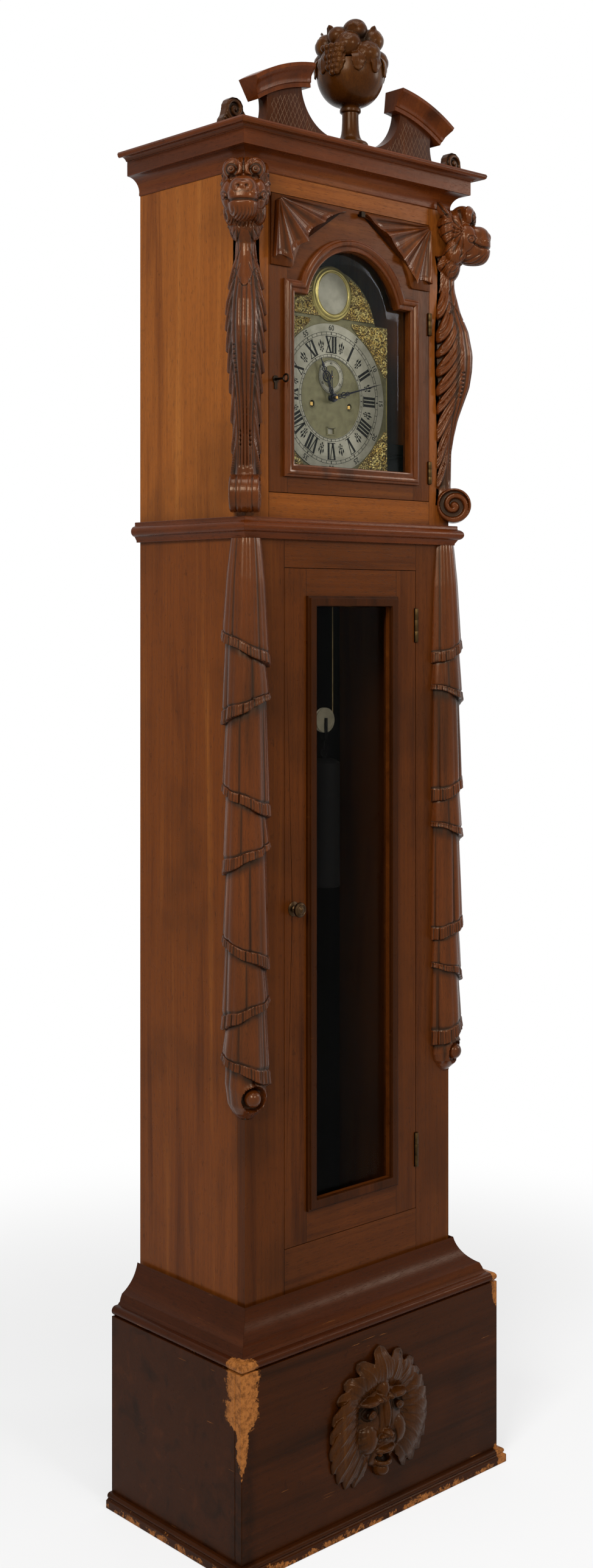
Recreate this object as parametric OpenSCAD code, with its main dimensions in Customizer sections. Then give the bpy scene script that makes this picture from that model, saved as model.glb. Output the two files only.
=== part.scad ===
// Longcase clock with a sliding hood, a glazed trunk door and an eight-day weight-driven movement.
// X runs to the viewer's right, Y runs back into the case, Z is up.
// The origin is the middle of the underside of the plinth.

/* [Trunk] */
// Width of the trunk over its two sides
trunk_w = 490; // [470:1:540]
// Depth of the trunk from its front frame to its back
trunk_d = 280; // [270:1:330]
// Height of the trunk between the base moulding and the waist moulding
trunk_h = 1268; // [1220:1:1400]
// Thickness of the side boards
board_t = 16; // [14:0.5:20]
// Thickness of the front frames of the trunk and the hood
face_t = 20; // [18:0.5:24]
// Thickness of the backboard
back_t = 12; // [8:0.5:16]
// Glue line between two boards of the case
glue = 0.2; // [0.1:0.05:0.3]

/* [Base] */
// Height of the base box
base_h = 328; // [300:1:380]
// How far the base box stands out beyond the trunk
base_out = 62; // [56:1:76]
// Height of the concave moulding between the base and the trunk
cove_h = 68; // [60:1:80]
// Height of the plinth moulding round the foot of the base
plinth_h = 26; // [22:1:36]
// How far the plinth moulding stands out beyond the base box
plinth_out = 12; // [8:1:18]

/* [Trunk door] */
// Width of the trunk door
tdoor_w = 316; // [300:1:330]
// Height of the door's lower edge above the base moulding
tdoor_up = 83; // [70:1:100]
// Height of the rail over the trunk door
tdoor_over = 48; // [40:1:60]
// Width of the door's glass opening
tsight_w = 182; // [160:1:200]
// Height of the door's rail under its glass
tsight_up = 69.5; // [60:0.5:80]
// Height of the door's rail over its glass
tsight_over = 63.5; // [55:0.5:75]
// Thickness of the wooden doors
door_t = 20; // [18:0.5:22]
// Thickness of the glass in both doors
glass_t = 3; // [2:0.5:4]
// Gap all round between a door and its frame
door_gap = 1; // [0.6:0.1:1.5]
// Opening angle of the trunk door, shown closed
tdoor_swing = 0; // [0:1:110]

/* [Hood] */
// Height of the waist moulding that the hood stands on
waist_h = 35; // [30:1:45]
// Height of the hood from the waist moulding to the cornice
hood_h = 572; // [560:1:600]
// Height of the rail under the hood door
rail_h = 43; // [36:1:50]
// Height of the cornice
cornice_h = 67.5; // [60:0.5:80]
// How far the cornice stands out beyond the hood
cornice_out = 50; // [44:1:60]
// Running gap between the hood and the case that it slides on
run_gap = 0.3; // [0.2:0.05:0.5]
// Width of the hood door
hdoor_w = 386; // [370:1:392]
// Height of the hood door
hdoor_h = 496; // [485:1:500]
// Width of the hood door's glass opening
hsight_w = 280; // [265:1:290]
// Radius of the arch of the hood door's glass opening
hsight_r = 112; // [104:1:118]
// Radius of the sweep under the carved wings
wing_r = 147; // [142:1:150]
// Width of the raised moulding round the opening
bead_w = 22; // [16:1:24]

/* [Pediment] */
// Radius of the top of the broken arch
arch_r = 310; // [290:1:330]
// Radial height of the arched moulding
arch_h = 38; // [30:1:44]
// Depth of the arched moulding from front to back
arch_d = 34; // [28:1:40]
// Thickness of the board under the arched moulding
neck_t = 22; // [18:1:26]
// Largest radius of the urn's bowl
urn_r = 59; // [50:1:64]
// Height of the urn to its rim
urn_h = 148; // [130:1:160]
// Radius of the largest fruit in the urn
fruit_r = 24; // [20:1:27]

/* [Carving] */
// Share of the trunk's height that the carved drapery on each corner hangs down
swag_share = 0.751; // [0.7:0.001:0.8]
// Full radius of the drapery round the corner
swag_r = 39; // [34:1:42]
// Radius of the scroll at the foot of each corner bracket
scroll_r = 31; // [26:1:33]
// Half width of the body of the corner bracket
bracket_hw = 29; // [25:1:31]

/* [Dial] */
// Width of the square part of the dial
dial_w = 280; // [270:1:290]
// Radius of the arch of the dial
dial_r = 112; // [100:1:116]
// Thickness of the dial plate
dial_t = 2.5; // [2:0.1:3]
// Distance of the dial behind the face of the hood
dial_back = 54; // [50:1:58]
// Height of the dial's centre above the waist moulding
dial_up = 218; // [212:1:226]
// Outer radius of the chapter ring
chapter_r = 130; // [122:1:132]
// Width of the chapter ring
chapter_w = 59; // [50:1:60]
// Radius of the seconds ring
seconds_r = 29; // [26:1:30]
// Length of the minute hand from its centre
minute_len = 120; // [100:1:122]
// Length of the hour hand from its centre
hour_len = 78; // [70:1:84]

/* [Movement] */
// Half width of the movement plates
plate_hw = 66; // [64:1:72]
// Height of the movement plates
plate_h = 156; // [150:1:166]
// Thickness of the movement plates
plate_t = 3; // [2.5:0.1:3.5]
// Distance between the two plates
plate_gap = 60; // [58:0.5:66]
// Distance between the dial and the front plate
dial_gap = 22; // [21:0.5:24]
// Thickness of the train wheels
wheel_t = 2; // [1.5:0.1:2.4]
// Radius of the winding barrels
barrel_r = 24; // [20:0.5:24.5]
// Radial clearance of every pivot in its hole
pivot_gap = 0.05; // [0.02:0.01:0.1]
// Teeth of the going great wheel
great_n = 96; // [96]
// Teeth of the striking great wheel
strike_n = 84; // [84]
// Teeth of the centre wheel
centre_n = 60; // [60]
// Teeth of the third wheel
third_n = 56; // [56]
// Teeth of the escape wheel
escape_n = 30; // [30]

/* [Weights and pendulum] */
// Radius of the driving weights
weight_r = 28; // [24:1:30]
// Length of the driving weights
weight_h = 230; // [180:1:280]
// Height of the pulleys below the dial's centre
pulley_down = 568; // [500:1:640]
// Radius of the pulleys at the bottom of the groove
pulley_r = 20; // [18:0.5:22]
// Radius of the gut line
line_r = 0.9; // [0.7:0.1:1.2]
// Length of the pendulum from its bend to the middle of the bob
pend_len = 960; // [940:1:994]
// Radius of the pendulum bob
bob_r = 62; // [55:1:70]
// Thickness of the pendulum bob
bob_t = 28; // [22:1:30]

/* [Hidden] */

mahogany = "#8a4a1c";
dark_wood = "#4a1d0c";
carved_wood = "#6b2c14";
brass = "#b8964a";
silvered = "#c9c8b6";
steel = "#3a3d44";

// Places shared by several pieces
hw = trunk_w / 2;
yf = base_out + plinth_out - (trunk_d + base_out + plinth_out) / 2;
yb = yf + trunk_d;
z_base = base_h;
z_trunk = z_base + cove_h;
z_waist = z_trunk + trunk_h;
z_hood = z_waist + waist_h;
z_cornice = z_hood + hood_h;
z_top = z_cornice + cornice_h;
far = 400;

// Distances of the mouldings' own steps
waist_out = 20;
cove_foot = 38;
cove_tip = 6;
bead_r = 8;

// A gear outline: n teeth of module m, tooth share of the pitch at the pitch circle
function gear_points(n, m, share = 0.44, add = 1, ded = 1.3) = [
    for (i = [0 : n - 1], k = [0 : 3])
        let (p = 360 / n,
             half = [0.68, 0.3, -0.3, -0.68][k] * share * p,
             r = m * n / 2 + (k == 0 || k == 3 ? -ded : add) * m)
        [r * cos(i * p - half), r * sin(i * p - half)]];

// Turns a shape drawn in X and Y so that it faces the viewer, its thickness running back
module face_on() { rotate([90, 0, 0]) mirror([0, 0, 1]) children(); }

// A cylinder whose axis runs from front to back, starting at y
module arbor(x, y, z, len, r, fn = 32) {
    translate([x, y, z]) face_on() cylinder(h = len, r = r, $fn = fn);
}

// A box from its lowest to its highest corner
module box(a, b) { translate(a) cube(b - a); }

// Keeps a piece and adds its mirror image on the other side of the clock
module both_sides() {
    children();
    mirror([1, 0, 0]) children();
}

// A moulding in three mitred lengths round the front and the two sides. The profile is drawn as
// distance out from the case and height. half and y_face place it, reach and tuck bound it.
module mitred(half, y_face, z, reach, tuck, height) {
    intersection() {
        translate([0, y_face, z]) rotate([90, 0, -90])
            linear_extrude(2 * (half + reach), center = true) children();
        translate([0, y_face, z - 1]) linear_extrude(height + 2)
            polygon([[-half - reach, -reach], [half + reach, -reach],
                     [half - tuck, tuck], [tuck - half, tuck]]);
    }
    both_sides() intersection() {
        translate([half, yb, z]) rotate([90, 0, 0])
            linear_extrude(yb - y_face + reach) children();
        translate([half, y_face, z - 1]) linear_extrude(height + 2)
            polygon([[reach, 1.5 * glue - reach], [reach, yb - y_face], [-tuck, yb - y_face],
                     [-tuck, tuck + 1.5 * glue]]);
    }
}

// Points along a concave quarter sweep from a to b, hollow towards the corner [a.x, b.y] or away
function sweep_points(a, b, n = 6) = [
    for (i = [0 : n]) let (t = 90 * i / n)
        [b[0] + (a[0] - b[0]) * cos(t), a[1] + (b[1] - a[1]) * sin(t)]];

// Points round part of a circle
function arc_points(c, r, from, to, n = 6) = [
    for (i = [0 : n]) let (t = from + (to - from) * i / n) [c[0] + r * cos(t), c[1] + r * sin(t)]];

// A skin over rings of points, closed at both ends
module skin(rings) {
    n = len(rings[0]);
    m = len(rings);
    polyhedron(
        points = [for (r = rings, p = r) p],
        faces = concat(
            [for (i = [1 : n - 2]) [0, i, i + 1]],
            [for (j = [0 : m - 2], i = [0 : n - 1], k = [0, 1])
                let (a = j * n + i, b = j * n + (i + 1) % n)
                k == 0 ? [a, a + n, b] : [b, a + n, b + n]],
            [for (i = [1 : n - 2]) [(m - 1) * n, (m - 1) * n + i + 1, (m - 1) * n + i]]));
}

// A carved leaf: a curved, ridged blade that starts at the origin and points along +X
module leaf(length, width, rise, thick) {
    shares = [0.02, 0.3, 0.62, 0.88, 1];
    spans = [0.35, 0.85, 1, 0.6, 0.08];
    skin([for (i = [0 : 4]) let (x = length * shares[i], w = width / 2 * spans[i],
                                 z = rise * sin(110 * shares[i]))
        [[x, -w, z], [x, 0, z - thick * 0.2], [x, w, z], [x, w * 0.5, z + thick * 0.6],
         [x, 0, z + thick], [x, -w * 0.5, z + thick * 0.6]]]);
}

// CASE

module backboard() color(dark_wood) {
    box([glue + board_t - hw, yb - back_t, 0], [hw - board_t - glue, yb, z_cornice - 36]);
    both_sides() box([hw - board_t, yb - back_t, 0],
                     [hw + base_out - board_t - glue, yb, z_base - glue]);
}

module trunk_sides() color(mahogany) both_sides()
    box([hw - board_t, yf + face_t + glue, z_base], [hw, yb, z_hood]);

tdoor_z = z_trunk + tdoor_up;
tdoor_h = trunk_h - tdoor_up - tdoor_over;

module trunk_front() color(mahogany) {
    in_w = tdoor_w / 2 + door_gap;
    difference() {
        both_sides() box([in_w, yf, z_base], [hw, yf + face_t, z_hood]);
        both_hinges(tdoor_w, trunk_hinge_z, trunk_hinge_h);
    }
    box([glue - in_w, yf, z_base], [in_w - glue, yf + face_t, tdoor_z - door_gap]);
    box([glue - in_w, yf, tdoor_z + tdoor_h + door_gap], [in_w - glue, yf + face_t, z_hood]);
}

// The drapery's round centre lies inside the corner, as far in from both faces
swag_in = 10.5;
swag_len = trunk_h * swag_share;
// Foot of each tier of cloth as a share of the length, and how far its hem climbs sideways
swag_feet = [0, 0.197, 0.299, 0.459, 0.558, 0.721, 0.825, 0.92];
swag_slope = 22;

// One ring of the drapery round the right-hand corner, as far as the two faces that it lies on
function swag_ring(r, z, slope) = let (end = asin((swag_in + glue) / r)) concat(
    [[hw + glue, yf - glue, z]],
    [for (i = [0 : 12]) let (a = 180 - end - i * (270 - 2 * end) / 12, fold = i % 2 == 0 ? 0.6 : -0.6)
        [hw - swag_in + (r + fold) * cos(a), yf + swag_in - (r + fold) * sin(a),
         z + slope * (i / 6 - 1)]]);

// Fullness of the cloth down one tier, from its head to its hem
swag_full = [[0, 0.86], [0.5, 0.93], [0.9, 0.97], [1, 1.03]];

module trunk_swags() color(carved_wood) both_sides() {
    z0 = z_waist - glue;
    hems = [for (k = [0 : 6], t = [0, 0.5, 0.9, 1])
        let (top = k == 0 ? 0 : (k % 2 == 0 ? -swag_slope : swag_slope),
             foot = k % 2 == 0 ? swag_slope : -swag_slope,
             share = swag_feet[k] + (swag_feet[k + 1] - swag_feet[k]) * t,
             thin = k == 0 && t == 0 ? 0.62 : lookup(t, swag_full))
        swag_ring(swag_r * thin, z0 - swag_len * share - (k > 0 && t == 0 ? 1.5 : 0),
                  top + (foot - top) * t)];
    end = [for (q = [[0.922, 0.84, 1], [0.95, 0.86, 0.5], [0.975, 0.72, 0], [0.99, 0.52, 0],
                     [1, 0.36, 0]])
        swag_ring(swag_r * q[1], z0 - swag_len * q[0], swag_slope * q[2])];
    all_rings = concat(hems, end);
    n = len(all_rings);
    skin([for (i = [n - 1 : -1 : 0]) all_rings[i]]);
    translate([hw - 3, yf - 15, z0 - swag_len * 0.961]) sphere(r = 14, $fn = 12);
}

module waist_moulding() color(mahogany) mitred(hw + glue, yf - glue, z_waist, waist_out, 0, waist_h)
    polygon(concat([[0, 0], [8, 0], [8, 3]], arc_points([11, 19], 9, -80, 80, 8),
                   [[11, 30], [11, waist_h], [0, waist_h]]));

module base_cove() color(dark_wood) mitred(hw + glue, yf - glue, z_base + glue, base_out, 0, cove_h)
    polygon(concat([[0, 0], [base_out - bead_r, 0]],
                   arc_points([base_out - bead_r, bead_r], bead_r, -90, 90, 8),
                   [[base_out - 14, 2 * bead_r], [base_out - 16, 2 * bead_r + 3],
                    [cove_foot + 6, 2 * bead_r + 4], [cove_foot + 5, 2 * bead_r + 9]],
                   sweep_points([cove_foot, 2 * bead_r + 9], [cove_tip, cove_h - 4]),
                   [[cove_tip, cove_h], [0, cove_h]]));

base_hw = hw + base_out;
base_y = yf - base_out;

module base_box() color(dark_wood) {
    box([-base_hw, base_y, 0], [base_hw, base_y + board_t, z_base]);
    both_sides() box([base_hw - board_t, base_y + board_t + glue, 0], [base_hw, yb, z_base]);
}

module plinth_moulding() color(dark_wood)
    mitred(base_hw + glue, base_y - glue, 0, plinth_out - glue, 0, plinth_h)
        polygon(concat([[0, 0], [plinth_out - glue, 0], [plinth_out - glue, plinth_h - 12],
                        [plinth_out - 3, plinth_h - 11]],
                       arc_points([plinth_out - 8, plinth_h - 5.5], 5, -50, 80, 5),
                       [[0, plinth_h]]));

mask_z = 160;

// An egg-shaped lump of the mask's face, seated on the front of the base
module lump(x, z, rx, rz, out) {
    translate([x, base_y - glue, mask_z + z]) scale([rx, out, rz]) sphere(r = 1, $fn = 12);
}

// Leaves of the mask on one side: place of the root, place of the tip, and width
mask_leaves = [[16, 62, 62, 122, 34], [28, 60, 90, 84, 28], [38, 54, 104, 58, 26],
               [46, 52, 116, 28, 32], [48, 38, 119, 2, 34], [48, 20, 118, -24, 34],
               [44, 0, 110, -48, 34], [36, -18, 98, -70, 32], [26, -34, 72, -82, 28]];

// A leaf of the mask between two places of its plane, its heel sunk in the face
module mask_leaf(a, b, width) {
    d = b - a;
    translate([a[0], base_y - glue - 2, mask_z + a[1]]) rotate([0, -atan2(d[1], d[0]), 0])
        rotate([90, 0, 0]) leaf(norm(d), width, 5, 11);
}

module base_mask() color(carved_wood) {
    difference() {
        union() {
            lump(0, 6, 56, 76, 21);
            lump(0, 30, 11, 40, 33);
            lump(0, -8, 16, 13, 38);
            lump(0, -34, 30, 10, 31);
            lump(0, -57, 21, 9, 28);
            lump(0, -72, 15, 16, 20);
            mask_leaf([0, 62], [0, 136], 36);
            for (s = [-1, 1]) {
                lump(s * 34, -14, 26, 34, 27);
                lump(s * 38, 37, 13, 9, 27);
                lump(s * 34, 54, 27, 10, 30);
                for (m = mask_leaves) mask_leaf([s * m[0], m[1]], [s * m[2], m[3]], m[4]);
            }
        }
        box([-far, base_y - glue, 0], [far, base_y + far, z_base]);
    }
}

// DIAL AND HANDS

dial_y = yf + dial_back;
dial_z = z_hood + dial_up;
shoulder_up = dial_w / 2 - 3;
arch_up = shoulder_up - 22;
seconds_up = 37;
date_r = 57;
hour_turn = 336;
minute_turn = 74;

// Places of the arbors behind the dial, from its centre
wind_x = 45;
wind_z = -12.85;
third_at = [-16.09, 21.93];
pin_at = [-59.16, 26.05];
motion_at = [20.36, -20.36];
anchor_up = 61;
hammer_at = [-46, 62];
boss_up = 182;

plate_y = dial_y + dial_t + dial_gap;
back_y = plate_y + plate_t + plate_gap;
seat_z = dial_z - 69;
wheel_y = plate_y + plate_t + 3;
drum_y = wheel_y + wheel_t + 3.5;
drum_len = 39;
late_y = back_y - 7.5;
mid_y = plate_y + plate_t + 31;

// Pivot places: distance across, distance up, radius at the front, radius at the back
pivots = [[wind_x, wind_z, 4, 2.5], [-wind_x, wind_z, 4, 2.5], [0, 0, 2.5, 1.5],
          [third_at[0], third_at[1], 1, 1], [0, seconds_up, 1.2, 1.2], [0, anchor_up, 1.2, 2],
          [pin_at[0], pin_at[1], 1, 1], [hammer_at[0], hammer_at[1], 1.5, 1.5]];
feet_at = [[58, 72], [58, -58], [-58, 72], [-58, -58]];

module dial_outline() {
    translate([-dial_w / 2, -dial_w / 2]) square([dial_w, dial_w / 2 + shoulder_up]);
    translate([0, arch_up]) circle(r = dial_r, $fn = 96);
}

module dial_plate() color(brass) {
    translate([0, dial_y, dial_z]) face_on() linear_extrude(dial_t) difference() {
        dial_outline();
        circle(r = 5.5, $fn = 32);
        translate([0, seconds_up]) circle(r = 3, $fn = 32);
        for (s = [-1, 1]) translate([s * wind_x, wind_z]) circle(r = 6, $fn = 32);
        translate([-7, -date_r - 6]) square([14, 12]);
    }
    for (p = feet_at)
        arbor(p[0], dial_y + dial_t, dial_z + p[1], dial_gap, 3.5);
}

module dial_rings() color(silvered) {
    ring_t = 1.5;
    translate([0, dial_y - ring_t, dial_z]) face_on() linear_extrude(ring_t) difference() {
        circle(r = chapter_r, $fn = 96);
        circle(r = chapter_r - chapter_w, $fn = 96);
    }
    translate([0, dial_y - 1, dial_z + seconds_up]) face_on() linear_extrude(1) difference() {
        circle(r = seconds_r, $fn = 64);
        circle(r = seconds_r - 9, $fn = 64);
    }
}

// A cast corner ornament that fills the corner of the dial as far as the chapter ring, with its
// corner at the origin. reach is how far it runs along each edge, up how far below the centre it is.
module corner_mount(reach, up) {
    half = dial_w / 2 - 2;
    linear_extrude(2.5) difference() {
        polygon([[0, 0], [reach, 0], [reach, 6], [reach * 0.85, 17], [17, reach * 0.85], [6, reach],
                 [0, reach]]);
        translate([half, up]) circle(r = chapter_r + 2, $fn = 120);
    }
    for (p = [[0.27, 0.27, 0.15], [0.52, 0.12, 0.1], [0.12, 0.52, 0.1]])
        translate([reach * p[0], reach * p[1], 2])
            cylinder(h = 3, r1 = reach * p[2], r2 = reach * 0.06, $fn = 24);
}

// Half of the ornament beside the boss in the arch, its lower edge along the chapter ring
module arch_mount() linear_extrude(3) difference() {
    translate([0, arch_up]) circle(r = dial_r - 4, $fn = 96);
    translate([0, boss_up]) circle(r = 48, $fn = 64);
    circle(r = chapter_r + 2, $fn = 120);
    translate([-far, -far]) square([far + 24, 2 * far]);
    translate([-far, -far]) square([2 * far, far + shoulder_up + 4]);
    translate([20, boss_up + 44]) circle(r = 30, $fn = 48);
}

module dial_mounts() color(brass) {
    half = dial_w / 2 - 2;
    for (sx = [-1, 1], sz = [-1, 1]) let (up = sz > 0 ? shoulder_up - 2 : half)
        translate([sx * -half, dial_y, dial_z + sz * up])
            scale([sx, 1, -sz]) rotate([90, 0, 0]) corner_mount(88, up);
    translate([0, dial_y - 7, dial_z + boss_up]) face_on() difference() {
        cylinder(h = 7, r1 = 42, r2 = 47, $fn = 64);
        translate([0, 0, -1]) cylinder(h = 2.5, r = 36, $fn = 64);
    }
    both_sides() translate([0, dial_y - 3, dial_z]) face_on() arch_mount();
}

// A hand that stands up from its centre, cut from sheet with a pierced head
module hand_outline(length, hub, body, head) {
    difference() {
        union() {
            circle(r = hub, $fn = 32);
            polygon([[-body, 0], [-body * 0.55, length * 0.5], [body * 0.55, length * 0.5], [body, 0]]);
            translate([0, length * 0.5 + head * 0.8]) circle(r = head, $fn = 32);
            polygon([[-head * 0.7, length * 0.5 + head * 1.2], [-head * 0.9, length * 0.5 + head * 2.2],
                     [-1.1, length * 0.5 + head * 2.6], [0, length], [1.1, length * 0.5 + head * 2.6],
                     [head * 0.9, length * 0.5 + head * 2.2], [head * 0.7, length * 0.5 + head * 1.2]]);
        }
        circle(r = 2.5 + pivot_gap, $fn = 32);
        translate([0, length * 0.5 + head * 0.8]) circle(r = head * 0.45, $fn = 24);
    }
}

hour_y = dial_y - 8;
minute_y = dial_y - 12;

// The hour wheel rides on a pipe round the cannon, with the hour hand on its nose
module hour_hand() {
    color(steel) translate([0, hour_y, dial_z]) face_on() rotate([0, 0, -hour_turn])
        linear_extrude(1.2) difference() {
            hand_outline(hour_len, 7, 3.4, 7.5);
            circle(r = 4, $fn = 32);
        }
    color(brass) translate([0, hour_y, dial_z]) face_on() difference() {
        union() {
            translate([0, 0, 1.2]) cylinder(h = dial_y - hour_y + dial_t + 4, r = 4.6, $fn = 32);
            translate([0, 0, dial_y - hour_y + dial_t + 4]) linear_extrude(wheel_t)
                rotate([0, 0, 2.5]) polygon(gear_points(72, motion_m, 0.4));
            translate([0, 0, -0.8]) cylinder(h = 3, r = 4.6, $fn = 32);
        }
        translate([0, 0, -2]) cylinder(h = 40, r = 3.6 + pivot_gap, $fn = 32);
    }
}

motion_m = 28.8 * 2 / 78;
motion_y = plate_y - 6;

// The cannon: a pipe on the centre arbor with its wheel behind and the minute hand in front
module minute_hand() {
    color(steel) translate([0, minute_y, dial_z]) face_on() difference() {
        rotate([0, 0, -minute_turn]) linear_extrude(1.2) hand_outline(minute_len, 6, 2.6, 6);
        translate([0, 0, -1]) cylinder(h = 4, r = 3, $fn = 32);
    }
    color(brass) translate([0, minute_y - 0.6, dial_z]) face_on() difference() {
        union() {
            cylinder(h = motion_y - minute_y + 1, r = 3.6, $fn = 32);
            translate([0, 0, motion_y - minute_y + 0.6]) linear_extrude(wheel_t)
                polygon(gear_points(36, 0.8, 0.4));
        }
        translate([0, 0, -1]) cylinder(h = 60, r = 2.5 + pivot_gap, $fn = 32);
    }
}

// The minute wheel turns on a stud of the front plate and carries the pinion of the hour wheel
module minute_wheel() color(brass) translate([motion_at[0], 0, dial_z + motion_at[1]]) {
    hour_wheel_y = dial_y + dial_t + 4;
    difference() {
        union() {
            translate([0, motion_y, 0]) face_on() rotate([0, 0, 135]) linear_extrude(wheel_t)
                polygon(gear_points(36, 0.8, 0.4));
            translate([0, hour_wheel_y, 0]) face_on() rotate([0, 0, 135])
                linear_extrude(motion_y - hour_wheel_y + wheel_t)
                    polygon(gear_points(6, motion_m, 0.32, 0.9, 1.2));
        }
        arbor(0, hour_wheel_y - 1, 0, 40, 1.2 + pivot_gap, 24);
    }
}

module date_ring() color(silvered) translate([0, dial_y + dial_t + 0.3, dial_z]) face_on()
    linear_extrude(1.2) difference() {
        circle(r = date_r + 8, $fn = 96);
        circle(r = date_r - 5, $fn = 96);
    }

// The seconds hand is a light needle on the long front pivot of the escape arbor
module seconds_hand() color(steel) translate([0, dial_y - 4, dial_z + seconds_up]) face_on()
    rotate([0, 0, -178]) linear_extrude(0.8) difference() {
        union() {
            circle(r = 3, $fn = 24);
            translate([-0.6, 0]) square([1.2, 25]);
            translate([-1.1, -11]) square([2.2, 11]);
        }
        circle(r = 1.05, $fn = 24);
    }

// MOVEMENT

module pivot_holes(y, which) {
    for (p = pivots) arbor(p[0], y - 1, dial_z + p[1], plate_t + 2, p[which] + pivot_gap);
}

// Front and back plates, their pillars and the cock that the pendulum hangs from
module movement_frame() color(brass) {
    top = seat_z + plate_h;
    difference() {
        box([-plate_hw, plate_y, seat_z], [plate_hw, plate_y + plate_t, top]);
        pivot_holes(plate_y, 2);
    }
    difference() {
        box([-plate_hw, back_y, seat_z], [plate_hw, back_y + plate_t, top]);
        pivot_holes(back_y, 3);
    }
    for (x = [-1, 1], z = [8, plate_h - 9])
        translate([x * (plate_hw - 7), plate_y + plate_t, seat_z + z]) face_on()
            rotate_extrude($fn = 32) polygon([[0, 0], [5, 0], [5, 6], [3.2, 9],
                [3.2, plate_gap / 2 - 5], [5.5, plate_gap / 2], [3.2, plate_gap / 2 + 5],
                [3.2, plate_gap - 9], [5, plate_gap - 6], [5, plate_gap], [0, plate_gap]]);
    arbor(motion_at[0], plate_y - 16, dial_z + motion_at[1], 16, 1.2, 24);
    difference() {
        union() {
            box([-24, back_y + plate_t, cock_z - 8], [24, back_y + plate_t + 4, cock_z + 14]);
            box([-8, back_y + plate_t + 4, cock_z + 3], [8, pend_y + 5, cock_z + 14]);
        }
        box([-1.4, pend_y - 7, cock_z], [1.4, pend_y + 6, cock_z + 16]);
        arbor(0, back_y, dial_z + anchor_up, 20, 4.5);
    }
}

pend_y = back_y + plate_t + 30;
cock_z = dial_z + anchor_up + 5;

// A wheel with five arms, of n teeth and module m
module wheel(n, m, t, share = 0.42) {
    r = m * n / 2;
    linear_extrude(t) difference() {
        polygon(gear_points(n, m, share));
        for (i = [0 : 4]) rotate([0, 0, 72 * i]) intersection() {
            difference() {
                circle(r = r - 4, $fn = 64);
                circle(r = r * 0.3, $fn = 48);
            }
            polygon([[1.6, 1.2], [far, 1.2], [far, far * 2.6], [2.2, 4]]);
        }
    }
}

// Winding barrel on its arbor, grooved for the line, with the ratchet at its great wheel end
module barrel(side) {
    turns = 14;
    pitch = (drum_len - 6) / turns;
    translate([side * wind_x, 0, dial_z + wind_z]) {
        translate([0, drum_y, 0]) face_on() rotate_extrude($fn = 64) polygon(concat(
            [[0, 0], [barrel_r + 1, 0], [barrel_r + 1, 3]],
            [for (i = [0 : turns - 1], k = [0, 1])
                [barrel_r - (k == 0 ? 0 : 0.6), 3 + pitch * (i + (k == 0 ? 0.02 : 0.5))]],
            [[barrel_r + 1, drum_len - 3], [barrel_r + 1, drum_len], [0, drum_len]]));
        translate([0, drum_y - 2, 0]) face_on() linear_extrude(2)
            polygon([for (i = [0 : 23]) let (r = i % 2 == 0 ? 17 : 15.4)
                [r * cos(15 * i), r * sin(15 * i)]]);
        arbor(0, plate_y - 2, 0, drum_y - plate_y + 2, 4);
        arbor(0, drum_y + drum_len, 0, back_y + plate_t - drum_y - drum_len, 2.5);
        translate([-3, dial_y + 1, -3]) cube([6, plate_y - 2 - dial_y, 6]);
    }
}

module going_barrel() color(brass) barrel(1);
module strike_barrel() color(brass) barrel(-1);

// A great wheel turns loose on its barrel's arbor
module loose_wheel(side, n, turn) {
    translate([side * wind_x, wheel_y, dial_z + wind_z]) face_on() difference() {
        rotate([0, 0, turn]) wheel(n, 0.9, wheel_t);
        translate([0, 0, -1]) cylinder(h = 9, r = 4 + pivot_gap, $fn = 32);
    }
}

// Angles from each arbor to the next that it drives, seen from the front
great_dir = atan2(-wind_z, -wind_x);
third_dir = atan2(third_at[1], third_at[0]);
escape_dir = atan2(seconds_up - third_at[1], -third_at[0]);
strike_dir = atan2(pin_at[1] - wind_z, pin_at[0] + wind_x);

module great_wheel() color(brass) loose_wheel(1, great_n, great_dir);
module strike_wheel() color(brass) loose_wheel(-1, strike_n, strike_dir);

// A pinion of n leaves, one of its gaps facing the angle given
module pinion(n, m, len, facing) {
    rotate([0, 0, facing + 180 / n]) linear_extrude(len) polygon(gear_points(n, m, 0.34, 0.9, 1.2));
}

module centre_wheel() color(brass) {
    arbor(0, minute_y - 4, dial_z, plate_y + plate_t + 1 - minute_y + 4, 2.5);
    arbor(0, plate_y + plate_t + 1, dial_z, plate_gap - 2, 2);
    arbor(0, back_y - 1, dial_z, plate_t + 1, 1.5);
    translate([0, wheel_y - 1, dial_z]) face_on() pinion(8, 0.9, wheel_t + 2, great_dir + 180);
    translate([0, late_y, dial_z]) face_on() rotate([0, 0, third_dir]) wheel(centre_n, 0.8, wheel_t);
}

module third_wheel() color(brass) translate([third_at[0], 0, dial_z + third_at[1]]) {
    arbor(0, plate_y, 0, 2 * plate_t + plate_gap, 1);
    translate([0, late_y - 0.6, 0]) face_on() pinion(8, 0.8, wheel_t + 1.6, third_dir + 180);
    translate([0, late_y - 4, 0]) face_on() rotate([0, 0, escape_dir]) wheel(third_n, 0.7, wheel_t - 0.4);
}

escape_r = 17;

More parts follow.
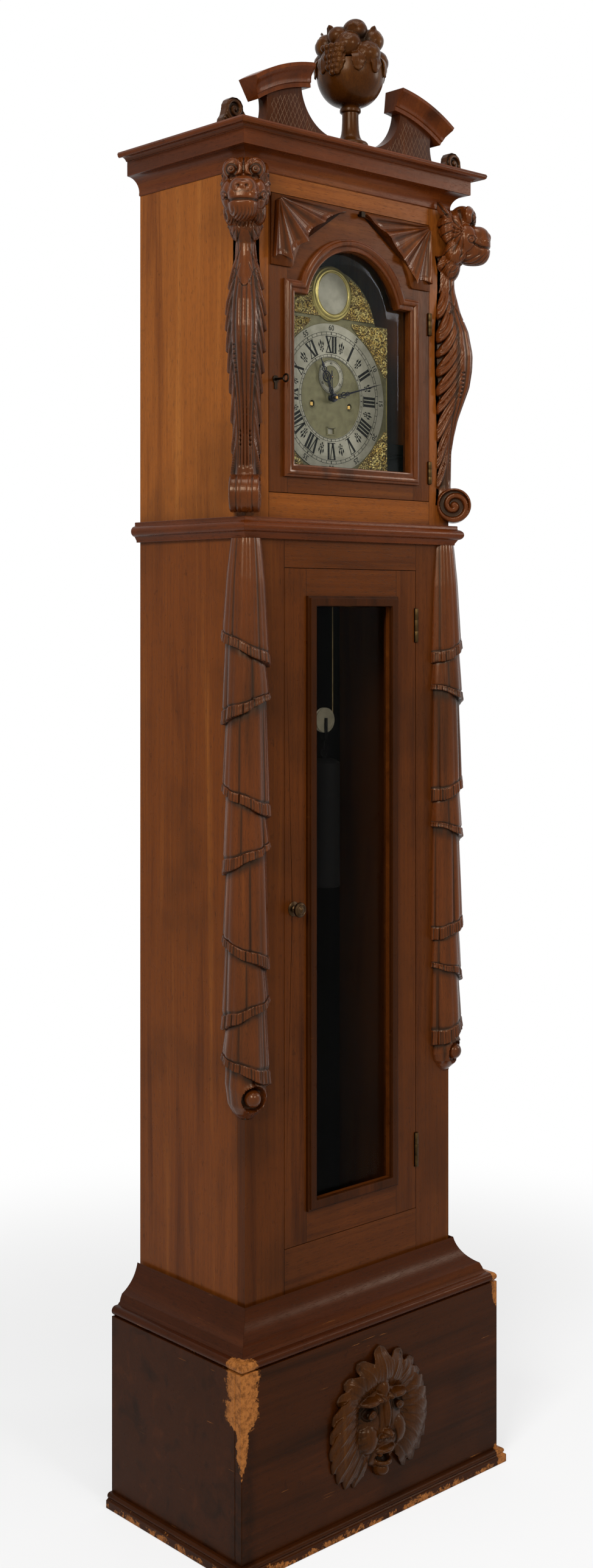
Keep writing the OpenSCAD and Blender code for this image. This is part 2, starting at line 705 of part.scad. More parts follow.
// Escape wheel with thin raked teeth, its pinion and the arbor that carries the seconds hand
module escape_wheel() color(brass) translate([0, 0, dial_z + seconds_up]) {
    arbor(0, dial_y - 5, 0, back_y + plate_t - dial_y + 5, 1.2 - 0.2);
    arbor(0, plate_y, 0, plate_t + plate_gap + plate_t, 1.2);
    translate([0, late_y - 5, 0]) face_on() pinion(7, 0.7, wheel_t + 1.6, escape_dir + 180);
    translate([0, mid_y, 0]) face_on() linear_extrude(1.5) difference() {
        polygon([for (i = [0 : escape_n - 1], k = [0 : 3])
            let (p = 360 / escape_n, base = 90 + p / 2 + i * p,
            r = k < 2 ? escape_r : escape_r - 3.4, a = base + [-0.7, 0.7, 2.2, p - 3.4][k])
            [r * cos(a), r * sin(a)]]);
        for (i = [0 : 3]) rotate([0, 0, 90 * i + 45]) translate([7.5, 0]) circle(r = 3.6, $fn = 24);
    }
}

// Anchor on its arbor over the escape wheel, with the crutch behind the back plate
module anchor() color(steel) {
    z = dial_z + anchor_up;
    arbor(0, plate_y, z, plate_t + plate_gap, 1.2);
    arbor(0, back_y, z, plate_t + 8, 2);
    translate([0, mid_y - 0.5, z]) face_on() linear_extrude(2.5) difference() {
        union() {
            circle(r = 4, $fn = 32);
            for (s = [-1, 1]) polygon([[s * -3, 3], [s * 9, 1.5], [s * 15.6, -5], [s * 16.4, -11],
                                       [s * 14.9, -11.4], [s * 12.6, -7.2], [s * 3, -3.5]]);
        }
        circle(r = 1, $fn = 24);
    }
    box([-2.5, back_y + plate_t + 5, z - crutch_len], [2.5, back_y + plate_t + 8, z]);
    for (s = [-1, 1]) box([s * 3.6 - 1.2, back_y + plate_t + 5, z - crutch_len],
                          [s * 3.6 + 1.2, pend_y + 5, z - crutch_len + 5]);
}

crutch_len = 108;

module pendulum_rod() color(brass) {
    z = dial_z + anchor_up;
    box([-0.3, pend_y - 5, z - 34], [0.3, pend_y + 5, cock_z + 15]);
    translate([0, 0, cock_z + 15]) box([-3, pend_y - 5, -0.5], [3, pend_y + 5, 4]);
    box([-4, pend_y - 3.5, z - 46], [4, pend_y + 3.5, z - 33]);
    translate([0, pend_y, z - pend_len - bob_r - 34]) cylinder(h = pend_len + bob_r - 8, r = 2, $fn = 24);
    translate([0, pend_y, z - pend_len - bob_r - 20]) cylinder(h = 6, r = 9, $fn = 40);
}

// Half the section of the bob: its front for 1, its back for -1
function bob_side(way) = [for (i = [0 : 8]) let (t = 90 * i / 8, dip = bob_t * 0.42 * (1 - cos(t)))
    [bob_r * (0.35 + 0.65 * sin(t)), way > 0 ? dip : bob_t - dip]];

// A lens-shaped bob with a hole right through for the rod
module pendulum_bob() color(brass) difference() {
    translate([0, pend_y - bob_t / 2, dial_z + anchor_up - pend_len]) face_on()
        rotate_extrude($fn = 96) polygon(concat([[0, 0]], bob_side(1),
            [for (i = [8 : -1 : 0]) bob_side(-1)[i]], [[0, bob_t]]));
    translate([0, pend_y, dial_z + anchor_up - pend_len - bob_r - 5])
        cylinder(h = 2 * bob_r + 10, r = 2 + pivot_gap, $fn = 24);
}

// Hammer wheel with its lifting pins
module pin_wheel() color(brass) translate([pin_at[0], 0, dial_z + pin_at[1]]) {
    arbor(0, plate_y, 0, 2 * plate_t + plate_gap, 1);
    translate([0, wheel_y - 1, 0]) face_on() pinion(8, 0.9, wheel_t + 2, strike_dir + 180);
    translate([0, late_y, 0]) face_on() wheel(60, 0.8, wheel_t);
    for (i = [0 : 7])
        arbor(20.5 * cos(45 * i + 22.5), late_y - 4.4, 20.5 * sin(45 * i + 22.5), 4.4, 0.9, 16);
}

bell_z = seat_z + plate_h + 44;
bell_x = -6;
bell_r = 42;

// Hammer on its arbor: a tail for the pins below, a stem and a head beside the bell above
module hammer() color(steel) {
    z = dial_z + hammer_at[1];
    x = hammer_at[0];
    arbor(x, plate_y, z, 2 * plate_t + plate_gap, 1.5);
    translate([x, late_y - 4.4, z]) face_on() linear_extrude(2.5) difference() {
        polygon([[-4, 3], [4, 3], [3, -8], [-10, -12.5], [-11, -10.5], [-3, -5]]);
        circle(r = 1, $fn = 24);
    }
    translate([0, bell_y, 0]) rotate([90, 0, 0]) linear_extrude(4, center = true)
        polygon([[x - 1, z - 3], [x + 3, z - 3], [x - 9, bell_z - 14], [x - 13, bell_z - 14]]);
    translate([x - 14, bell_y, bell_z - 8]) rotate([0, 90, 0])
        cylinder(h = 14, r = 7, center = true, $fn = 32);
}

bell_y = (plate_y + back_y) / 2 + 8;

// A bell on an upright stand that is screwed to the back plate
module bell() color(brass) {
    translate([bell_x, bell_y, bell_z]) rotate_extrude($fn = 64) polygon(concat(
        [for (i = [0 : 8]) let (t = 90 * i / 8) [bell_r * cos(t), bell_r * 0.65 * sin(t) - 12]],
        [for (i = [8 : -1 : 0]) let (t = 90 * i / 8)
            [(bell_r - 2.5) * cos(t), bell_r * 0.65 * sin(t) - 14.5]]));
    translate([bell_x, bell_y, bell_z + bell_r * 0.65 - 12]) cylinder(h = 5, r = 4, $fn = 24);
    translate([bell_x, bell_y, bell_z - 30]) cylinder(h = bell_r * 0.65 + 20, r = 2, $fn = 24);
    box([bell_x - 4, bell_y - 4, bell_z - 33], [bell_x + 4, back_y, bell_z - 29]);
    box([bell_x - 6, back_y - 2.5 - glue, bell_z - 60], [bell_x + 6, back_y - glue, bell_z - 29]);
}

// The seatboard carries the movement between the two cheeks inside the hood
module seatboard() color(dark_wood) {
    seat_t = 20;
    cheek_in = hw - 2 * board_t - 2;
    difference() {
        box([-cheek_in - board_t, plate_y - 12, seat_z - seat_t],
            [cheek_in + board_t, back_y + plate_t + 8, seat_z]);
        for (s = [-1, 1]) translate([s * (wind_x + barrel_r + line_r), line_y, seat_z - seat_t - 1])
            cylinder(h = seat_t + 2, r = 7, $fn = 32);
    }
    both_sides() box([cheek_in, plate_y - 30, z_hood - 120],
                     [cheek_in + board_t, yb - back_t - glue, seat_z - seat_t - glue]);
}

// WEIGHTS

line_y = drum_y + drum_len - 7;
pulley_z = dial_z - pulley_down;
line_x = wind_x + barrel_r + line_r;
pulley_x = line_x - pulley_r - line_r;
seat_t_under = seat_z - 20;

// The gut line comes down from the barrel, round the pulley and up to the seatboard
module line(side) color("#cbb98a") scale([side, 1, 1]) {
    r = pulley_r + line_r;
    translate([line_x, line_y, pulley_z]) cylinder(h = dial_z + wind_z - pulley_z, r = line_r, $fn = 16);
    translate([pulley_x - r, line_y, pulley_z])
        cylinder(h = seat_t_under - glue - pulley_z, r = line_r, $fn = 16);
    translate([pulley_x, line_y, pulley_z]) rotate([90, 180, 0])
        rotate_extrude(angle = 180, $fn = 48) translate([r, 0]) circle(r = line_r, $fn = 16);
}

module line_left() line(-1);
module line_right() line(1);

module pulley(side) color(brass) translate([side * pulley_x, line_y, pulley_z]) face_on()
    difference() {
        rotate_extrude($fn = 64) polygon([[0, -3.5], [pulley_r + 2.4, -3.5], [pulley_r + 2.4, -2.2],
            [pulley_r - 0.1, -1], [pulley_r - 0.1, 1], [pulley_r + 2.4, 2.2],
            [pulley_r + 2.4, 3.5], [0, 3.5]]);
        translate([0, 0, -5]) cylinder(h = 10, r = 2 + pivot_gap, $fn = 24);
        for (s = [0, 1]) mirror([0, 0, s]) translate([0, 0, 2.6]) difference() {
            cylinder(h = 2, r = pulley_r - 3, $fn = 48);
            translate([0, 0, -1]) cylinder(h = 4, r = 6, $fn = 32);
        }
    }

module pulley_left() pulley(-1);
module pulley_right() pulley(1);

// A cast weight with its eye, the hook and the stirrup that holds the pulley
module weight(side) color("#2b2a28") translate([side * pulley_x, line_y, 0]) {
    drop = 34;
    top = pulley_z - drop - 34;
    arbor(0, -6, pulley_z, 12, 2, 24);
    for (s = [-1, 1]) box([-3, s * 5 - 1, pulley_z - drop], [3, s * 5 + 1, pulley_z + 4]);
    box([-3, -6, pulley_z - drop - 2.5], [3, 6, pulley_z - drop]);
    translate([0, 0, pulley_z - drop - 18]) cylinder(h = 16, r = 1.8, $fn = 20);
    translate([0, 0, pulley_z - drop - 24]) rotate([90, 0, 0])
        rotate_extrude($fn = 32) translate([7, 0]) circle(r = 1.8, $fn = 16);
    translate([0, 0, top - weight_h]) rotate_extrude($fn = 64) polygon([[0, 0], [weight_r - 2, 0],
        [weight_r, 2], [weight_r, weight_h - 8], [weight_r - 8, weight_h - 2], [6, weight_h],
        [4, weight_h + 4], [0, weight_h + 4]]);
}

module weight_left() weight(-1);
module weight_right() weight(1);

// HOOD

hood_side_t = board_t - 1;
hdoor_z = z_hood + rail_h;

module hood_carcase() color(mahogany) {
    both_sides() box([hw - hood_side_t, yf + face_t + glue, z_hood + run_gap], [hw, yb, z_cornice]);
    box([glue + hood_side_t - hw, yf + face_t + glue, z_cornice - 12],
        [hw - hood_side_t - glue, yb, z_cornice]);
}

module hood_face() color(mahogany) {
    in_w = hdoor_w / 2 + door_gap;
    difference() {
        both_sides() box([in_w, yf, z_hood + run_gap], [hw, yf + face_t, z_cornice]);
        both_hinges(hdoor_w, hood_hinge_z, hood_hinge_h);
    }
    box([glue - in_w, yf, z_hood + run_gap], [in_w - glue, yf + face_t, hdoor_z - door_gap]);
    box([glue - in_w, yf, hdoor_z + hdoor_h + door_gap], [in_w - glue, yf + face_t, z_cornice]);
}

// Cove, flat fascia and moulded cap, cut from one wide board at the top
module cornice() color(dark_wood) {
    cove_up = 29;
    cap_up = cornice_h - 13.5;
    fascia = 27;
    mitred(hw, yf, z_cornice + glue, cornice_out, 60, cornice_h)
        polygon(concat([[-22, 0], [2, 0], [2, 4]], sweep_points([2, 4], [fascia, cove_up]),
                       [[fascia + 1, cap_up], [fascia + 4, cap_up]],
                       arc_points([fascia + 13, cap_up - 3.5], 10, 150, 100, 3),
                       arc_points([cornice_out - 6, cap_up + 9], 5, -70, 0, 3),
                       [[cornice_out, cornice_h - 4], [cornice_out - 2, cornice_h - glue],
                        [-60, cornice_h - glue], [-60, cornice_h - 10], [-22, cornice_h - 10]]));
}

// Places the bracket: X becomes the way out along the diagonal, Y the way across
module on_corner() { translate([hw, yf, 0]) rotate([0, 0, -45]) children(); }

// Body of the bracket: height over the scroll's centre, reach and half width at each ring
bracket_z = z_hood + 37;
body_rings = [[0, 6, 23.5], [37, 4, 24], [96, 5, 25], [126, 10, 26], [156, 17, 27], [184, 27, 28],
              [214, 38, 29], [246, 43, 30], [274, 44, 30.5], [316, 36, 31], [350, 22, 31],
              [392, 11, 28], [424, 10, 27], [444, 12, 28]];
// The head, with the half widths of its cheeks and its muzzle at each ring
head_rings = [[410, 10, 27, 12], [422, 16, 30, 18], [428, 42, 33, 22], [434, 60, 35, 24],
              [444, 71, 36, 25], [456, 74, 37, 26], [460, 69, 37, 24], [464, 75, 38, 27],
              [481, 77.5, 39, 28], [494, 70, 40, 28], [504, 57, 41, 29], [512, 48, 41.5, 33],
              [526, 44, 41.5, 34], [537, 38, 39, 30], [545, 26, 30, 22]];
bracket_k = (hood_h - 27) / 545;

// One ring of the body, fluted down its front, from one face of the corner to the other
function body_ring(q) = let (w = q[2] * bracket_hw / 30, z = bracket_z + q[0] * bracket_k) concat(
    [[0.4, 0, z], [-w - 2, -w - 2, z]],
    [for (k = [0 : 18]) let (t = -90 + 10 * k, cut = k % 2 == 0 ? 0 : 1.3, d = q[1] + 8 - cut)
        [d * cos(t) - 8, (w - cut) * sin(t), z]],
    [[-w - 2, w + 2, z]]);

function head_ring(q) = let (z = bracket_z + q[0] * bracket_k, r = q[1], c = q[2], m = q[3]) concat(
    [[0.4, 0, z]],
    [for (s = [-1, 1], p = [[0.3 - c * 0.8, c * 0.8], [min(2, r - 6), c], [min(26, r - 4), m * 1.1],
                            [max(r - 13, min(28, r - 3)), m], [r - 2, m * 0.62]])
        [p[0], s * p[1], z]],
    [[r, 0, z]]);

// The same ring with its points in order round the head
function ordered(p) = [p[0], p[1], p[2], p[3], p[4], p[5], p[11], p[10], p[9], p[8], p[7], p[6]];

// A lock of mane on the side of the body, rooted near the front and swept back to the case
module lock_of_hair(side, z, length, width, lean, out) {
    translate([6, side * out, z]) rotate([0, lean, 0]) rotate([0, 0, side * 90]) rotate([0, 90, 0])
        leaf(length, width, 5, 9);
}

module ball_at(x, y, z, r, n = 10) { translate([x, y, z]) sphere(r = r, $fn = n); }

module lion_bracket() {
    eye_z = bracket_z + 520 * bracket_k;
    difference() {
        on_corner() {
            skin([for (q = body_rings) body_ring(q)]);
            skin([for (q = head_rings) ordered(head_ring(q))]);
            translate([9, 0, bracket_z]) rotate([90, 0, 0])
                cylinder(h = 2 * bracket_hw - 2, r = scroll_r, center = true, $fn = 48);
            for (i = [0 : 11], s = [-1, 1])
                lock_of_hair(s, bracket_z + bracket_k * (92 + 37 * i), 50, 32, 46, i > 9 ? 30 : 22);
            ball_at(66, 0, eye_z - 30, 13, 12);
            for (s = [-1, 1]) {
                ball_at(64, s * 17, eye_z - 44, 13);
                ball_at(40, s * 20, eye_z, 9);
                translate([33, s * 20, eye_z + 4]) rotate([0, 60, 0]) difference() {
                    cylinder(h = 18, r = 19, center = true, $fn = 24);
                    translate([0, 0, 5]) cylinder(h = 10, r = 13, $fn = 20);
                }
            }
        }
        box([-far, yf - glue, 0], [hw + glue, far, z_top]);
        box([-far, yf - 5, z_cornice - glue], [hw + 5, far, z_top]);
        translate([hdoor_w / 2 + 14.5, yf, 0]) rotate([0, 0, 7.5]) box([-far, -far, 0], [0, 2, z_top]);
        on_corner() for (s = [-1, 1]) translate([9, s * (bracket_hw - 1), bracket_z])
            rotate([90, 0, 0]) difference() {
                cylinder(h = 5, r = scroll_r - 5, center = true, $fn = 40);
                cylinder(h = 6, r = scroll_r - 16, center = true, $fn = 32);
            }
    }
}

module lion_brackets() color(carved_wood) both_sides() lion_bracket();

// PEDIMENT

arch_at = [72, -181];
neck_y = yf;

// Swan-necked board on one side, as far as the underside of its arched moulding
module neck_outline() difference() {
    polygon([[45, 0], [212, 0], [240, 140], [60, 140], [60, 18]]);
    translate(arch_at) difference() {
        circle(r = far, $fn = 96);
        circle(r = arch_r - arch_h - glue, $fn = 128);
    }
    translate([38, 97]) circle(r = 82, $fn = 96);
    translate([268, 42]) circle(r = 72, $fn = 96);
}

module pediment_board() color(carved_wood) {
    both_sides() translate([0, neck_y, z_top]) face_on() linear_extrude(neck_t) neck_outline();
    both_sides() ear();
}

// A scrolled leaf that lies on the end of the cornice
module ear() {
    translate([hw + 2, neck_y + 2, z_top]) {
        translate([18, 0, 26]) face_on() cylinder(h = 16, r = 18, $fn = 40);
        translate([0, 0, 0]) face_on() linear_extrude(16)
            polygon([[-34, 0], [38, 0], [36, 18], [18, 30], [0, 22], [-16, 8], [-34, 4]]);
    }
}

module pediment_moulding() color(dark_wood) both_sides()
    translate([arch_at[0], neck_y - 10, z_top + arch_at[1]]) rotate([90, 0, 0]) mirror([0, 0, 1])
        rotate([0, 0, 57.4]) rotate_extrude(angle = 26.3, $fn = 180)
            polygon([[arch_r - arch_h, 6], [arch_r - arch_h + 7, 6], [arch_r - arch_h + 8, 4],
                     [arch_r - 26, 3.5], [arch_r - 20, 2], [arch_r - 12, -5], [arch_r - 8, -9],
                     [arch_r - 6, -10], [arch_r, -10], [arch_r, arch_d], [arch_r - arch_h, arch_d]]);

urn_y = yf + 5;

module urn() color(carved_wood) translate([0, urn_y, z_top]) rotate_extrude($fn = 72)
    polygon(concat([[0, 0], [31, 0], [31, 7]], arc_points([26, 11], 5, -30, 90, 4),
                   [[23, 17], [17, 26], [15, 38], [14.5, urn_h - 82], [18, urn_h - 78],
                    [18, urn_h - 73], [15, urn_h - 71]],
                   [for (i = [1 : 9]) let (t = 90 * i / 9)
                       [15 + (urn_r - 15) * sin(t), urn_h - 12 - 58 * cos(t)]],
                   [[urn_r - 2, urn_h], [0, urn_h]]));

// Fruit in the urn: turn round it, distance out, height over the rim, and size
fruit_at = [[-140, 42, 24, 0.86], [-95, 44, 8, 0.9], [-118, 28, 52, 0.78], [-66, 40, 36, 0.8],
            [-165, 44, 40, 0.62], [-30, 46, 8, 0.85], [8, 44, 30, 0.8], [40, 46, 6, 0.9],
            [75, 42, 34, 0.82], [110, 46, 8, 0.86], [150, 42, 30, 0.8], [180, 46, 0, 0.7],
            [20, 20, 54, 0.8], [120, 18, 50, 0.75]];
// Bunches of grapes hang over the rim on two sides
grape_turns = [196, 16];

module urn_fruit() color(carved_wood) translate([0, urn_y, z_top + urn_h]) difference() {
    union() {
        for (f = fruit_at)
            translate([f[1] * cos(f[0]), f[1] * sin(f[0]), f[2]]) rotate([0, 0, f[0]]) rotate([0, 24, 0])
                scale([1, 1, 1.12]) sphere(r = fruit_r * f[3], $fn = 12);
        for (g = grape_turns, row = [0 : 3], i = [0 : 2 - floor(row / 2)]) {
            turn = g + 12 * (i - 1 + floor(row / 2) / 2) + 5 * (row % 2);
            translate([(61 - row) * cos(turn), (61 - row) * sin(turn), 13 - 9.5 * row])
                sphere(r = 8, $fn = 6);
        }
        for (i = [0 : 10]) rotate([0, 0, 10 + 32.7 * i]) translate([38, 0, 13]) rotate([0, 56, 0])
            leaf(46, 29, 7, 7);
        for (i = [0 : 4]) rotate([0, 0, 25 + 72 * i]) translate([20, 0, 48]) rotate([0, -38, 0])
            leaf(34, 24, 5, 7);
        translate([0, 0, 22]) sphere(r = 43, $fn = 12);
    }
    translate([0, 0, -80]) cylinder(h = 80 + glue, r = urn_r + glue, $fn = 72);
}

// DOORS

hsight_z = dial_z - 126;
hsight_h = 286;
harch_z = dial_z + 134;
wing_z = dial_z + 166;

// The opening of the hood door, grown all round by a distance, with y up the door
module hood_sight(grow) {
    translate([-hsight_w / 2 - grow, hsight_z - grow]) square([hsight_w + 2 * grow, hsight_h + 2 * grow]);
    translate([0, harch_z]) circle(r = hsight_r + grow, $fn = 96);
}

glass_y = yf + 9;
rebate = 7;

module hood_door_frame() color(mahogany) difference() {
    box([-hdoor_w / 2, yf, hdoor_z], [hdoor_w / 2, yf + door_t, hdoor_z + hdoor_h]);
    translate([0, yf - 1, 0]) face_on() linear_extrude(door_t + 2) hood_sight(0);
    translate([0, glass_y - glue, 0]) face_on() linear_extrude(door_t) hood_sight(rebate);
    both_hinges(hdoor_w, hood_hinge_z, hood_hinge_h);
}

module hood_door_moulding() color(carved_wood)
    translate([0, yf - glue, 0]) mirror([0, 1, 0]) rotate([90, 0, 0]) mirror([0, 0, 1]) {
        linear_extrude(6) difference() { hood_sight(bead_w); hood_sight(0.5); }
        linear_extrude(9) difference() { hood_sight(bead_w - 4); hood_sight(bead_w - 13); }
    }

module hood_door_glass() color([0.8, 0.9, 0.9, 0.3]) translate([0, glass_y, 0]) face_on()
    linear_extrude(glass_t) hood_sight(rebate - 0.5);

// Ends of the wing's ribs and the hollows of its scalloped edge, from the corner of the door
wing_apex = [8, -6];
wing_ribs = [[2, -106], [42, -110], [76, -72], [114, -34], [168, -6]];
wing_hollows = [[22, -100], [52, -86], [88, -50], [134, -20]];

// A carved wing: ribs that stand out from hollowed webs, over a plate swept to the arch
module wing() translate([-hdoor_w / 2 + 1, yf - glue, hdoor_z + hdoor_h - 1]) {
    plate = 4;
    n = len(wing_ribs);
    edge = [for (i = [0 : n - 1], k = [0, 1]) if (k == 0 || i < n - 1)
        k == 0 ? wing_ribs[i] : wing_hollows[i]];
    m = len(edge);
    difference() {
        translate([0, -plate, 0]) face_on() linear_extrude(plate) difference() {
            polygon([[0, 0], [172, 0], [172, -14], [120, -50], [60, -118], [0, -118]]);
            translate([hdoor_w / 2 - 1, wing_z - hdoor_z - hdoor_h + 1]) circle(r = wing_r, $fn = 96);
        }
    }
    translate([0, -plate, 0]) polyhedron(
        points = concat([[wing_apex[0], -11, wing_apex[1]], [wing_apex[0], 0, wing_apex[1]]],
                        [for (i = [0 : m - 1]) [edge[i][0], i % 2 == 0 ? -9 : -3.5, edge[i][1]]],
                        [for (i = [0 : m - 1]) [edge[i][0], 0, edge[i][1]]]),
        faces = concat([for (i = [0 : m - 2]) [0, 3 + i, 2 + i]],
                       [for (i = [0 : m - 2]) [1, 2 + m + i, 3 + m + i]],
                       [for (i = [0 : m - 2], k = [0, 1])
                           k == 0 ? [2 + i, 3 + i, 2 + m + i] : [3 + i, 3 + m + i, 2 + m + i]],
                       [[0, 2, 1], [2, 2 + m, 1], [0, 1, 1 + m], [1 + m, 1, 1 + 2 * m]]));
}

module hood_wings() color(carved_wood) {
    both_sides() wing();
}

lock_x = -hdoor_w / 2 + 14;
lock_z = dial_z + 12;

// Lock case let into the door's edge, its escutcheon, and the small stud on the top rail
module hood_lock() color(brass) {
    translate([lock_x, yf - glue, lock_z]) rotate([90, 0, 0]) linear_extrude(1.5) difference() {
        union() {
            circle(r = 6.5, $fn = 32);
            translate([-3, -16]) square([6, 16]);
        }
        circle(r = 2.6, $fn = 24);
    }
    translate([15, yf - glue - 2, hdoor_z + hdoor_h - 8]) rotate([90, 0, 0]) {
        translate([0, 0, -2]) cylinder(h = 6, r = 2.5, $fn = 24);
        translate([-4.5, -4.5, 4]) cube([9, 9, 6]);
    }
}

module hood_key() color(brass) translate([lock_x, yf - glue, lock_z]) {
    translate([0, 0.2, 0]) rotate([90, 0, 0]) cylinder(h = 20, r = 2, $fn = 24);
    translate([0, -26, 0]) rotate([90, 0, 90]) rotate_extrude($fn = 32)
        translate([6, 0]) circle(r = 1.6, $fn = 16);
}

// Butt hinges at the right-hand edge: heights of their lower ends, and their length
hood_hinge_z = [hdoor_z + 31, hdoor_z + 298];
hood_hinge_h = 40;
trunk_hinge_z = [tdoor_z + 74, tdoor_z + tdoor_h - 127];
trunk_hinge_h = 60;
pin_r = 1.5;
knuckle_r = 4;
leaf_t = 2;

// Recesses for the leaves and knuckles in a door or a frame, w being the door's width
module both_hinges(w, zs, h) {
    for (z = zs) {
        translate([w / 2 + door_gap / 2, yf - 1, z - 0.5])
            cylinder(h = h + 1, r = knuckle_r + 0.4, $fn = 32);
        box([w / 2 - leaf_t - 0.2, yf - 1, z - 0.5],
            [w / 2 + door_gap + leaf_t + 0.2, yf + 17, z + h + 0.5]);
    }
}

// Door leaf of a butt hinge with its two outer knuckles
module door_leaf(w, z, h) {
    third = h / 3;
    for (k = [0, 2]) translate([w / 2 + door_gap / 2, yf - 1, z + k * third + 0.15]) difference() {
        union() {
            cylinder(h = third - 0.3, r = knuckle_r, $fn = 32);
            box([-door_gap / 2 - leaf_t, 0, 0], [-door_gap / 2, 17, third - 0.3]);
        }
        translate([0, 0, -1]) cylinder(h = third + 2, r = pin_r + pivot_gap, $fn = 24);
    }
    box([w / 2 - leaf_t, yf + 4, z + 0.15], [w / 2, yf + 16, z + h - 0.15]);
}

// Frame leaf with the middle knuckle and the pin
module frame_leaf(w, z, h) {
    third = h / 3;
    x = w / 2 + door_gap / 2;
    translate([x, yf - 1, z + third + 0.15]) cylinder(h = third - 0.3, r = knuckle_r, $fn = 32);
    translate([x, yf - 1, z]) cylinder(h = h, r = pin_r, $fn = 24);
    box([x + door_gap / 2, yf + 4, z + 0.15], [x + door_gap / 2 + leaf_t, yf + 16, z + h - 0.15]);
    box([x + door_gap / 2, yf - 1, z + third + 0.15],
        [x + door_gap / 2 + leaf_t, yf + 16, z + 2 * third - 0.15]);
}

module hood_hinges() color(brass) for (z = hood_hinge_z) frame_leaf(hdoor_w, z, hood_hinge_h);
module hood_door_leaves() color(brass) for (z = hood_hinge_z) door_leaf(hdoor_w, z, hood_hinge_h);
module trunk_hinges() color(brass) for (z = trunk_hinge_z) frame_leaf(tdoor_w, z, trunk_hinge_h);
module trunk_door_leaves() color(brass) for (z = trunk_hinge_z) door_leaf(tdoor_w, z, trunk_hinge_h);

tsight_z = tdoor_z + tsight_up;
tsight_h = tdoor_h - tsight_up - tsight_over;
knob_x = 20 - tdoor_w / 2;
knob_z = tdoor_z + tdoor_h * 0.498;

// Two stiles and two rails round the opening, rebated at the back for the glass
module trunk_door_frame() color(mahogany) difference() {
    box([-tdoor_w / 2, yf, tdoor_z], [tdoor_w / 2, yf + door_t, tdoor_z + tdoor_h]);
    box([-tsight_w / 2, yf - 1, tsight_z], [tsight_w / 2, yf + door_t + 1, tsight_z + tsight_h]);
    box([-tsight_w / 2 - rebate, glass_y - glue, tsight_z - rebate],
        [tsight_w / 2 + rebate, yf + door_t + 1, tsight_z + tsight_h + rebate]);
    both_hinges(tdoor_w, trunk_hinge_z, trunk_hinge_h);
    arbor(knob_x, yf - 1, knob_z, door_t + 2, 3 + pivot_gap);
}

module trunk_door_moulding() color(carved_wood)
    for (step = [[0.3, 12, 5], [4, 11, 8]]) difference() {
        box([-tsight_w / 2 - 18 + step[0], yf - glue - step[2], tsight_z - 18 + step[0]],
            [tsight_w / 2 + 18 - step[0], yf - glue, tsight_z + tsight_h + 18 - step[0]]);
        box([step[1] - 12 - tsight_w / 2 + 0.5, yf - 20, tsight_z + 0.5 - 12 + step[1]],
            [tsight_w / 2 + 12 - step[1] - 0.5, yf + 1, tsight_z + tsight_h - 0.5 + 12 - step[1]]);
    }

module trunk_door_glass() color([0.8, 0.9, 0.9, 0.3])
    box([0.5 - tsight_w / 2 - rebate, glass_y, tsight_z - rebate + 0.5],
        [tsight_w / 2 + rebate - 0.5, glass_y + glass_t, tsight_z + tsight_h + rebate - 0.5]);

// A turned knob outside and a turn-button inside, on one spindle; shown turned off its catch
module trunk_knob() color(carved_wood) translate([knob_x, yf, knob_z]) {
    arbor(0, -6, 0, door_t + 8, 3, 24);
    translate([0, -run_gap, 0]) rotate([90, 0, 0]) rotate_extrude($fn = 48)
        polygon([[0, 0], [11, 0], [11, 2], [5, 4], [4.5, 8], [9, 11], [12.5, 15], [12, 19],
                 [8, 22], [0, 23]]);
    box([-5, door_t + 1, -9], [5, door_t + 5, 26]);
}

backboard();
trunk_sides();
trunk_front();
trunk_swags();
waist_moulding();
base_cove();
base_box();
base_mask();
plinth_moulding();
seatboard();
dial_plate();
dial_rings();
dial_mounts();
movement_frame();
bell();
trunk_hinges();
line_left();
line_right();
going_barrel();
great_wheel();
centre_wheel();
minute_hand();
third_wheel();
escape_wheel();
seconds_hand();
anchor();
pendulum_rod();
pendulum_bob();
minute_wheel();
hour_hand();
date_ring();
strike_barrel();
strike_wheel();
pin_wheel();
hammer();
pulley_left();
pulley_right();
weight_left();
weight_right();
hood_carcase();
hood_face();
cornice();
lion_brackets();
pediment_board();
pediment_moulding();
urn();
urn_fruit();
hood_hinges();
hood_door_frame();
hood_door_moulding();
hood_door_glass();
hood_wings();
hood_lock();
hood_door_leaves();
hood_key();
trunk_door_frame();
trunk_door_moulding();
trunk_door_glass();
trunk_door_leaves();
trunk_knob();
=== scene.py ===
"""Looks of a tall carved longcase clock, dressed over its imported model.

Every class is one sub-assembly of the clock. It holds its sizes in millimetres, models its pieces
and gives them their finish. The classes are built in order by main().
"""

import logging
import math
from dataclasses import dataclass, field, replace
from enum import Enum
from typing import Callable, Iterable, Sequence

import bmesh
import bpy
import numpy as np
from mathutils import Matrix, Vector


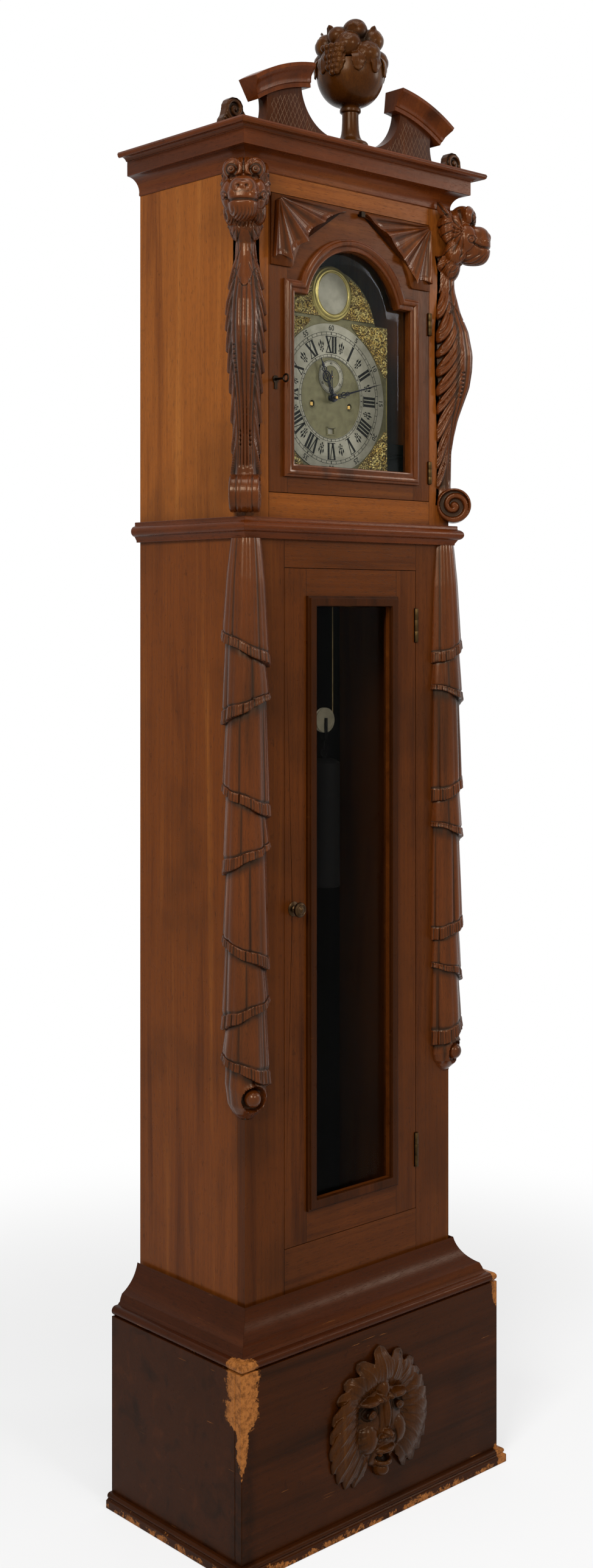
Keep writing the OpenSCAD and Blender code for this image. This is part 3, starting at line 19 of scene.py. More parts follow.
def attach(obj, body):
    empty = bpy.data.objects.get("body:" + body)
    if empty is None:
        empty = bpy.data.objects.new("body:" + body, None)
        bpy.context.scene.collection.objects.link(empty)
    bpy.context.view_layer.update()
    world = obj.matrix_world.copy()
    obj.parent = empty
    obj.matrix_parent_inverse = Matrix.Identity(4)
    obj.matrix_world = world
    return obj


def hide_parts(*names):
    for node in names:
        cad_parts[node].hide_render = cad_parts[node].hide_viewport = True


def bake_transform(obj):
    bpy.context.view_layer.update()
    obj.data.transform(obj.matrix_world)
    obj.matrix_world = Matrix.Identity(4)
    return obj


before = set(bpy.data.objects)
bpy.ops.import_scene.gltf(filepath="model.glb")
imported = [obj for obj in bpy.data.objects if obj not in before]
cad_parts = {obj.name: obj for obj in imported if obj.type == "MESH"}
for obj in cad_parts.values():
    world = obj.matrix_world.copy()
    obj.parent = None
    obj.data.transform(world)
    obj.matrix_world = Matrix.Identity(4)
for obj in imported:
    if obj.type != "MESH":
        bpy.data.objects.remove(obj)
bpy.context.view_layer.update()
MM = 0.001

logging.basicConfig(level=logging.INFO, format="%(message)s")
log = logging.getLogger("longcase")

Point = Sequence[float]


class Grain(Enum):
    """The way the grain runs along a board."""

    ACROSS = 0
    DEEP = 1
    UPRIGHT = 2


@dataclass(frozen=True)
class Layout:
    """Places of the case that several sub-assemblies share, in millimetres."""

    half: float = 245.0
    front: float = -103.0
    back: float = 177.0
    base_top: float = 328.0
    waist: float = 1664.0
    cornice: float = 2271.0
    top: float = 2338.5
    base_half: float = 307.0
    base_front: float = -165.0
    dial_y: float = -49.0
    dial_z: float = 1917.0


CASE = Layout()
RING_RISE = 1.5
SIDES = ((-1, "left"), (1, "right"))


def shade(red: int, green: int, blue: int) -> tuple[float, float, float, float]:
    """Turns a colour of 0 to 255 parts, as seen, into the shader's linear colour.

    Args:
        red: red part.
        green: green part.
        blue: blue part.

    Returns:
        The linear colour with full alpha.
    """
    parts = [c / 255 for c in (red, green, blue)]
    linear = [c / 12.92 if c <= 0.04045 else ((c + 0.055) / 1.055) ** 2.4 for c in parts]
    return (linear[0], linear[1], linear[2], 1.0)


class Value:
    """A shader socket that Python's operators work on."""

    def __init__(self, graph: "Graph", socket: bpy.types.NodeSocket) -> None:
        """Keeps the socket and the graph that it is part of."""
        self.graph = graph
        self.socket = socket

    def _math(self, kind: str, a: "Value | float", b: "Value | float" = 0.0) -> "Value":
        """Adds one Math node of the kind given."""
        return self.graph.add("ShaderNodeMath", {"operation": kind}, {0: a, 1: b})

    def __add__(self, other: "Value | float") -> "Value":
        """This plus other."""
        return self._math("ADD", self, other)

    def __radd__(self, other: float) -> "Value":
        """Other plus this."""
        return self._math("ADD", other, self)

    def __sub__(self, other: "Value | float") -> "Value":
        """This minus other."""
        return self._math("SUBTRACT", self, other)

    def __rsub__(self, other: float) -> "Value":
        """Other minus this."""
        return self._math("SUBTRACT", other, self)

    def __mul__(self, other: "Value | float") -> "Value":
        """This times other."""
        return self._math("MULTIPLY", self, other)

    def __rmul__(self, other: float) -> "Value":
        """Other times this."""
        return self._math("MULTIPLY", other, self)

    def __abs__(self) -> "Value":
        """The size of this without its sign."""
        return self._math("ABSOLUTE", self)

    def most(self, other: "Value | float") -> "Value":
        """The larger of this and other."""
        return self._math("MAXIMUM", self, other)

    def least(self, other: "Value | float") -> "Value":
        """The smaller of this and other."""
        return self._math("MINIMUM", self, other)

    def rise(self, low: float, high: float) -> "Value":
        """A soft step.

        Args:
            low: where it is 0.
            high: where it is 1, below low for a step down.

        Returns:
            The step.
        """
        if low > high:
            return 1.0 - self.rise(high, low)
        return self.graph.add("ShaderNodeMapRange", {"interpolation_type": "SMOOTHSTEP"},
                              {"Value": self, "From Min": low, "From Max": high})


class Graph:
    """The node tree of one material, written as expressions."""

    def __init__(self, name: str) -> None:
        """Starts an empty material.

        Args:
            name: name of the finish.
        """
        self.material = bpy.data.materials.new(name)
        self.material.use_nodes = True
        self.tree = self.material.node_tree
        self.tree.nodes.clear()
        self._place: Value | None = None

    def add(self, kind: str, settings: dict | None = None, inputs: dict | None = None,
            out: int | str = 0) -> Value:
        """Adds a node of any type.

        Args:
            kind: the node's type name.
            settings: its own settings, with a ramp's stops under "stops".
            inputs: numbers, colours or values by socket name or number.
            out: the output socket that is wanted.

        Returns:
            The output as a value.
        """
        node = self.tree.nodes.new(kind)
        for key, setting in (settings or {}).items():
            if key == "stops":
                ramp = node.color_ramp
                while len(ramp.elements) < len(setting):
                    ramp.elements.new(0.5)
                for element, (spot, colour) in zip(ramp.elements, setting):
                    element.position = spot
                    element.color = colour
            else:
                setattr(node, key, setting)
        for key, given in (inputs or {}).items():
            socket = node.inputs[key]
            if isinstance(given, Value):
                self.tree.links.new(given.socket, socket)
            else:
                socket.default_value = given
        return Value(self, node.outputs[out])

    def place(self) -> Value:
        """Where a point of the piece is, from a node that is made once.

        Returns:
            The place in metres.
        """
        if self._place is None:
            self._place = self.add("ShaderNodeTexCoord", out="Object")
        return self._place

    def axis(self, which: int) -> Value:
        """One part of the place, 0 for across, 1 for deep and 2 for up."""
        return self.add("ShaderNodeSeparateXYZ", inputs={0: self.place()}, out=which)

    def stretch(self, scale: Point, shift: Point = (0, 0, 0), turn: Point = (0, 0, 0)) -> Value:
        """Scales, shifts and turns the place.

        Args:
            scale: three factors.
            shift: three distances in metres.
            turn: three angles in radians.

        Returns:
            The new place.
        """
        return self.add("ShaderNodeMapping", None,
                        {"Vector": self.place(), "Scale": scale, "Location": shift,
                         "Rotation": turn})

    def noise(self, vector: Value, scale: float, detail: float = 2.0, rough: float = 0.5,
              twist: float = 0.0) -> Value:
        """Cloudy noise.

        Args:
            vector: where it is read.
            scale: how fine it is.
            detail: how many finer layers it has.
            rough: how strong those are.
            twist: how far it is distorted.

        Returns:
            The noise, from 0 to 1.
        """
        return self.add("ShaderNodeTexNoise", None,
                        {"Vector": vector, "Scale": scale, "Detail": detail, "Roughness": rough,
                         "Distortion": twist})

    def cells(self, vector: Value, scale: float, feature: str = "F1") -> Value:
        """Distance to the nearest of many scattered points."""
        return self.add("ShaderNodeTexVoronoi", {"feature": feature},
                        {"Vector": vector, "Scale": scale})

    def mix(self, share: Value | float, a: Value | Point, b: Value | Point,
            blend: str = "MIX") -> Value:
        """Mixes two colours."""
        return self.add("ShaderNodeMix", {"data_type": "RGBA", "blend_type": blend},
                        {0: share, 6: a, 7: b}, out=2)

    def ramp(self, share: Value, stops: list) -> Value:
        """Colours along a ramp."""
        return self.add("ShaderNodeValToRGB", {"stops": stops}, {0: share})

    def marked(self, name: str) -> Value:
        """A number kept on the piece's own points, among them its painted shade, its rub and
        painted highlight and its glass bevel.
        """
        return self.add("ShaderNodeAttribute", {"attribute_name": name}, out="Fac")

    def ray(self, kind: str) -> Value:
        """Whether the ray is of a kind, such as Camera."""
        return self.add("ShaderNodeLightPath", out=f"Is {kind} Ray")

    def bump(self, height: Value, depth_mm: float, strength: float = 1.0,
             under: Value | None = None) -> Value:
        """A bump in the surface.

        Args:
            height: its height, from 0 to 1.
            depth_mm: how high 1 is, in millimetres.
            strength: its share.
            under: the normal that it is laid over.

        Returns:
            The bumped normal.
        """
        inputs: dict = {"Height": height, "Distance": depth_mm * MM, "Strength": strength}
        if under is not None:
            inputs["Normal"] = under
        return self.add("ShaderNodeBump", None, inputs)

    def surface(self, colour: Value | Point, rough: Value | float, metal: Value | float = 0.0,
                normal: Value | None = None, **sockets: Value | float | Point
                ) -> bpy.types.Material:
        """Ends the material in a Principled shader.

        Args:
            colour: base colour.
            rough: roughness.
            metal: metallic share.
            normal: bumped normal, if any.
            sockets: any other socket, with an underscore for each space.

        Returns:
            The finished material.
        """
        inputs: dict = {"Base Color": colour, "Roughness": rough, "Metallic": metal}
        inputs.update({key.replace("_", " "): given for key, given in sockets.items()})
        if normal is not None:
            inputs["Normal"] = normal
        shader = self.add("ShaderNodeBsdfPrincipled", None, inputs)
        end = self.tree.nodes.new("ShaderNodeOutputMaterial")
        self.tree.links.new(shader.socket, end.inputs["Surface"])
        return self.material


class Finish:
    """A finish that makes each of its materials once."""

    made: dict[str, bpy.types.Material] = {}

    def material(self, grain: Grain = Grain.UPRIGHT) -> bpy.types.Material:
        """The material for one run of the grain.

        Args:
            grain: the way of the grain.

        Returns:
            The material.
        """
        key = f"{getattr(self, 'name')}_{grain.name.lower()}"
        if key not in Finish.made:
            Finish.made[key] = self.mix(Graph(key), grain)
        return Finish.made[key]

    def mix(self, graph: Graph, grain: Grain) -> bpy.types.Material:
        """Writes the material. Each finish has its own."""
        raise NotImplementedError


@dataclass(frozen=True)
class Wood(Finish):
    """Varnished wood with its grain, pores, stains and worn places, with painted shade in its
    marked hollows and inside faces and painted highlight on rubbed high places.
    """

    name: str
    light: Point
    dark: Point
    streak: Point
    # hollow: the colour of pores, joints and stains, and of the painted shade in hollows.
    hollow: Point
    gloss: float = 0.34
    coat: float = 0.0
    shine: float = 0.07
    figure: float = 1.0
    crossed: float = 0.0
    # inner: half width inside which the boards' inside faces take painted shade.
    inner: float = 0.0
    seed: float = 0.0
    wear: bool = False

    def figure_of(self, g: Graph, along: int) -> tuple[Value, Value]:
        """The board's figure.

        Args:
            g: the graph.
            along: the axis that the grain runs along.

        Returns:
            The colour and the height of the grain.
        """
        shift = (self.seed, self.seed * 0.7, self.seed * 1.3)
        slow = [1.0, 1.0, 1.0]
        slow[along] = 0.055
        slower = [1.0, 1.0, 1.0]
        slower[along] = 0.012
        broad = g.noise(g.stretch(slow, shift), 24.0, 4.0, 0.55, 0.6)
        lines = g.noise(g.stretch(slower, shift), 210.0, 3.0, 0.6)
        fine = g.noise(g.stretch(slower), 900.0, 2.0, 0.5)
        pores = g.noise(g.stretch(slow), 1250.0, 1.0, 0.4)
        bands = g.ramp(broad, [(0.28, self.dark), (0.46, self.light), (0.58, self.light),
                               (0.76, self.streak)])
        colour = g.mix((lines.rise(0.36, 0.7)) * (0.5 * self.figure), bands, self.dark)
        colour = g.mix(fine.rise(0.5, 0.75) * (0.22 * self.figure), colour, self.streak)
        pore = pores.rise(0.6, 0.7)
        colour = g.mix(pore * 0.45, colour, self.hollow)
        return colour, lines * 0.35 + fine * 0.3 - pore * 0.5

    def mix(self, graph: Graph, grain: Grain) -> bpy.types.Material:
        """Writes the wood.

        Args:
            graph: the empty graph.
            grain: the way of the grain.

        Returns:
            The material.
        """
        g = graph
        colour, height = self.figure_of(g, grain.value)
        place = g.place()
        if self.crossed:
            rail, rail_height = self.figure_of(g, Grain.ACROSS.value)
            off = abs(g.axis(0)) - self.crossed * MM
            stile = off.rise(-0.00005, 0.00005)
            colour = g.mix(stile, rail, colour)
            height = rail_height * (1.0 - stile) + height * stile
            colour = g.mix(abs(off).rise(0.0007, 0.0002) * 0.75, colour, self.hollow)
        clouds = g.noise(place, 4.2, 3.0, 0.6)
        colour = g.mix(clouds.rise(0.45, 0.72) * 0.35, colour, self.hollow)
        marks = g.noise(place, 46.0, 3.0, 0.65)
        colour = g.mix(marks.rise(0.66, 0.74) * 0.3, colour, self.hollow)
        # Painted shade: the hollows that a piece marks are darkened towards the hollow colour.
        deep = g.marked("hollow")
        colour = g.mix(deep.rise(0.05, 0.9) * 0.86, colour, self.hollow)
        # Rubbed high places are lightened: partly wear, partly painted highlight.
        high = g.marked("rub")
        colour = g.mix(high.rise(0.2, 1.0) * 0.3, colour, self.light)
        if self.wear:
            colour = self.scuffed(g, colour)
        # Painted shade: inside the case the boards' inner faces are darkened almost to black.
        if self.inner:
            inside = abs(g.axis(0)).rise(self.inner * MM, self.inner * MM - 0.0004)
            inside = inside * g.axis(1).rise(-0.0995, -0.099)
            colour = g.mix(inside * 0.93, colour, shade(26, 17, 11))
        rough = self.gloss + marks * 0.16 + deep * 0.3 - 0.08
        normal = g.bump(height, 0.16, 0.55)
        dents = g.noise(place, 17.0, 2.0, 0.5)
        normal = g.bump(dents, 0.9, 0.35, normal)
        return g.surface(colour, rough, 0.0, normal, Coat_Weight=self.coat, Coat_Roughness=0.14,
                         Specular_IOR_Level=self.shine, Specular_Tint=(1.0, 0.7, 0.45, 1.0))

    def scuffed(self, g: Graph, colour: Value) -> Value:
        """Lays bare and scuffed places over the corners of the base.

        Args:
            g: the graph.
            colour: the colour of the sound wood.

        Returns:
            The new colour.
        """
        x, y, z = g.axis(0), g.axis(1), g.axis(2)
        torn = g.noise(g.place(), 34.0, 6.0, 0.78)
        fibres = g.noise(g.place(), 110.0, 5.0, 0.8)
        corner = (x + CASE.base_half * MM).most(y - CASE.base_front * MM)
        near = corner.rise(0.064, 0.0) * z.rise(0.212, 0.262) * z.rise(0.352, 0.342)
        streak = corner.rise(0.026, 0.0) * z.rise(0.13, 0.2) * 0.85
        right = x.rise(0.286, 0.304) * (z.rise(0.05, 0.01) * 0.7 + z.rise(0.27, 0.312)).least(1.0)
        right = right * z.rise(0.352, 0.342)
        foot = z.rise(0.026, 0.004) * 0.42
        place = near.most(streak).most(right).most(foot)
        marked = (place + torn * 1.5 + fibres * 0.12 - 0.98).rise(0.2, 0.3)
        bare = g.mix(fibres.rise(0.4, 0.65), shade(166, 104, 50), shade(112, 66, 28))
        soot = (corner.rise(0.05, 0.004) * z.rise(0.3, 0.2)).rise(0.1, 0.9) * 0.6
        colour = g.mix(soot * torn.rise(0.3, 0.6), colour, self.hollow)
        lines = g.noise(g.stretch((0.05, 0.05, 1.0), turn=(0.0, 0.35, 0.3)), 240.0, 2.0, 0.5)
        few = g.noise(g.place(), 7.0, 2.0, 0.5)
        colour = g.mix(lines.rise(0.715, 0.74) * few.rise(0.5, 0.6) * 0.4, colour, bare)
        return g.mix(marked * 0.9, colour, bare)


@dataclass(frozen=True)
class Metal(Finish):
    """Brass, steel or silvered brass, with its tarnish and the marks of its making."""

    name: str
    bright: Point
    dull: Point
    pit: Point
    gloss: float = 0.3
    metal: float = 1.0
    tarnish: float = 0.5
    grain_scale: float = 60.0
    pitted: float = 0.0

    def mix(self, graph: Graph, grain: Grain) -> bpy.types.Material:
        """Writes the metal.

        Args:
            graph: the empty graph.
            grain: the way of the grain.

        Returns:
            The material.
        """
        g = graph
        place = g.place()
        cloud = g.noise(place, self.grain_scale, 4.0, 0.62)
        spots = g.noise(place, 420.0, 2.0, 0.6)
        colour = g.mix(cloud.rise(0.35, 0.7) * self.tarnish, self.bright, self.dull)
        colour = g.mix(spots.rise(0.62, 0.78) * 0.35, colour, self.pit)
        # Painted shade: the hollows that a piece marks are darkened towards the pit colour.
        deep = g.marked("hollow")
        colour = g.mix(deep.rise(0.05, 0.95) * 0.85, colour, self.pit)
        slow = [1.0, 1.0, 1.0]
        slow[grain.value] = 0.03
        brushed = g.noise(g.stretch(slow), 1500.0, 2.0, 0.5)
        rough = self.gloss + cloud * 0.22 + deep * 0.25 - 0.08 + brushed * 0.06
        normal = g.bump(brushed, 0.03, 0.4)
        if self.pitted:
            normal = g.bump(g.noise(place, 1900.0, 2.0, 0.6), self.pitted, 0.9, normal)
        return g.surface(colour, rough, self.metal, normal)


@dataclass(frozen=True)
class Glaze(Finish):
    """Clear glass with a faint cast and a little dust; its denser bevel, and a dark dense body, are
    painted shade.
    """

    name: str
    cast: Point
    body: float = 0.12
    shine: float = 0.3

    def mix(self, graph: Graph, grain: Grain) -> bpy.types.Material:
        """Writes the glass.

        Args:
            graph: the empty graph.
            grain: the way of the grain, which doesn't show here.

        Returns:
            The material.
        """
        g = graph
        dust = g.noise(g.place(), 9.0, 4.0, 0.6)
        smear = g.noise(g.stretch((1, 1, 0.3), turn=(0, 0.5, 0)), 14.0, 3.0, 0.6)
        # The bevel is drawn denser than the flat glass: painted shade and reflection that stand for
        # the light the bevel bends.
        cut = g.marked("bevel")
        alpha = dust.rise(0.5, 0.85) * 0.03 + self.body + cut * 0.22
        material = g.surface(self.cast, smear * 0.06 + 0.03, 0.0, None, Alpha=alpha,
                             IOR=1.5, Specular_IOR_Level=self.shine)
        material.surface_render_method = "BLENDED"
        return material


@dataclass(frozen=True)
class Paint(Finish):
    """Black wax, cast iron, gut and other plain stuffs with a grain of their own."""

    name: str
    base: Point
    other: Point
    rough: float
    scale: float = 300.0
    depth: float = 0.1

    def mix(self, graph: Graph, grain: Grain) -> bpy.types.Material:
        """Writes the stuff.

        Args:
            graph: the empty graph.
            grain: the way of the grain, which doesn't show here.

        Returns:
            The material.
        """
        g = graph
        place = g.place()
        cloud = g.noise(place, self.scale * 0.2, 4.0, 0.6)
        tooth = g.noise(place, self.scale, 3.0, 0.6)
        colour = g.mix(cloud.rise(0.4, 0.7), self.base, self.other)
        # Painted shade: the hollows that a piece marks are darkened.
        colour = g.mix(g.marked("hollow") * 0.7, colour, shade(12, 9, 7))
        normal = g.bump(tooth, self.depth, 0.7)
        return g.surface(colour, cloud * 0.2 + (self.rough - 0.1), 0.0, normal,
                         Specular_IOR_Level=0.1)


@dataclass(frozen=True)
class Gilding(Finish):
    """Cast and gilt scrollwork over a matted ground, with painted shade in its low places and
    painted highlight on its high ones.
    """

    name: str = "gilding"

    def mix(self, graph: Graph, grain: Grain) -> bpy.types.Material:
        """Writes the gilding.

        Args:
            graph: the empty graph.
            grain: the way of the grain, which doesn't show here.

        Returns:
            The material.
        """
        g = graph
        place = g.place()
        warp = g.noise(place, 90.0, 2.0, 0.5)
        bent = g.add("ShaderNodeVectorMath", {"operation": "ADD"},
                     {0: place, 1: g.add("ShaderNodeVectorMath", {"operation": "SCALE"},
                                         {0: g.add("ShaderNodeTexNoise", None,
                                                   {"Vector": place, "Scale": 70.0,
                                                    "Detail": 2.0}, out="Color"),
                                          3: 0.012})})
        scroll = g.cells(bent, 210.0, "DISTANCE_TO_EDGE")
        curls = g.cells(bent, 430.0, "F1")
        high = (scroll.rise(0.03, 0.24) * 0.75 + curls.rise(0.7, 0.15) * 0.4).least(1.0)
        shape = g.marked("rub")
        high = high * 0.55 + shape * 0.6
        gold = g.mix(warp.rise(0.35, 0.65), shade(255, 236, 150), shade(232, 196, 96))
        # The low ground is dark, partly dull matted gilt and partly painted shade; the high places
        # are bright gold as painted highlight.
        colour = g.mix(high.rise(0.1, 0.6), shade(96, 72, 22), gold)
        normal = g.bump(high, 2.2, 1.0)
        return g.surface(colour, 0.42 - high * 0.2, 0.3, normal)


# From the hood down to the base the woods grow darker: partly their own stains, partly painted
# light, the high parts painted lit from above and the low parts in shade.
MAHOGANY = Wood("mahogany", shade(106, 54, 17), shade(72, 32, 7), shade(130, 74, 28),
                shade(30, 12, 3), gloss=0.3, figure=0.6, shine=0.09)
# Lighter copy for the hood: its own tone and painted light from above; inner gives its inside faces
# painted shade.
HOOD_BOARD = replace(MAHOGANY, name="hood_board", light=shade(138, 78, 29),
                     dark=shade(98, 49, 14), streak=shade(160, 98, 42), inner=229.8)
# inner gives the trunk sides' inside faces painted shade.
TRUNK_BOARD = replace(MAHOGANY, name="trunk_side", inner=229.2)
RED_BOARD = Wood("red_board", shade(80, 38, 9), shade(52, 20, 3), shade(104, 56, 17),
                 shade(14, 5, 1), gloss=0.3, figure=0.6, shine=0.09)
# Lighter copy of the front wood for the hood: its own tone and painted light from above.
HOOD_FRAME = replace(RED_BOARD, name="hood_frame", light=shade(120, 64, 20),
                     dark=shade(82, 38, 9), streak=shade(144, 84, 32))
# Darker wood of the base: its own stain and painted shade low down.
DARK_BOARD = Wood("dark_board", shade(52, 22, 4), shade(29, 10, 1), shade(68, 31, 7),
                  shade(8, 3, 1), gloss=0.3, figure=0.6, shine=0.07, wear=True)
CORNICE_WOOD = Wood("cornice_wood", shade(88, 39, 11), shade(54, 20, 4), shade(108, 56, 19),
                    shade(11, 4, 1), gloss=0.26, figure=0.5, shine=0.12)
# Darker copy for the base's cove: its own stain and painted shade low down.
COVE_WOOD = replace(CORNICE_WOOD, name="cove_wood", light=shade(58, 24, 7), wear=True,
                    dark=shade(35, 13, 3), streak=shade(74, 34, 10), shine=0.08)
CARVED = Wood("carved", shade(84, 38, 9), shade(48, 18, 3), shade(112, 58, 19),
              shade(7, 2, 1), gloss=0.2, coat=0.04, figure=0.6, shine=0.25)
CARVED_BOARD = replace(CARVED, name="carved_board", light=shade(58, 27, 12),
                       dark=shade(38, 16, 7), coat=0.0, shine=0.12)
DARK_CARVED = Wood("dark_carved", shade(60, 29, 5), shade(36, 15, 2), shade(98, 58, 16),
                   shade(6, 2, 1), gloss=0.26, coat=0.02, figure=0.6, shine=0.12)
SCRATCHED = Paint("scratched", shade(112, 84, 64), shade(88, 64, 46), 0.7, 500.0, 0.05)
# Near-black inside wood for the backboard and seatboard: dark old wood, darkened further as painted
# shade of the closed case.
INNER_SHADE_WOOD = Wood("inner_wood", shade(14, 11, 7), shade(9, 7, 4), shade(20, 15, 9),
                  shade(5, 4, 2), gloss=0.8, shine=0.02)
DIAL_BRASS = Metal("dial_brass", shade(128, 122, 84), shade(100, 95, 62), shade(54, 48, 30),
                   gloss=0.42, metal=0.4, tarnish=0.7, pitted=0.12)
MOUNT_BRASS = Metal("mount_brass", shade(188, 172, 100), shade(140, 128, 70), shade(54, 46, 24),
                    gloss=0.28, metal=0.7)
TRAIN_BRASS = Metal("train_brass", shade(196, 160, 88), shade(150, 118, 62), shade(56, 42, 22),
                    gloss=0.3)
OLD_BRASS = Metal("old_brass", shade(70, 52, 28), shade(40, 29, 17), shade(18, 13, 8),
                  gloss=0.36, tarnish=0.8)
DARK_STEEL = Metal("dark_steel", shade(40, 31, 22), shade(22, 17, 12), shade(10, 8, 6), gloss=0.4)
PULLEY = Metal("pulley", shade(176, 166, 138), shade(140, 130, 104), shade(60, 54, 40),
               gloss=0.4, metal=0.4)
KNOB_BRASS = Metal("knob_brass", shade(64, 46, 28), shade(38, 27, 17), shade(16, 11, 7),
                   gloss=0.3, tarnish=0.8)
SILVERED = Metal("silvered", shade(176, 172, 150), shade(148, 144, 122), shade(96, 92, 74),
                 gloss=0.4, metal=0.3, tarnish=0.8, grain_scale=34.0, pitted=0.05)
BLUED = Metal("blued", shade(44, 44, 52), shade(24, 24, 30), shade(10, 9, 10), gloss=0.28)
POLISHED = Metal("polished", shade(150, 150, 146), shade(110, 108, 102), shade(50, 48, 44),
                 gloss=0.25)
WAX = Paint("wax", shade(24, 24, 22), shade(34, 33, 30), 0.5, 800.0, 0.03)
IRON = Paint("iron", shade(13, 12, 10), shade(21, 18, 14), 0.7, 500.0, 0.25)
GUT = Paint("gut", shade(176, 152, 104), shade(140, 116, 74), 0.5, 900.0, 0.1)
HOOD_GLASS = Glaze("hood_glass", shade(14, 22, 20), 0.04)
# Near black and denser than the hood glass: painted shade over the inside of the trunk.
TRUNK_GLASS = Glaze("trunk_glass", shade(4, 5, 4), 0.14, 0.1)
GILT = Gilding()


def verts_of(made: Iterable) -> list[bmesh.types.BMVert]:
    """The vertices among what a bmesh operator made."""
    return [g for g in made if isinstance(g, bmesh.types.BMVert)]


def edges_among(made: Iterable, verts: Iterable[bmesh.types.BMVert]) -> list[bmesh.types.BMEdge]:
    """Picks the edges that a bmesh operator made between given vertices.

    Args:
        made: what the operator made.
        verts: the vertices.

    Returns:
        The edges.
    """
    held = set(verts)
    return [g for g in made if isinstance(g, bmesh.types.BMEdge)
            and g.verts[0] in held and g.verts[1] in held]


def linked(name: str, data: bpy.types.ID) -> bpy.types.Object:
    """Makes an object in the scene.

    Args:
        name: its name.
        data: its data.

    Returns:
        The object.
    """
    made = bpy.data.objects.new(name, data)
    bpy.context.scene.collection.objects.link(made)
    return made


def evaluated(shown: bpy.types.Object) -> bpy.types.Mesh:
    """Makes a mesh of what an object looks like with its modifiers on.

    Args:
        shown: the object.

    Returns:
        The new mesh.
    """
    bpy.context.view_layer.update()
    return bpy.data.meshes.new_from_object(shown.evaluated_get(
        bpy.context.evaluated_depsgraph_get()))


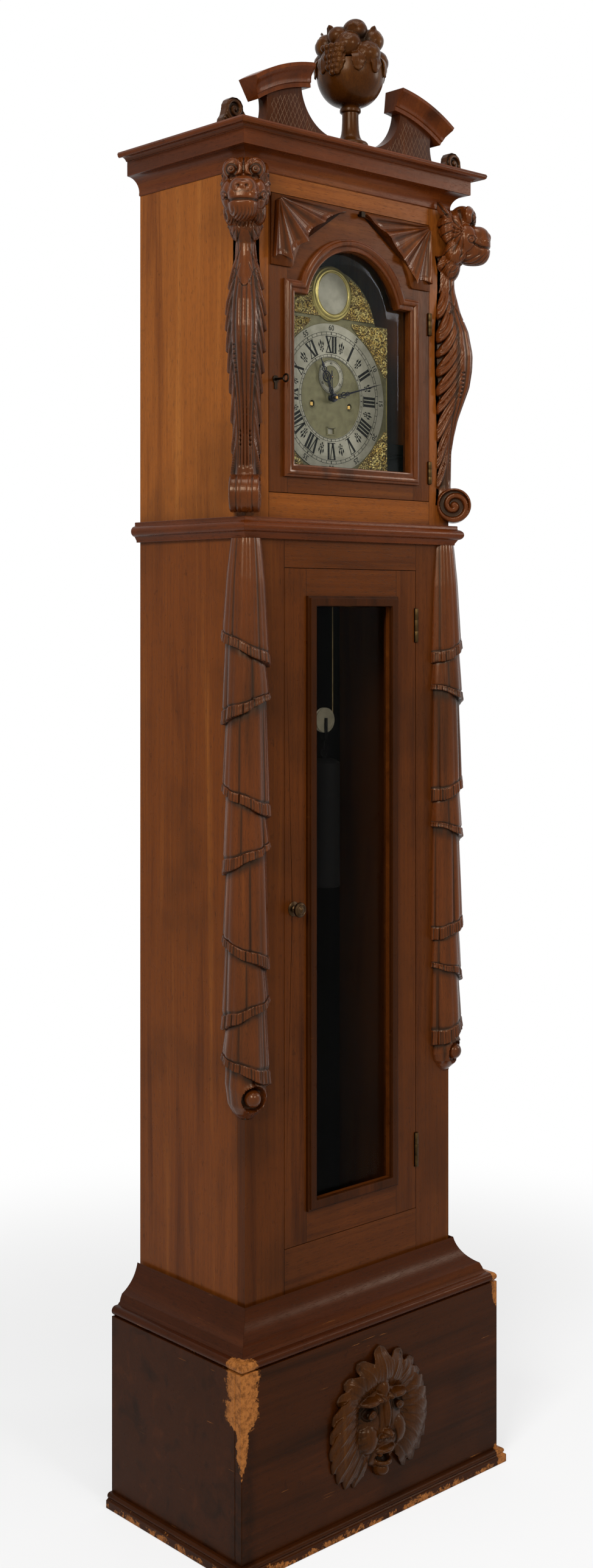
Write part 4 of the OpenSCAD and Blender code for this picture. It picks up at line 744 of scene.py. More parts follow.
@dataclass
class Piece:
    """A new piece of the clock, from its bmesh to its finished object."""

    name: str
    body: str
    finish: Finish
    slot: str
    replaces: tuple[str, ...] = ()
    grain: Grain = Grain.UPRIGHT
    crease: float = 40.0
    mesh: bmesh.types.BMesh = field(default_factory=bmesh.new)

    def loft(self, rings: Sequence[Sequence[Point]], caps: bool = True,
             marks: dict[str, Sequence[Sequence[float]]] | None = None) -> None:
        """Grows a closed skin from ring to ring.

        Args:
            rings: rings with the same number of points, in millimetres.
            caps: whether both ends are closed.
            marks: numbers kept on the points, by name, ring by ring.
        """
        bm = self.mesh
        kept = {name: bm.verts.layers.float.get(name) or bm.verts.layers.float.new(name)
                for name in (marks or {})}
        seat = bm.verts.layers.int.get("seat") or bm.verts.layers.int.new("seat")
        row = [bm.verts.new(Vector(p) * MM) for p in rings[0]]
        for i, vert in enumerate(row):
            vert[seat] = i
            for name, layer in kept.items():
                vert[layer] = marks[name][0][i]
        edges = [bm.edges.new((row[i - 1], row[i])) for i in range(len(row))]
        ends = [list(edges)]
        for level, ring in enumerate(rings[1:], 1):
            made = bmesh.ops.extrude_edge_only(bm, edges=edges)["geom"]
            fresh = verts_of(made)
            edges = edges_among(made, fresh)
            for vert in fresh:
                vert.co = Vector(ring[vert[seat]]) * MM
                for name, layer in kept.items():
                    vert[layer] = marks[name][level][vert[seat]]
        ends.append(edges)
        if caps:
            for end in ends:
                bmesh.ops.edgeloop_fill(bm, edges=end)

    def slab(self, low: Point, high: Point, bevel: float = 0.0) -> None:
        """Adds a board between two corners, its edges eased.

        Args:
            low: lowest corner in millimetres.
            high: highest corner in millimetres.
            bevel: how far the edges are eased.
        """
        a, b = Vector(low) * MM, Vector(high) * MM
        size = b - a
        made = bmesh.ops.create_cube(self.mesh, size=1.0, matrix=Matrix.Translation((a + b) / 2)
                                     @ Matrix.Diagonal((*size, 1.0)))
        if bevel:
            edges = {e for v in made["verts"] for e in v.link_edges}
            bmesh.ops.bevel(self.mesh, geom=list(edges), offset=bevel * MM, affect="EDGES",
                            segments=2, profile=0.5, material=-1)

    def turned(self, profile: Sequence[Point], centre: Point, axis: str = "Z",
               steps: int = 64) -> list[bmesh.types.BMVert]:
        """Turns a profile on the lathe.

        Args:
            profile: radius and height of each point, from the foot up.
            centre: foot of the axis in millimetres.
            axis: "Z" stands up, "Y" points to the front.
            steps: faces round.

        Returns:
            The vertices made.
        """
        bm = self.mesh
        up = Vector((0, 0, 1)) if axis == "Z" else Vector((0, -1, 0))
        side = Vector((1, 0, 0))
        foot = Vector(centre)
        before = set(bm.verts)
        row = [bm.verts.new((foot + side * r + up * h) * MM) for r, h in profile]
        edges = [bm.edges.new(pair) for pair in zip(row, row[1:])]
        bmesh.ops.spin(bm, geom=row + edges, cent=foot * MM, axis=up, angle=math.tau,
                       steps=steps, use_merge=True, use_duplicate=False)
        made = [v for v in bm.verts if v not in before]
        bmesh.ops.remove_doubles(bm, verts=made, dist=1e-6)
        return [v for v in bm.verts if v not in before]

    def cut_out(self, outline: Sequence[Sequence[float]], low: float, high: float,
                bevel: float = 0.0) -> None:
        """Cuts an outline drawn across and up from a sheet that faces the viewer.

        Args:
            outline: points across and up in millimetres.
            low: depth of its front.
            high: depth of its back.
            bevel: how far its front edge is eased.
        """
        bm = self.mesh
        face = bm.faces.new([bm.verts.new(Vector((x, high, z)) * MM) for x, z in outline])
        made = bmesh.ops.extrude_face_region(bm, geom=[face])["geom"]
        bmesh.ops.translate(bm, verts=verts_of(made), vec=Vector((0, low - high, 0)) * MM)
        if bevel:
            tops = [g for g in made if isinstance(g, bmesh.types.BMFace)]
            edges = {e for f in tops for e in f.edges}
            bmesh.ops.bevel(bm, geom=list(edges), offset=bevel * MM, affect="EDGES", segments=2,
                            profile=0.5, material=-1)

    def blob(self, centre: Point, radii: Point, turn: Matrix | None = None, detail: int = 24
             ) -> list[bmesh.types.BMVert]:
        """Adds an egg-shaped lump.

        Args:
            centre: its middle in millimetres.
            radii: its three half sizes.
            turn: how it is turned.
            detail: faces round.

        Returns:
            The vertices made.
        """
        matrix = Matrix.Translation(Vector(centre) * MM)
        if turn is not None:
            matrix = matrix @ turn.to_4x4()
        matrix = matrix @ Matrix.Diagonal((radii[0] * MM, radii[1] * MM, radii[2] * MM, 1.0))
        return bmesh.ops.create_uvsphere(self.mesh, u_segments=detail, v_segments=detail // 2,
                                         radius=1.0, matrix=matrix)["verts"]

    def tube(self, path: Sequence[Point], radius: Callable[[float], float] | float,
             sides: int = 10) -> None:
        """A round bar along a path.

        Args:
            path: points in millimetres.
            radius: its radius, or the radius at each share of the way.
            sides: faces round.
        """
        spots = [Vector(p) for p in path]
        rings = []
        across = Vector((0.3, 0.2, 0.93))
        for i, spot in enumerate(spots):
            ahead = (spots[min(i + 1, len(spots) - 1)] - spots[max(i - 1, 0)]).normalized()
            across = (across - ahead * across.dot(ahead)).normalized()
            other = ahead.cross(across)
            share = i / (len(spots) - 1)
            size = radius(share) if callable(radius) else radius
            rings.append([spot + (across * math.cos(math.tau * k / sides)
                                  + other * math.sin(math.tau * k / sides)) * size
                          for k in range(sides)])
        self.loft(rings)

    def mirrored(self) -> None:
        """Adds the mirror image on the other side of the clock."""
        bm = self.mesh
        made = bmesh.ops.duplicate(bm, geom=list(bm.verts) + list(bm.edges) + list(bm.faces))
        bmesh.ops.scale(bm, vec=(-1, 1, 1), verts=verts_of(made["geom"]))
        bmesh.ops.reverse_faces(bm, faces=[g for g in made["geom"]
                                           if isinstance(g, bmesh.types.BMFace)])

    def done(self, marks: dict[str, np.ndarray] | None = None, outward: bool = True
             ) -> bpy.types.Object:
        """Turns the bmesh into an object that rides on its body.

        Args:
            marks: numbers kept on the points, by name.
            outward: whether the normals are worked out again.

        Returns:
            The object.
        """
        bm = self.mesh
        if outward:
            bmesh.ops.remove_doubles(bm, verts=list(bm.verts), dist=1e-7)
            bmesh.ops.recalc_face_normals(bm, faces=list(bm.faces))
        data = bpy.data.meshes.new(self.name)
        bm.to_mesh(data)
        bm.free()
        data.shade_smooth()
        data.set_sharp_from_angle(angle=math.radians(self.crease))
        for name, numbers in (marks or {}).items():
            layer = data.attributes.new(name, "FLOAT", "POINT")
            layer.data.foreach_set("value", numbers.astype(np.float32))
        data.materials.append(self.finish.material(self.grain))
        piece = linked(self.name, data)
        if self.body:
            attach(piece, self.body)
        if self.replaces:
            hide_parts(*self.replaces)
        log.info("%s: %d faces on %s", self.name, len(data.polygons), self.body)
        return piece


def moulding(name: str, body: str, finish: Finish, slot: str, profile: Sequence[Point],
             half: float, front: float, foot: float, node: str) -> None:
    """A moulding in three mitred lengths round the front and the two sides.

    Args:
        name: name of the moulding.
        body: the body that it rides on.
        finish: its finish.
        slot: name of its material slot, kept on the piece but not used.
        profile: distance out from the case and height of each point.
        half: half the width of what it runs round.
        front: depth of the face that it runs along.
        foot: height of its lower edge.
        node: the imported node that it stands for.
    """
    gap = 0.12
    stations = 14
    for side, grain in (("front", Grain.ACROSS), ("left", Grain.DEEP), ("right", Grain.DEEP)):
        piece = Piece(f"{name}_{side}", body, finish, slot, (node,), grain, 32.0)
        rings = []
        for k in range(stations + 1):
            share = k / stations
            ring = []
            for out, up in profile:
                if side == "front":
                    reach = half + out - gap
                    ring.append((-reach + 2 * reach * share, front - out, foot + up))
                else:
                    way = -1 if side == "left" else 1
                    near = front - out + gap
                    ring.append((way * (half + out), near + (CASE.back - near) * share, foot + up))
            rings.append(ring)
        piece.loft(rings)
        piece.done()


def arc(cx: float, cy: float, radius: float, start: float, end: float, steps: int = 12
        ) -> list[tuple[float, float]]:
    """Points round part of a circle.

    Args:
        cx: its middle across.
        cy: its middle up.
        radius: its radius.
        start: first angle in degrees.
        end: last angle in degrees.
        steps: how many parts it has.

    Returns:
        The points.
    """
    return [(cx + radius * math.cos(math.radians(start + (end - start) * i / steps)),
             cy + radius * math.sin(math.radians(start + (end - start) * i / steps)))
            for i in range(steps + 1)]


def refined(bm: bmesh.types.BMesh, voxel: float, smooth: int) -> bpy.types.Mesh:
    """Joins overlapping lumps into one skin of even faces, ready for the chisel.

    Args:
        bm: the lumps; it is freed.
        voxel: size of the faces in millimetres.
        smooth: times that the skin is smoothed.

    Returns:
        The new mesh.
    """
    data = bpy.data.meshes.new("rough")
    bm.to_mesh(data)
    bm.free()
    rough = linked("rough", data)
    fine = rough.modifiers.new("voxels", "REMESH")
    fine.mode = "VOXEL"
    fine.voxel_size = voxel * MM
    soft = rough.modifiers.new("soft", "SMOOTH")
    soft.factor = 0.5
    soft.iterations = smooth
    made = evaluated(rough)
    bpy.data.objects.remove(rough)
    bpy.data.meshes.remove(data)
    return made


def sculptable(node: str, voxel: float, smooth: int, keep: Callable[[Vector], bool]
               ) -> bpy.types.Mesh:
    """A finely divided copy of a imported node, ready for the chisel.

    Args:
        node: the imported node.
        voxel: size of its faces in millimetres.
        smooth: times that it is smoothed.
        keep: says which points are kept.

    Returns:
        The new mesh.
    """
    bm = bmesh.new()
    bm.from_mesh(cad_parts[node].data)
    bmesh.ops.remove_doubles(bm, verts=list(bm.verts), dist=2e-5)
    bmesh.ops.delete(bm, geom=[v for v in bm.verts if not keep(v.co)], context="VERTS")
    return refined(bm, voxel, smooth)


def points_of(data: bpy.types.Mesh) -> tuple[np.ndarray, np.ndarray]:
    """Reads a mesh's points.

    Args:
        data: the mesh.

    Returns:
        Their places in millimetres and their normals.
    """
    count = len(data.vertices)
    spots = np.empty(count * 3, dtype=np.float32)
    data.vertices.foreach_get("co", spots)
    normals = np.empty(count * 3, dtype=np.float32)
    data.vertex_normals.foreach_get("vector", normals)
    return spots.reshape(-1, 3).astype(np.float64) / MM, normals.reshape(-1, 3).astype(np.float64)


def carved_piece(data: bpy.types.Mesh, spots: np.ndarray, piece: Piece,
                 marks: dict[str, np.ndarray]) -> bpy.types.Object:
    """Finishes a sculpted mesh as a piece of the clock.

    Args:
        data: the mesh.
        spots: the new places of its points in millimetres.
        piece: the piece that it becomes.
        marks: numbers kept on the points.

    Returns:
        The object.
    """
    data.vertices.foreach_set("co", (spots * MM).astype(np.float32).ravel())
    data.update()
    piece.mesh.from_mesh(data)
    bpy.data.meshes.remove(data)
    return piece.done(marks, outward=False)


class SubAssembly:
    """What all the sub-assemblies share."""

    def build(self) -> None:
        """Builds and dresses the sub-assembly."""
        raise NotImplementedError

    def keep(self, finish: Finish, *nodes: str, grain: Grain = Grain.UPRIGHT, ease: float = 0.7
             ) -> None:
        """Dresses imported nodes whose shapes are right, and eases their edges.

        Args:
            finish: their finish.
            nodes: the nodes.
            grain: the way of their grain.
            ease: how far the edges are eased in millimetres.
        """
        for node in nodes:
            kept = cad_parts[node]
            material = finish.material(grain)
            for held in kept.material_slots:
                held.link = "OBJECT"
                held.material = material
            if not kept.material_slots:
                kept.data.materials.append(material)
            if ease:
                weld = kept.modifiers.new("weld", "WELD")
                weld.merge_threshold = 1e-5
                bevel = kept.modifiers.new("ease", "BEVEL")
                bevel.width = ease * MM
                bevel.segments = 2
                bevel.limit_method = "ANGLE"
                bevel.angle_limit = math.radians(35)
                bevel.harden_normals = True
                bevel.use_clamp_overlap = True
            log.info("%s: kept, %s", node, material.name)


@dataclass
class Base(SubAssembly):
    """The base box with its plinth and the hollow moulding that carries the trunk."""

    out: float = 62.0
    plinth: float = 11.8
    plinth_up: float = 26.0
    bead: float = 8.0

    def build(self) -> None:
        """Builds the base."""
        self.keep(DARK_BOARD, "base_box", grain=Grain.ACROSS, ease=1.2)
        self.keep(INNER_SHADE_WOOD, "backboard", grain=Grain.UPRIGHT)
        self.run_plinth()
        self.run_hollow()

    def run_plinth(self) -> None:
        """The plinth moulding: a square foot, a fillet and a half round."""
        p = self.plinth
        profile = [(0.2, 0.0), (p - 0.6, 0.0), (p, 0.8), (p, 13.4), (p - 0.6, 14.0), (9.4, 14.6),
                   (9.0, 15.2)]
        profile += arc(4, 20.5, 5.2, -48, 84, 14) + [(0.2, self.plinth_up)]
        moulding("plinth", "case", DARK_BOARD, "dark_wood", profile, CASE.base_half,
                 CASE.base_front, 0.0, "plinth_moulding")

    def run_hollow(self) -> None:
        """The hollow between base and trunk, with a bead at its foot."""
        profile = [(0.2, 0.2), (self.out - self.bead, 0.2)]
        profile += arc(self.out - self.bead, self.bead + 0.2, self.bead, -90, 78, 14)
        profile += [(48.6, 16.2), (46.4, 18.6), (44.4, 20.2), (43.4, 24.6)]
        profile += arc(70.6, 90.6, 65.6, -118, -172, 22)[:-1]
        profile += [(6.2, 64.0), (6.2, 68.0), (0.2, 68.0)]
        moulding("hollow", "case", COVE_WOOD, "dark_wood", profile, CASE.half, CASE.front,
                 CASE.base_top, "base_cove")


@dataclass
class Trunk(SubAssembly):
    """The trunk: sides, front frame and the moulding under the hood."""

    stile: float = 158.6

    def build(self) -> None:
        """Builds the trunk."""
        self.keep(TRUNK_BOARD, "trunk_sides", ease=1.0)
        self.keep(replace(RED_BOARD, name="trunk_board", crossed=self.stile), "trunk_front",
                  ease=1.0)
        self.keep(INNER_SHADE_WOOD, "seatboard", grain=Grain.ACROSS)
        profile = [(0.2, 0.0), (7.4, 0.0), (8.0, 0.6), (8.0, 3.0)]
        profile += arc(11, 19, 9.2, -82, 82, 18)
        profile += [(11.6, 29.4), (11.6, 34.2), (11.0, 35.0), (0.2, 35.0)]
        moulding("waist", "case", CORNICE_WOOD, "case_wood", profile, CASE.half, CASE.front,
                 CASE.waist, "waist_moulding")


@dataclass
class Hood(SubAssembly):
    """The sliding hood with its face frame and cornice."""

    stile: float = 193.0

    def build(self) -> None:
        """Builds the hood."""
        self.keep(HOOD_BOARD, "hood_carcase", ease=0.4)
        self.keep(replace(HOOD_FRAME, name="hood_front", crossed=self.stile), "hood_face", ease=0.4)
        profile = [(0.2, -1.4), (1.2, -1.4), (2.4, 0.0), (2.4, 4.0)]
        profile += [(2 + 25 * (1 - math.cos(math.radians(90 * i / 16))),
                     4 + 25 * math.sin(math.radians(90 * i / 16))) for i in range(17)]
        profile += [(28.4, 29.6), (28.4, 53.4), (29.0, 54.0), (31.0, 54.4)]
        profile += arc(40, 50.5, 9.8, 150, 98, 8) + arc(44, 63, 5.4, -68, 4, 8)
        profile += [(50.0, 63.8), (48.4, 67.1), (-59.8, 67.3), (-59.8, 57.7), (0.2, 57.7)]
        moulding("cornice", "hood", CORNICE_WOOD, "dark_wood", profile, CASE.half, CASE.front,
                 CASE.cornice, "cornice")


def ease(values: np.ndarray, low: float, high: float) -> np.ndarray:
    """A soft step from 0 at low to 1 at high, or down where high is the lower."""
    share = np.clip((values - low) / (high - low), 0, 1)
    return share * share * (3 - 2 * share)


def line(away: np.ndarray, wide: float) -> np.ndarray:
    """A groove's profile: 1 where away is 0, and nothing at about twice its width."""
    return np.exp(-(away / wide) ** 2)


def rounding(values: np.ndarray) -> np.ndarray:
    """A quarter round that grows from 0 at 0 to 1 at 1."""
    share = np.clip(values, 0, 1)
    return np.sqrt(share * (2 - share))


class Cuts:
    """How deep each point of a carving is cut, and how much painted shade lies in its hollows."""

    def __init__(self, count: int) -> None:
        """Starts uncut."""
        self.deep = np.zeros(count)
        self.dark = np.zeros(count)

    def add(self, where: np.ndarray, deep: float, dark: float) -> None:
        """Cuts a groove.

        Args:
            where: how much of the groove each point takes, from 0 to 1.
            deep: its depth in millimetres.
            dark: how much painted shade it takes, from 0 to 1.
        """
        self.deep += where * deep
        self.dark += where * dark

    def comb(self, where: np.ndarray, strands: np.ndarray, deep: float, dark: float,
             sharp: float = 2.0) -> None:
        """Cuts hair.

        Args:
            where: how much hair each point takes, from 0 to 1.
            strands: a wave across the strands, from 0 to 1.
            deep: depth between the strands in millimetres.
            dark: how much painted shade lies between them, from 0 to 1.
            sharp: the power that narrows the grooves.
        """
        self.deep += where * strands ** sharp * deep
        self.dark += where * strands ** 3 * dark


@dataclass
class Folds:
    """One level of the drapery, point by point round its corner."""

    turn: np.ndarray
    edge: np.ndarray
    reach: np.ndarray
    hollow: np.ndarray
    rub: np.ndarray


@dataclass
class Swags(SubAssembly):
    """The carved drapery that hangs down both front corners of the trunk."""

    inner: float = 10.5
    radius: float = 39.0
    head: float = CASE.waist - 0.2
    length: float = 952.27
    hem: float = 17.0
    slope: float = 25.0
    feet: tuple[float, ...] = (0.0, 0.197, 0.299, 0.459, 0.558, 0.721, 0.825, 0.92)
    last_top: float = 0.9215
    ball_r: float = 14.0
    cup_r: float = 21.5
    across: int = 112

    def build(self) -> None:
        """Carves the drapery of both corners."""
        for side, name in SIDES:
            piece = Piece(f"swag_{name}", "case", CARVED, "carved_wood", ("trunk_swags",),
                          crease=55.0)
            levels = self.levels()
            rng = np.random.default_rng(17 + side)
            shifts = rng.uniform(-0.5, 0.5, (12, 3))
            made = [self.ring(side, *level, shifts) for level in reversed(levels)]
            piece.loft([m[0] for m in made], marks={"hollow": [m[1] for m in made],
                                                    "rub": [m[2] for m in made]})
            piece.blob(self.ball(side), (self.ball_r, self.ball_r, self.ball_r + 0.5), detail=36)
            piece.done()

    def ball(self, side: int) -> Point:
        """Middle of the ball in the last fold."""
        return (side * (CASE.half - 3), CASE.front - 15, self.head - self.length * 0.961)

    def levels(self) -> list[tuple[float, int, float]]:
        """Lays out the levels of the drapery, from the top.

        Returns:
            Each level's share of the way down, its tier and its millimetres of hem.
        """
        levels: list[tuple[float, int, float]] = []
        steps = (-1.2, -0.2, 0.9, 2.0, 5.0, 8.0, 11.0, 14.0, 15.8, 16.6, 17.0)
        for tier in range(len(self.feet) - 1):
            top, foot = self.feet[tier] * self.length, self.feet[tier + 1] * self.length
            spots = list(np.arange(0.0, foot - top - self.hem - 1.5, 4.5))
            spots += [foot - top - self.hem + step for step in steps]
            levels += [((top + spot) / self.length, tier, foot - top - spot) for spot in spots]
        tail = len(self.feet) - 1
        levels += [(share, tail, -1.0) for share in np.linspace(self.last_top, 1.0, 26)]
        return levels

    def size(self, tier: int, share: float, down: float) -> float:
        """How wide one level is.

        Args:
            tier: which bunch of cloth it is in, from the top.
            share: how far down the drapery it is, from 0 to 1.
            down: how far down its bunch it is, from 0 to 1.

        Returns:
            Its share of the full radius.
        """
        if tier == len(self.feet) - 1:
            return np.interp(share, [self.last_top, 0.95, 0.975, 0.99, 1.0],
                             [0.83, 0.88, 0.78, 0.56, 0.3])
        size = np.interp(down, [0, 0.04, 0.5, 0.9, 1], [0.84, 0.86, 0.93, 0.98, 1.02])
        if tier == 0:
            size *= np.interp(down, [0, 0.35, 1], [0.74, 0.88, 1.0])
        return size

    def fringe(self, level: Folds, to_hem: float, shift: np.ndarray) -> None:
        """Cuts a bunch's hem: a groove, a cord and the fringe under it.

        Args:
            level: takes the cuts.
            to_hem: millimetres above the bunch's lower edge.
            shift: the bunch's own small differences.
        """
        cuts = np.abs(np.sin(level.turn * self.radius / 2.5 * math.pi * 0.5 + shift[1] * 7)) ** 0.6
        deep = np.abs(np.sin(level.turn * 6.3 + shift[0] * 20)) ** 12
        # Painted shade in the groove over the hem and between the fringe's strands; the strands
        # take rub and painted highlight.
        if to_hem > self.hem - 0.6:
            level.reach -= 1.6 * level.edge
            level.hollow = np.full_like(level.turn, 0.95)
        elif to_hem > self.hem - 1.5:
            level.reach += 0.4 * level.edge
        else:
            level.reach += (1.2 - (1 - cuts) * 1.7 - deep * 0.9) * level.edge
            level.hollow = (1 - cuts) * 0.9 + deep * 0.5
            level.rub = cuts * 0.6
        if to_hem < 1.3:
            level.reach -= (1.3 - to_hem) * 2.2 * level.edge

    def ring(self, side: int, share: float, tier: int, to_hem: float, shifts: np.ndarray
             ) -> tuple[list[Point], list[float], list[float]]:
        """One level of the drapery.

        Args:
            side: -1 for the left corner and 1 for the right one.
            share: how far down the drapery it is, from 0 to 1.
            tier: which bunch of cloth it is in, from the top.
            to_hem: millimetres above the bunch's hem.
            shifts: small differences between the bunches.

        Returns:
            The points, the painted shade of each, and its rub and painted highlight.
        """
        last = tier == len(self.feet) - 1
        bunch = min(tier, len(self.feet) - 2)
        top = self.feet[bunch]
        down = np.clip((share - top) / (self.feet[bunch + 1] - top), 0, 1)
        size = self.size(tier, share, down)
        end = math.asin((self.inner + 0.3) / (self.radius * max(size, 0.45)))
        turn = np.linspace(math.pi - end, -math.pi / 2 + end, self.across)
        way = np.linspace(-1, 1, self.across)
        edge = 1 - np.abs(way) ** 8
        shift = shifts[tier]
        folds = 4.6 + shift[0] * 1.4
        waving = turn * folds * 0.5 + shift[1] * 5 + way * way * shift[2] * 1.6
        ridge = np.abs(np.sin(waving)) ** 0.75
        sharp = (1 - np.abs(np.sin(waving))) ** 5
        fine = np.abs(np.sin(turn * folds * 1.43 + shift[0] * 9))
        depth = np.interp(down, [0, 0.25, 1], [1.2, 1.6, 2.9])
        if last:
            depth = np.interp(share, [0.92, 0.97, 1], [2.4, 1.0, 0.0])
        wave = (ridge - 0.75) * depth + fine * 0.5 * depth - sharp * depth * 0.5
        # Painted shade in the valleys of the folds; their ridges take rub and painted highlight.
        hollow = sharp * 0.85 * min(depth / 1.5, 1) + (fine < 0.12) * 0.25
        level = Folds(turn, edge, self.radius * size + wave * edge, hollow,
                      ease(ridge, 0.86, 1.0) * 0.8)
        if not last and to_hem <= self.hem + 1.3:
            self.fringe(level, to_hem, shift)
        # Painted shadow under the hem of the bunch above: the top of each bunch, and of the last
        # fold, is darkened.
        if not last and tier > 0 and down < 0.14:
            level.hollow = np.maximum(level.hollow, 1 - down / 0.14)
        if last and share < 0.94:
            shadow = 1 - (share - self.last_top) / (0.94 - self.last_top)
            level.hollow = np.maximum(level.hollow, shadow)
        swing = np.sin(way * math.pi / 2 * 0.94)
        hang = -self.slope if tier % 2 == 0 else self.slope
        before = 0.0 if tier == 0 else -hang
        if last:
            hang, before = 0.0, -self.slope
            down = min((share - self.last_top) / 0.06, 1)
        z = self.head - self.length * share - swing * (before + (hang - before) * down)
        if not last:
            z = z + np.sin(waving * 2) * 1.4 * down * edge
        x = CASE.half - self.inner + level.reach * np.cos(turn)
        y = CASE.front + self.inner - level.reach * np.sin(turn)
        hollow, rub = level.hollow, level.rub
        if share > 0.9:
            y, hollow, rub = self.cup(x, y, z, hollow, rub)
        z = np.minimum(z, self.head - 0.1)
        # The back point in the case's corner takes full painted shade.
        corner = [(side * (CASE.half + 0.2), CASE.front - 0.2, float(z[len(z) // 2]))]
        points = corner + [(side * a, b, c) for a, b, c in zip(x.tolist(), y.tolist(), z.tolist())]
        return points, [1.0] + hollow.tolist(), [0.0] + rub.tolist()

    def cup(self, x: np.ndarray, y: np.ndarray, z: np.ndarray, hollow: np.ndarray,
            rub: np.ndarray) -> tuple[np.ndarray, np.ndarray, np.ndarray]:
        """Hollows the last fold round its ball and raises a rim, with painted shade inside the cup
        and rub and painted highlight on the rim.

        Args:
            x: places across, as on the right corner.
            y: places deep.
            z: places up.
            hollow: the painted shade of each.
            rub: the rub and painted highlight of each.

        Returns:
            The new places deep, the painted shade of each, and its rub and painted highlight.
        """
        spots = np.stack([x, y, z], axis=1)
        far = np.linalg.norm(spots - np.array(self.ball(1)), axis=1)
        inside = (far < self.cup_r) & (y < CASE.front + 4)
        rim = ease(far, 29, 22.5) * (far > self.cup_r - 1)
        sunk = np.sqrt(np.maximum(self.cup_r ** 2 - np.minimum(far, self.cup_r) ** 2, 0))
        deep = y - rim * 3.0 * (y < CASE.front + 2) + np.where(inside, sunk, 0) * 0.75
        deep = np.where(inside, np.minimum(deep, CASE.front - 0.5), deep)
        # Painted shade inside the cup, deepest round the ball.
        hollow = np.where(inside, 0.55 + 0.4 * (far < 15), hollow)
        return deep, hollow, np.maximum(rub, rim)


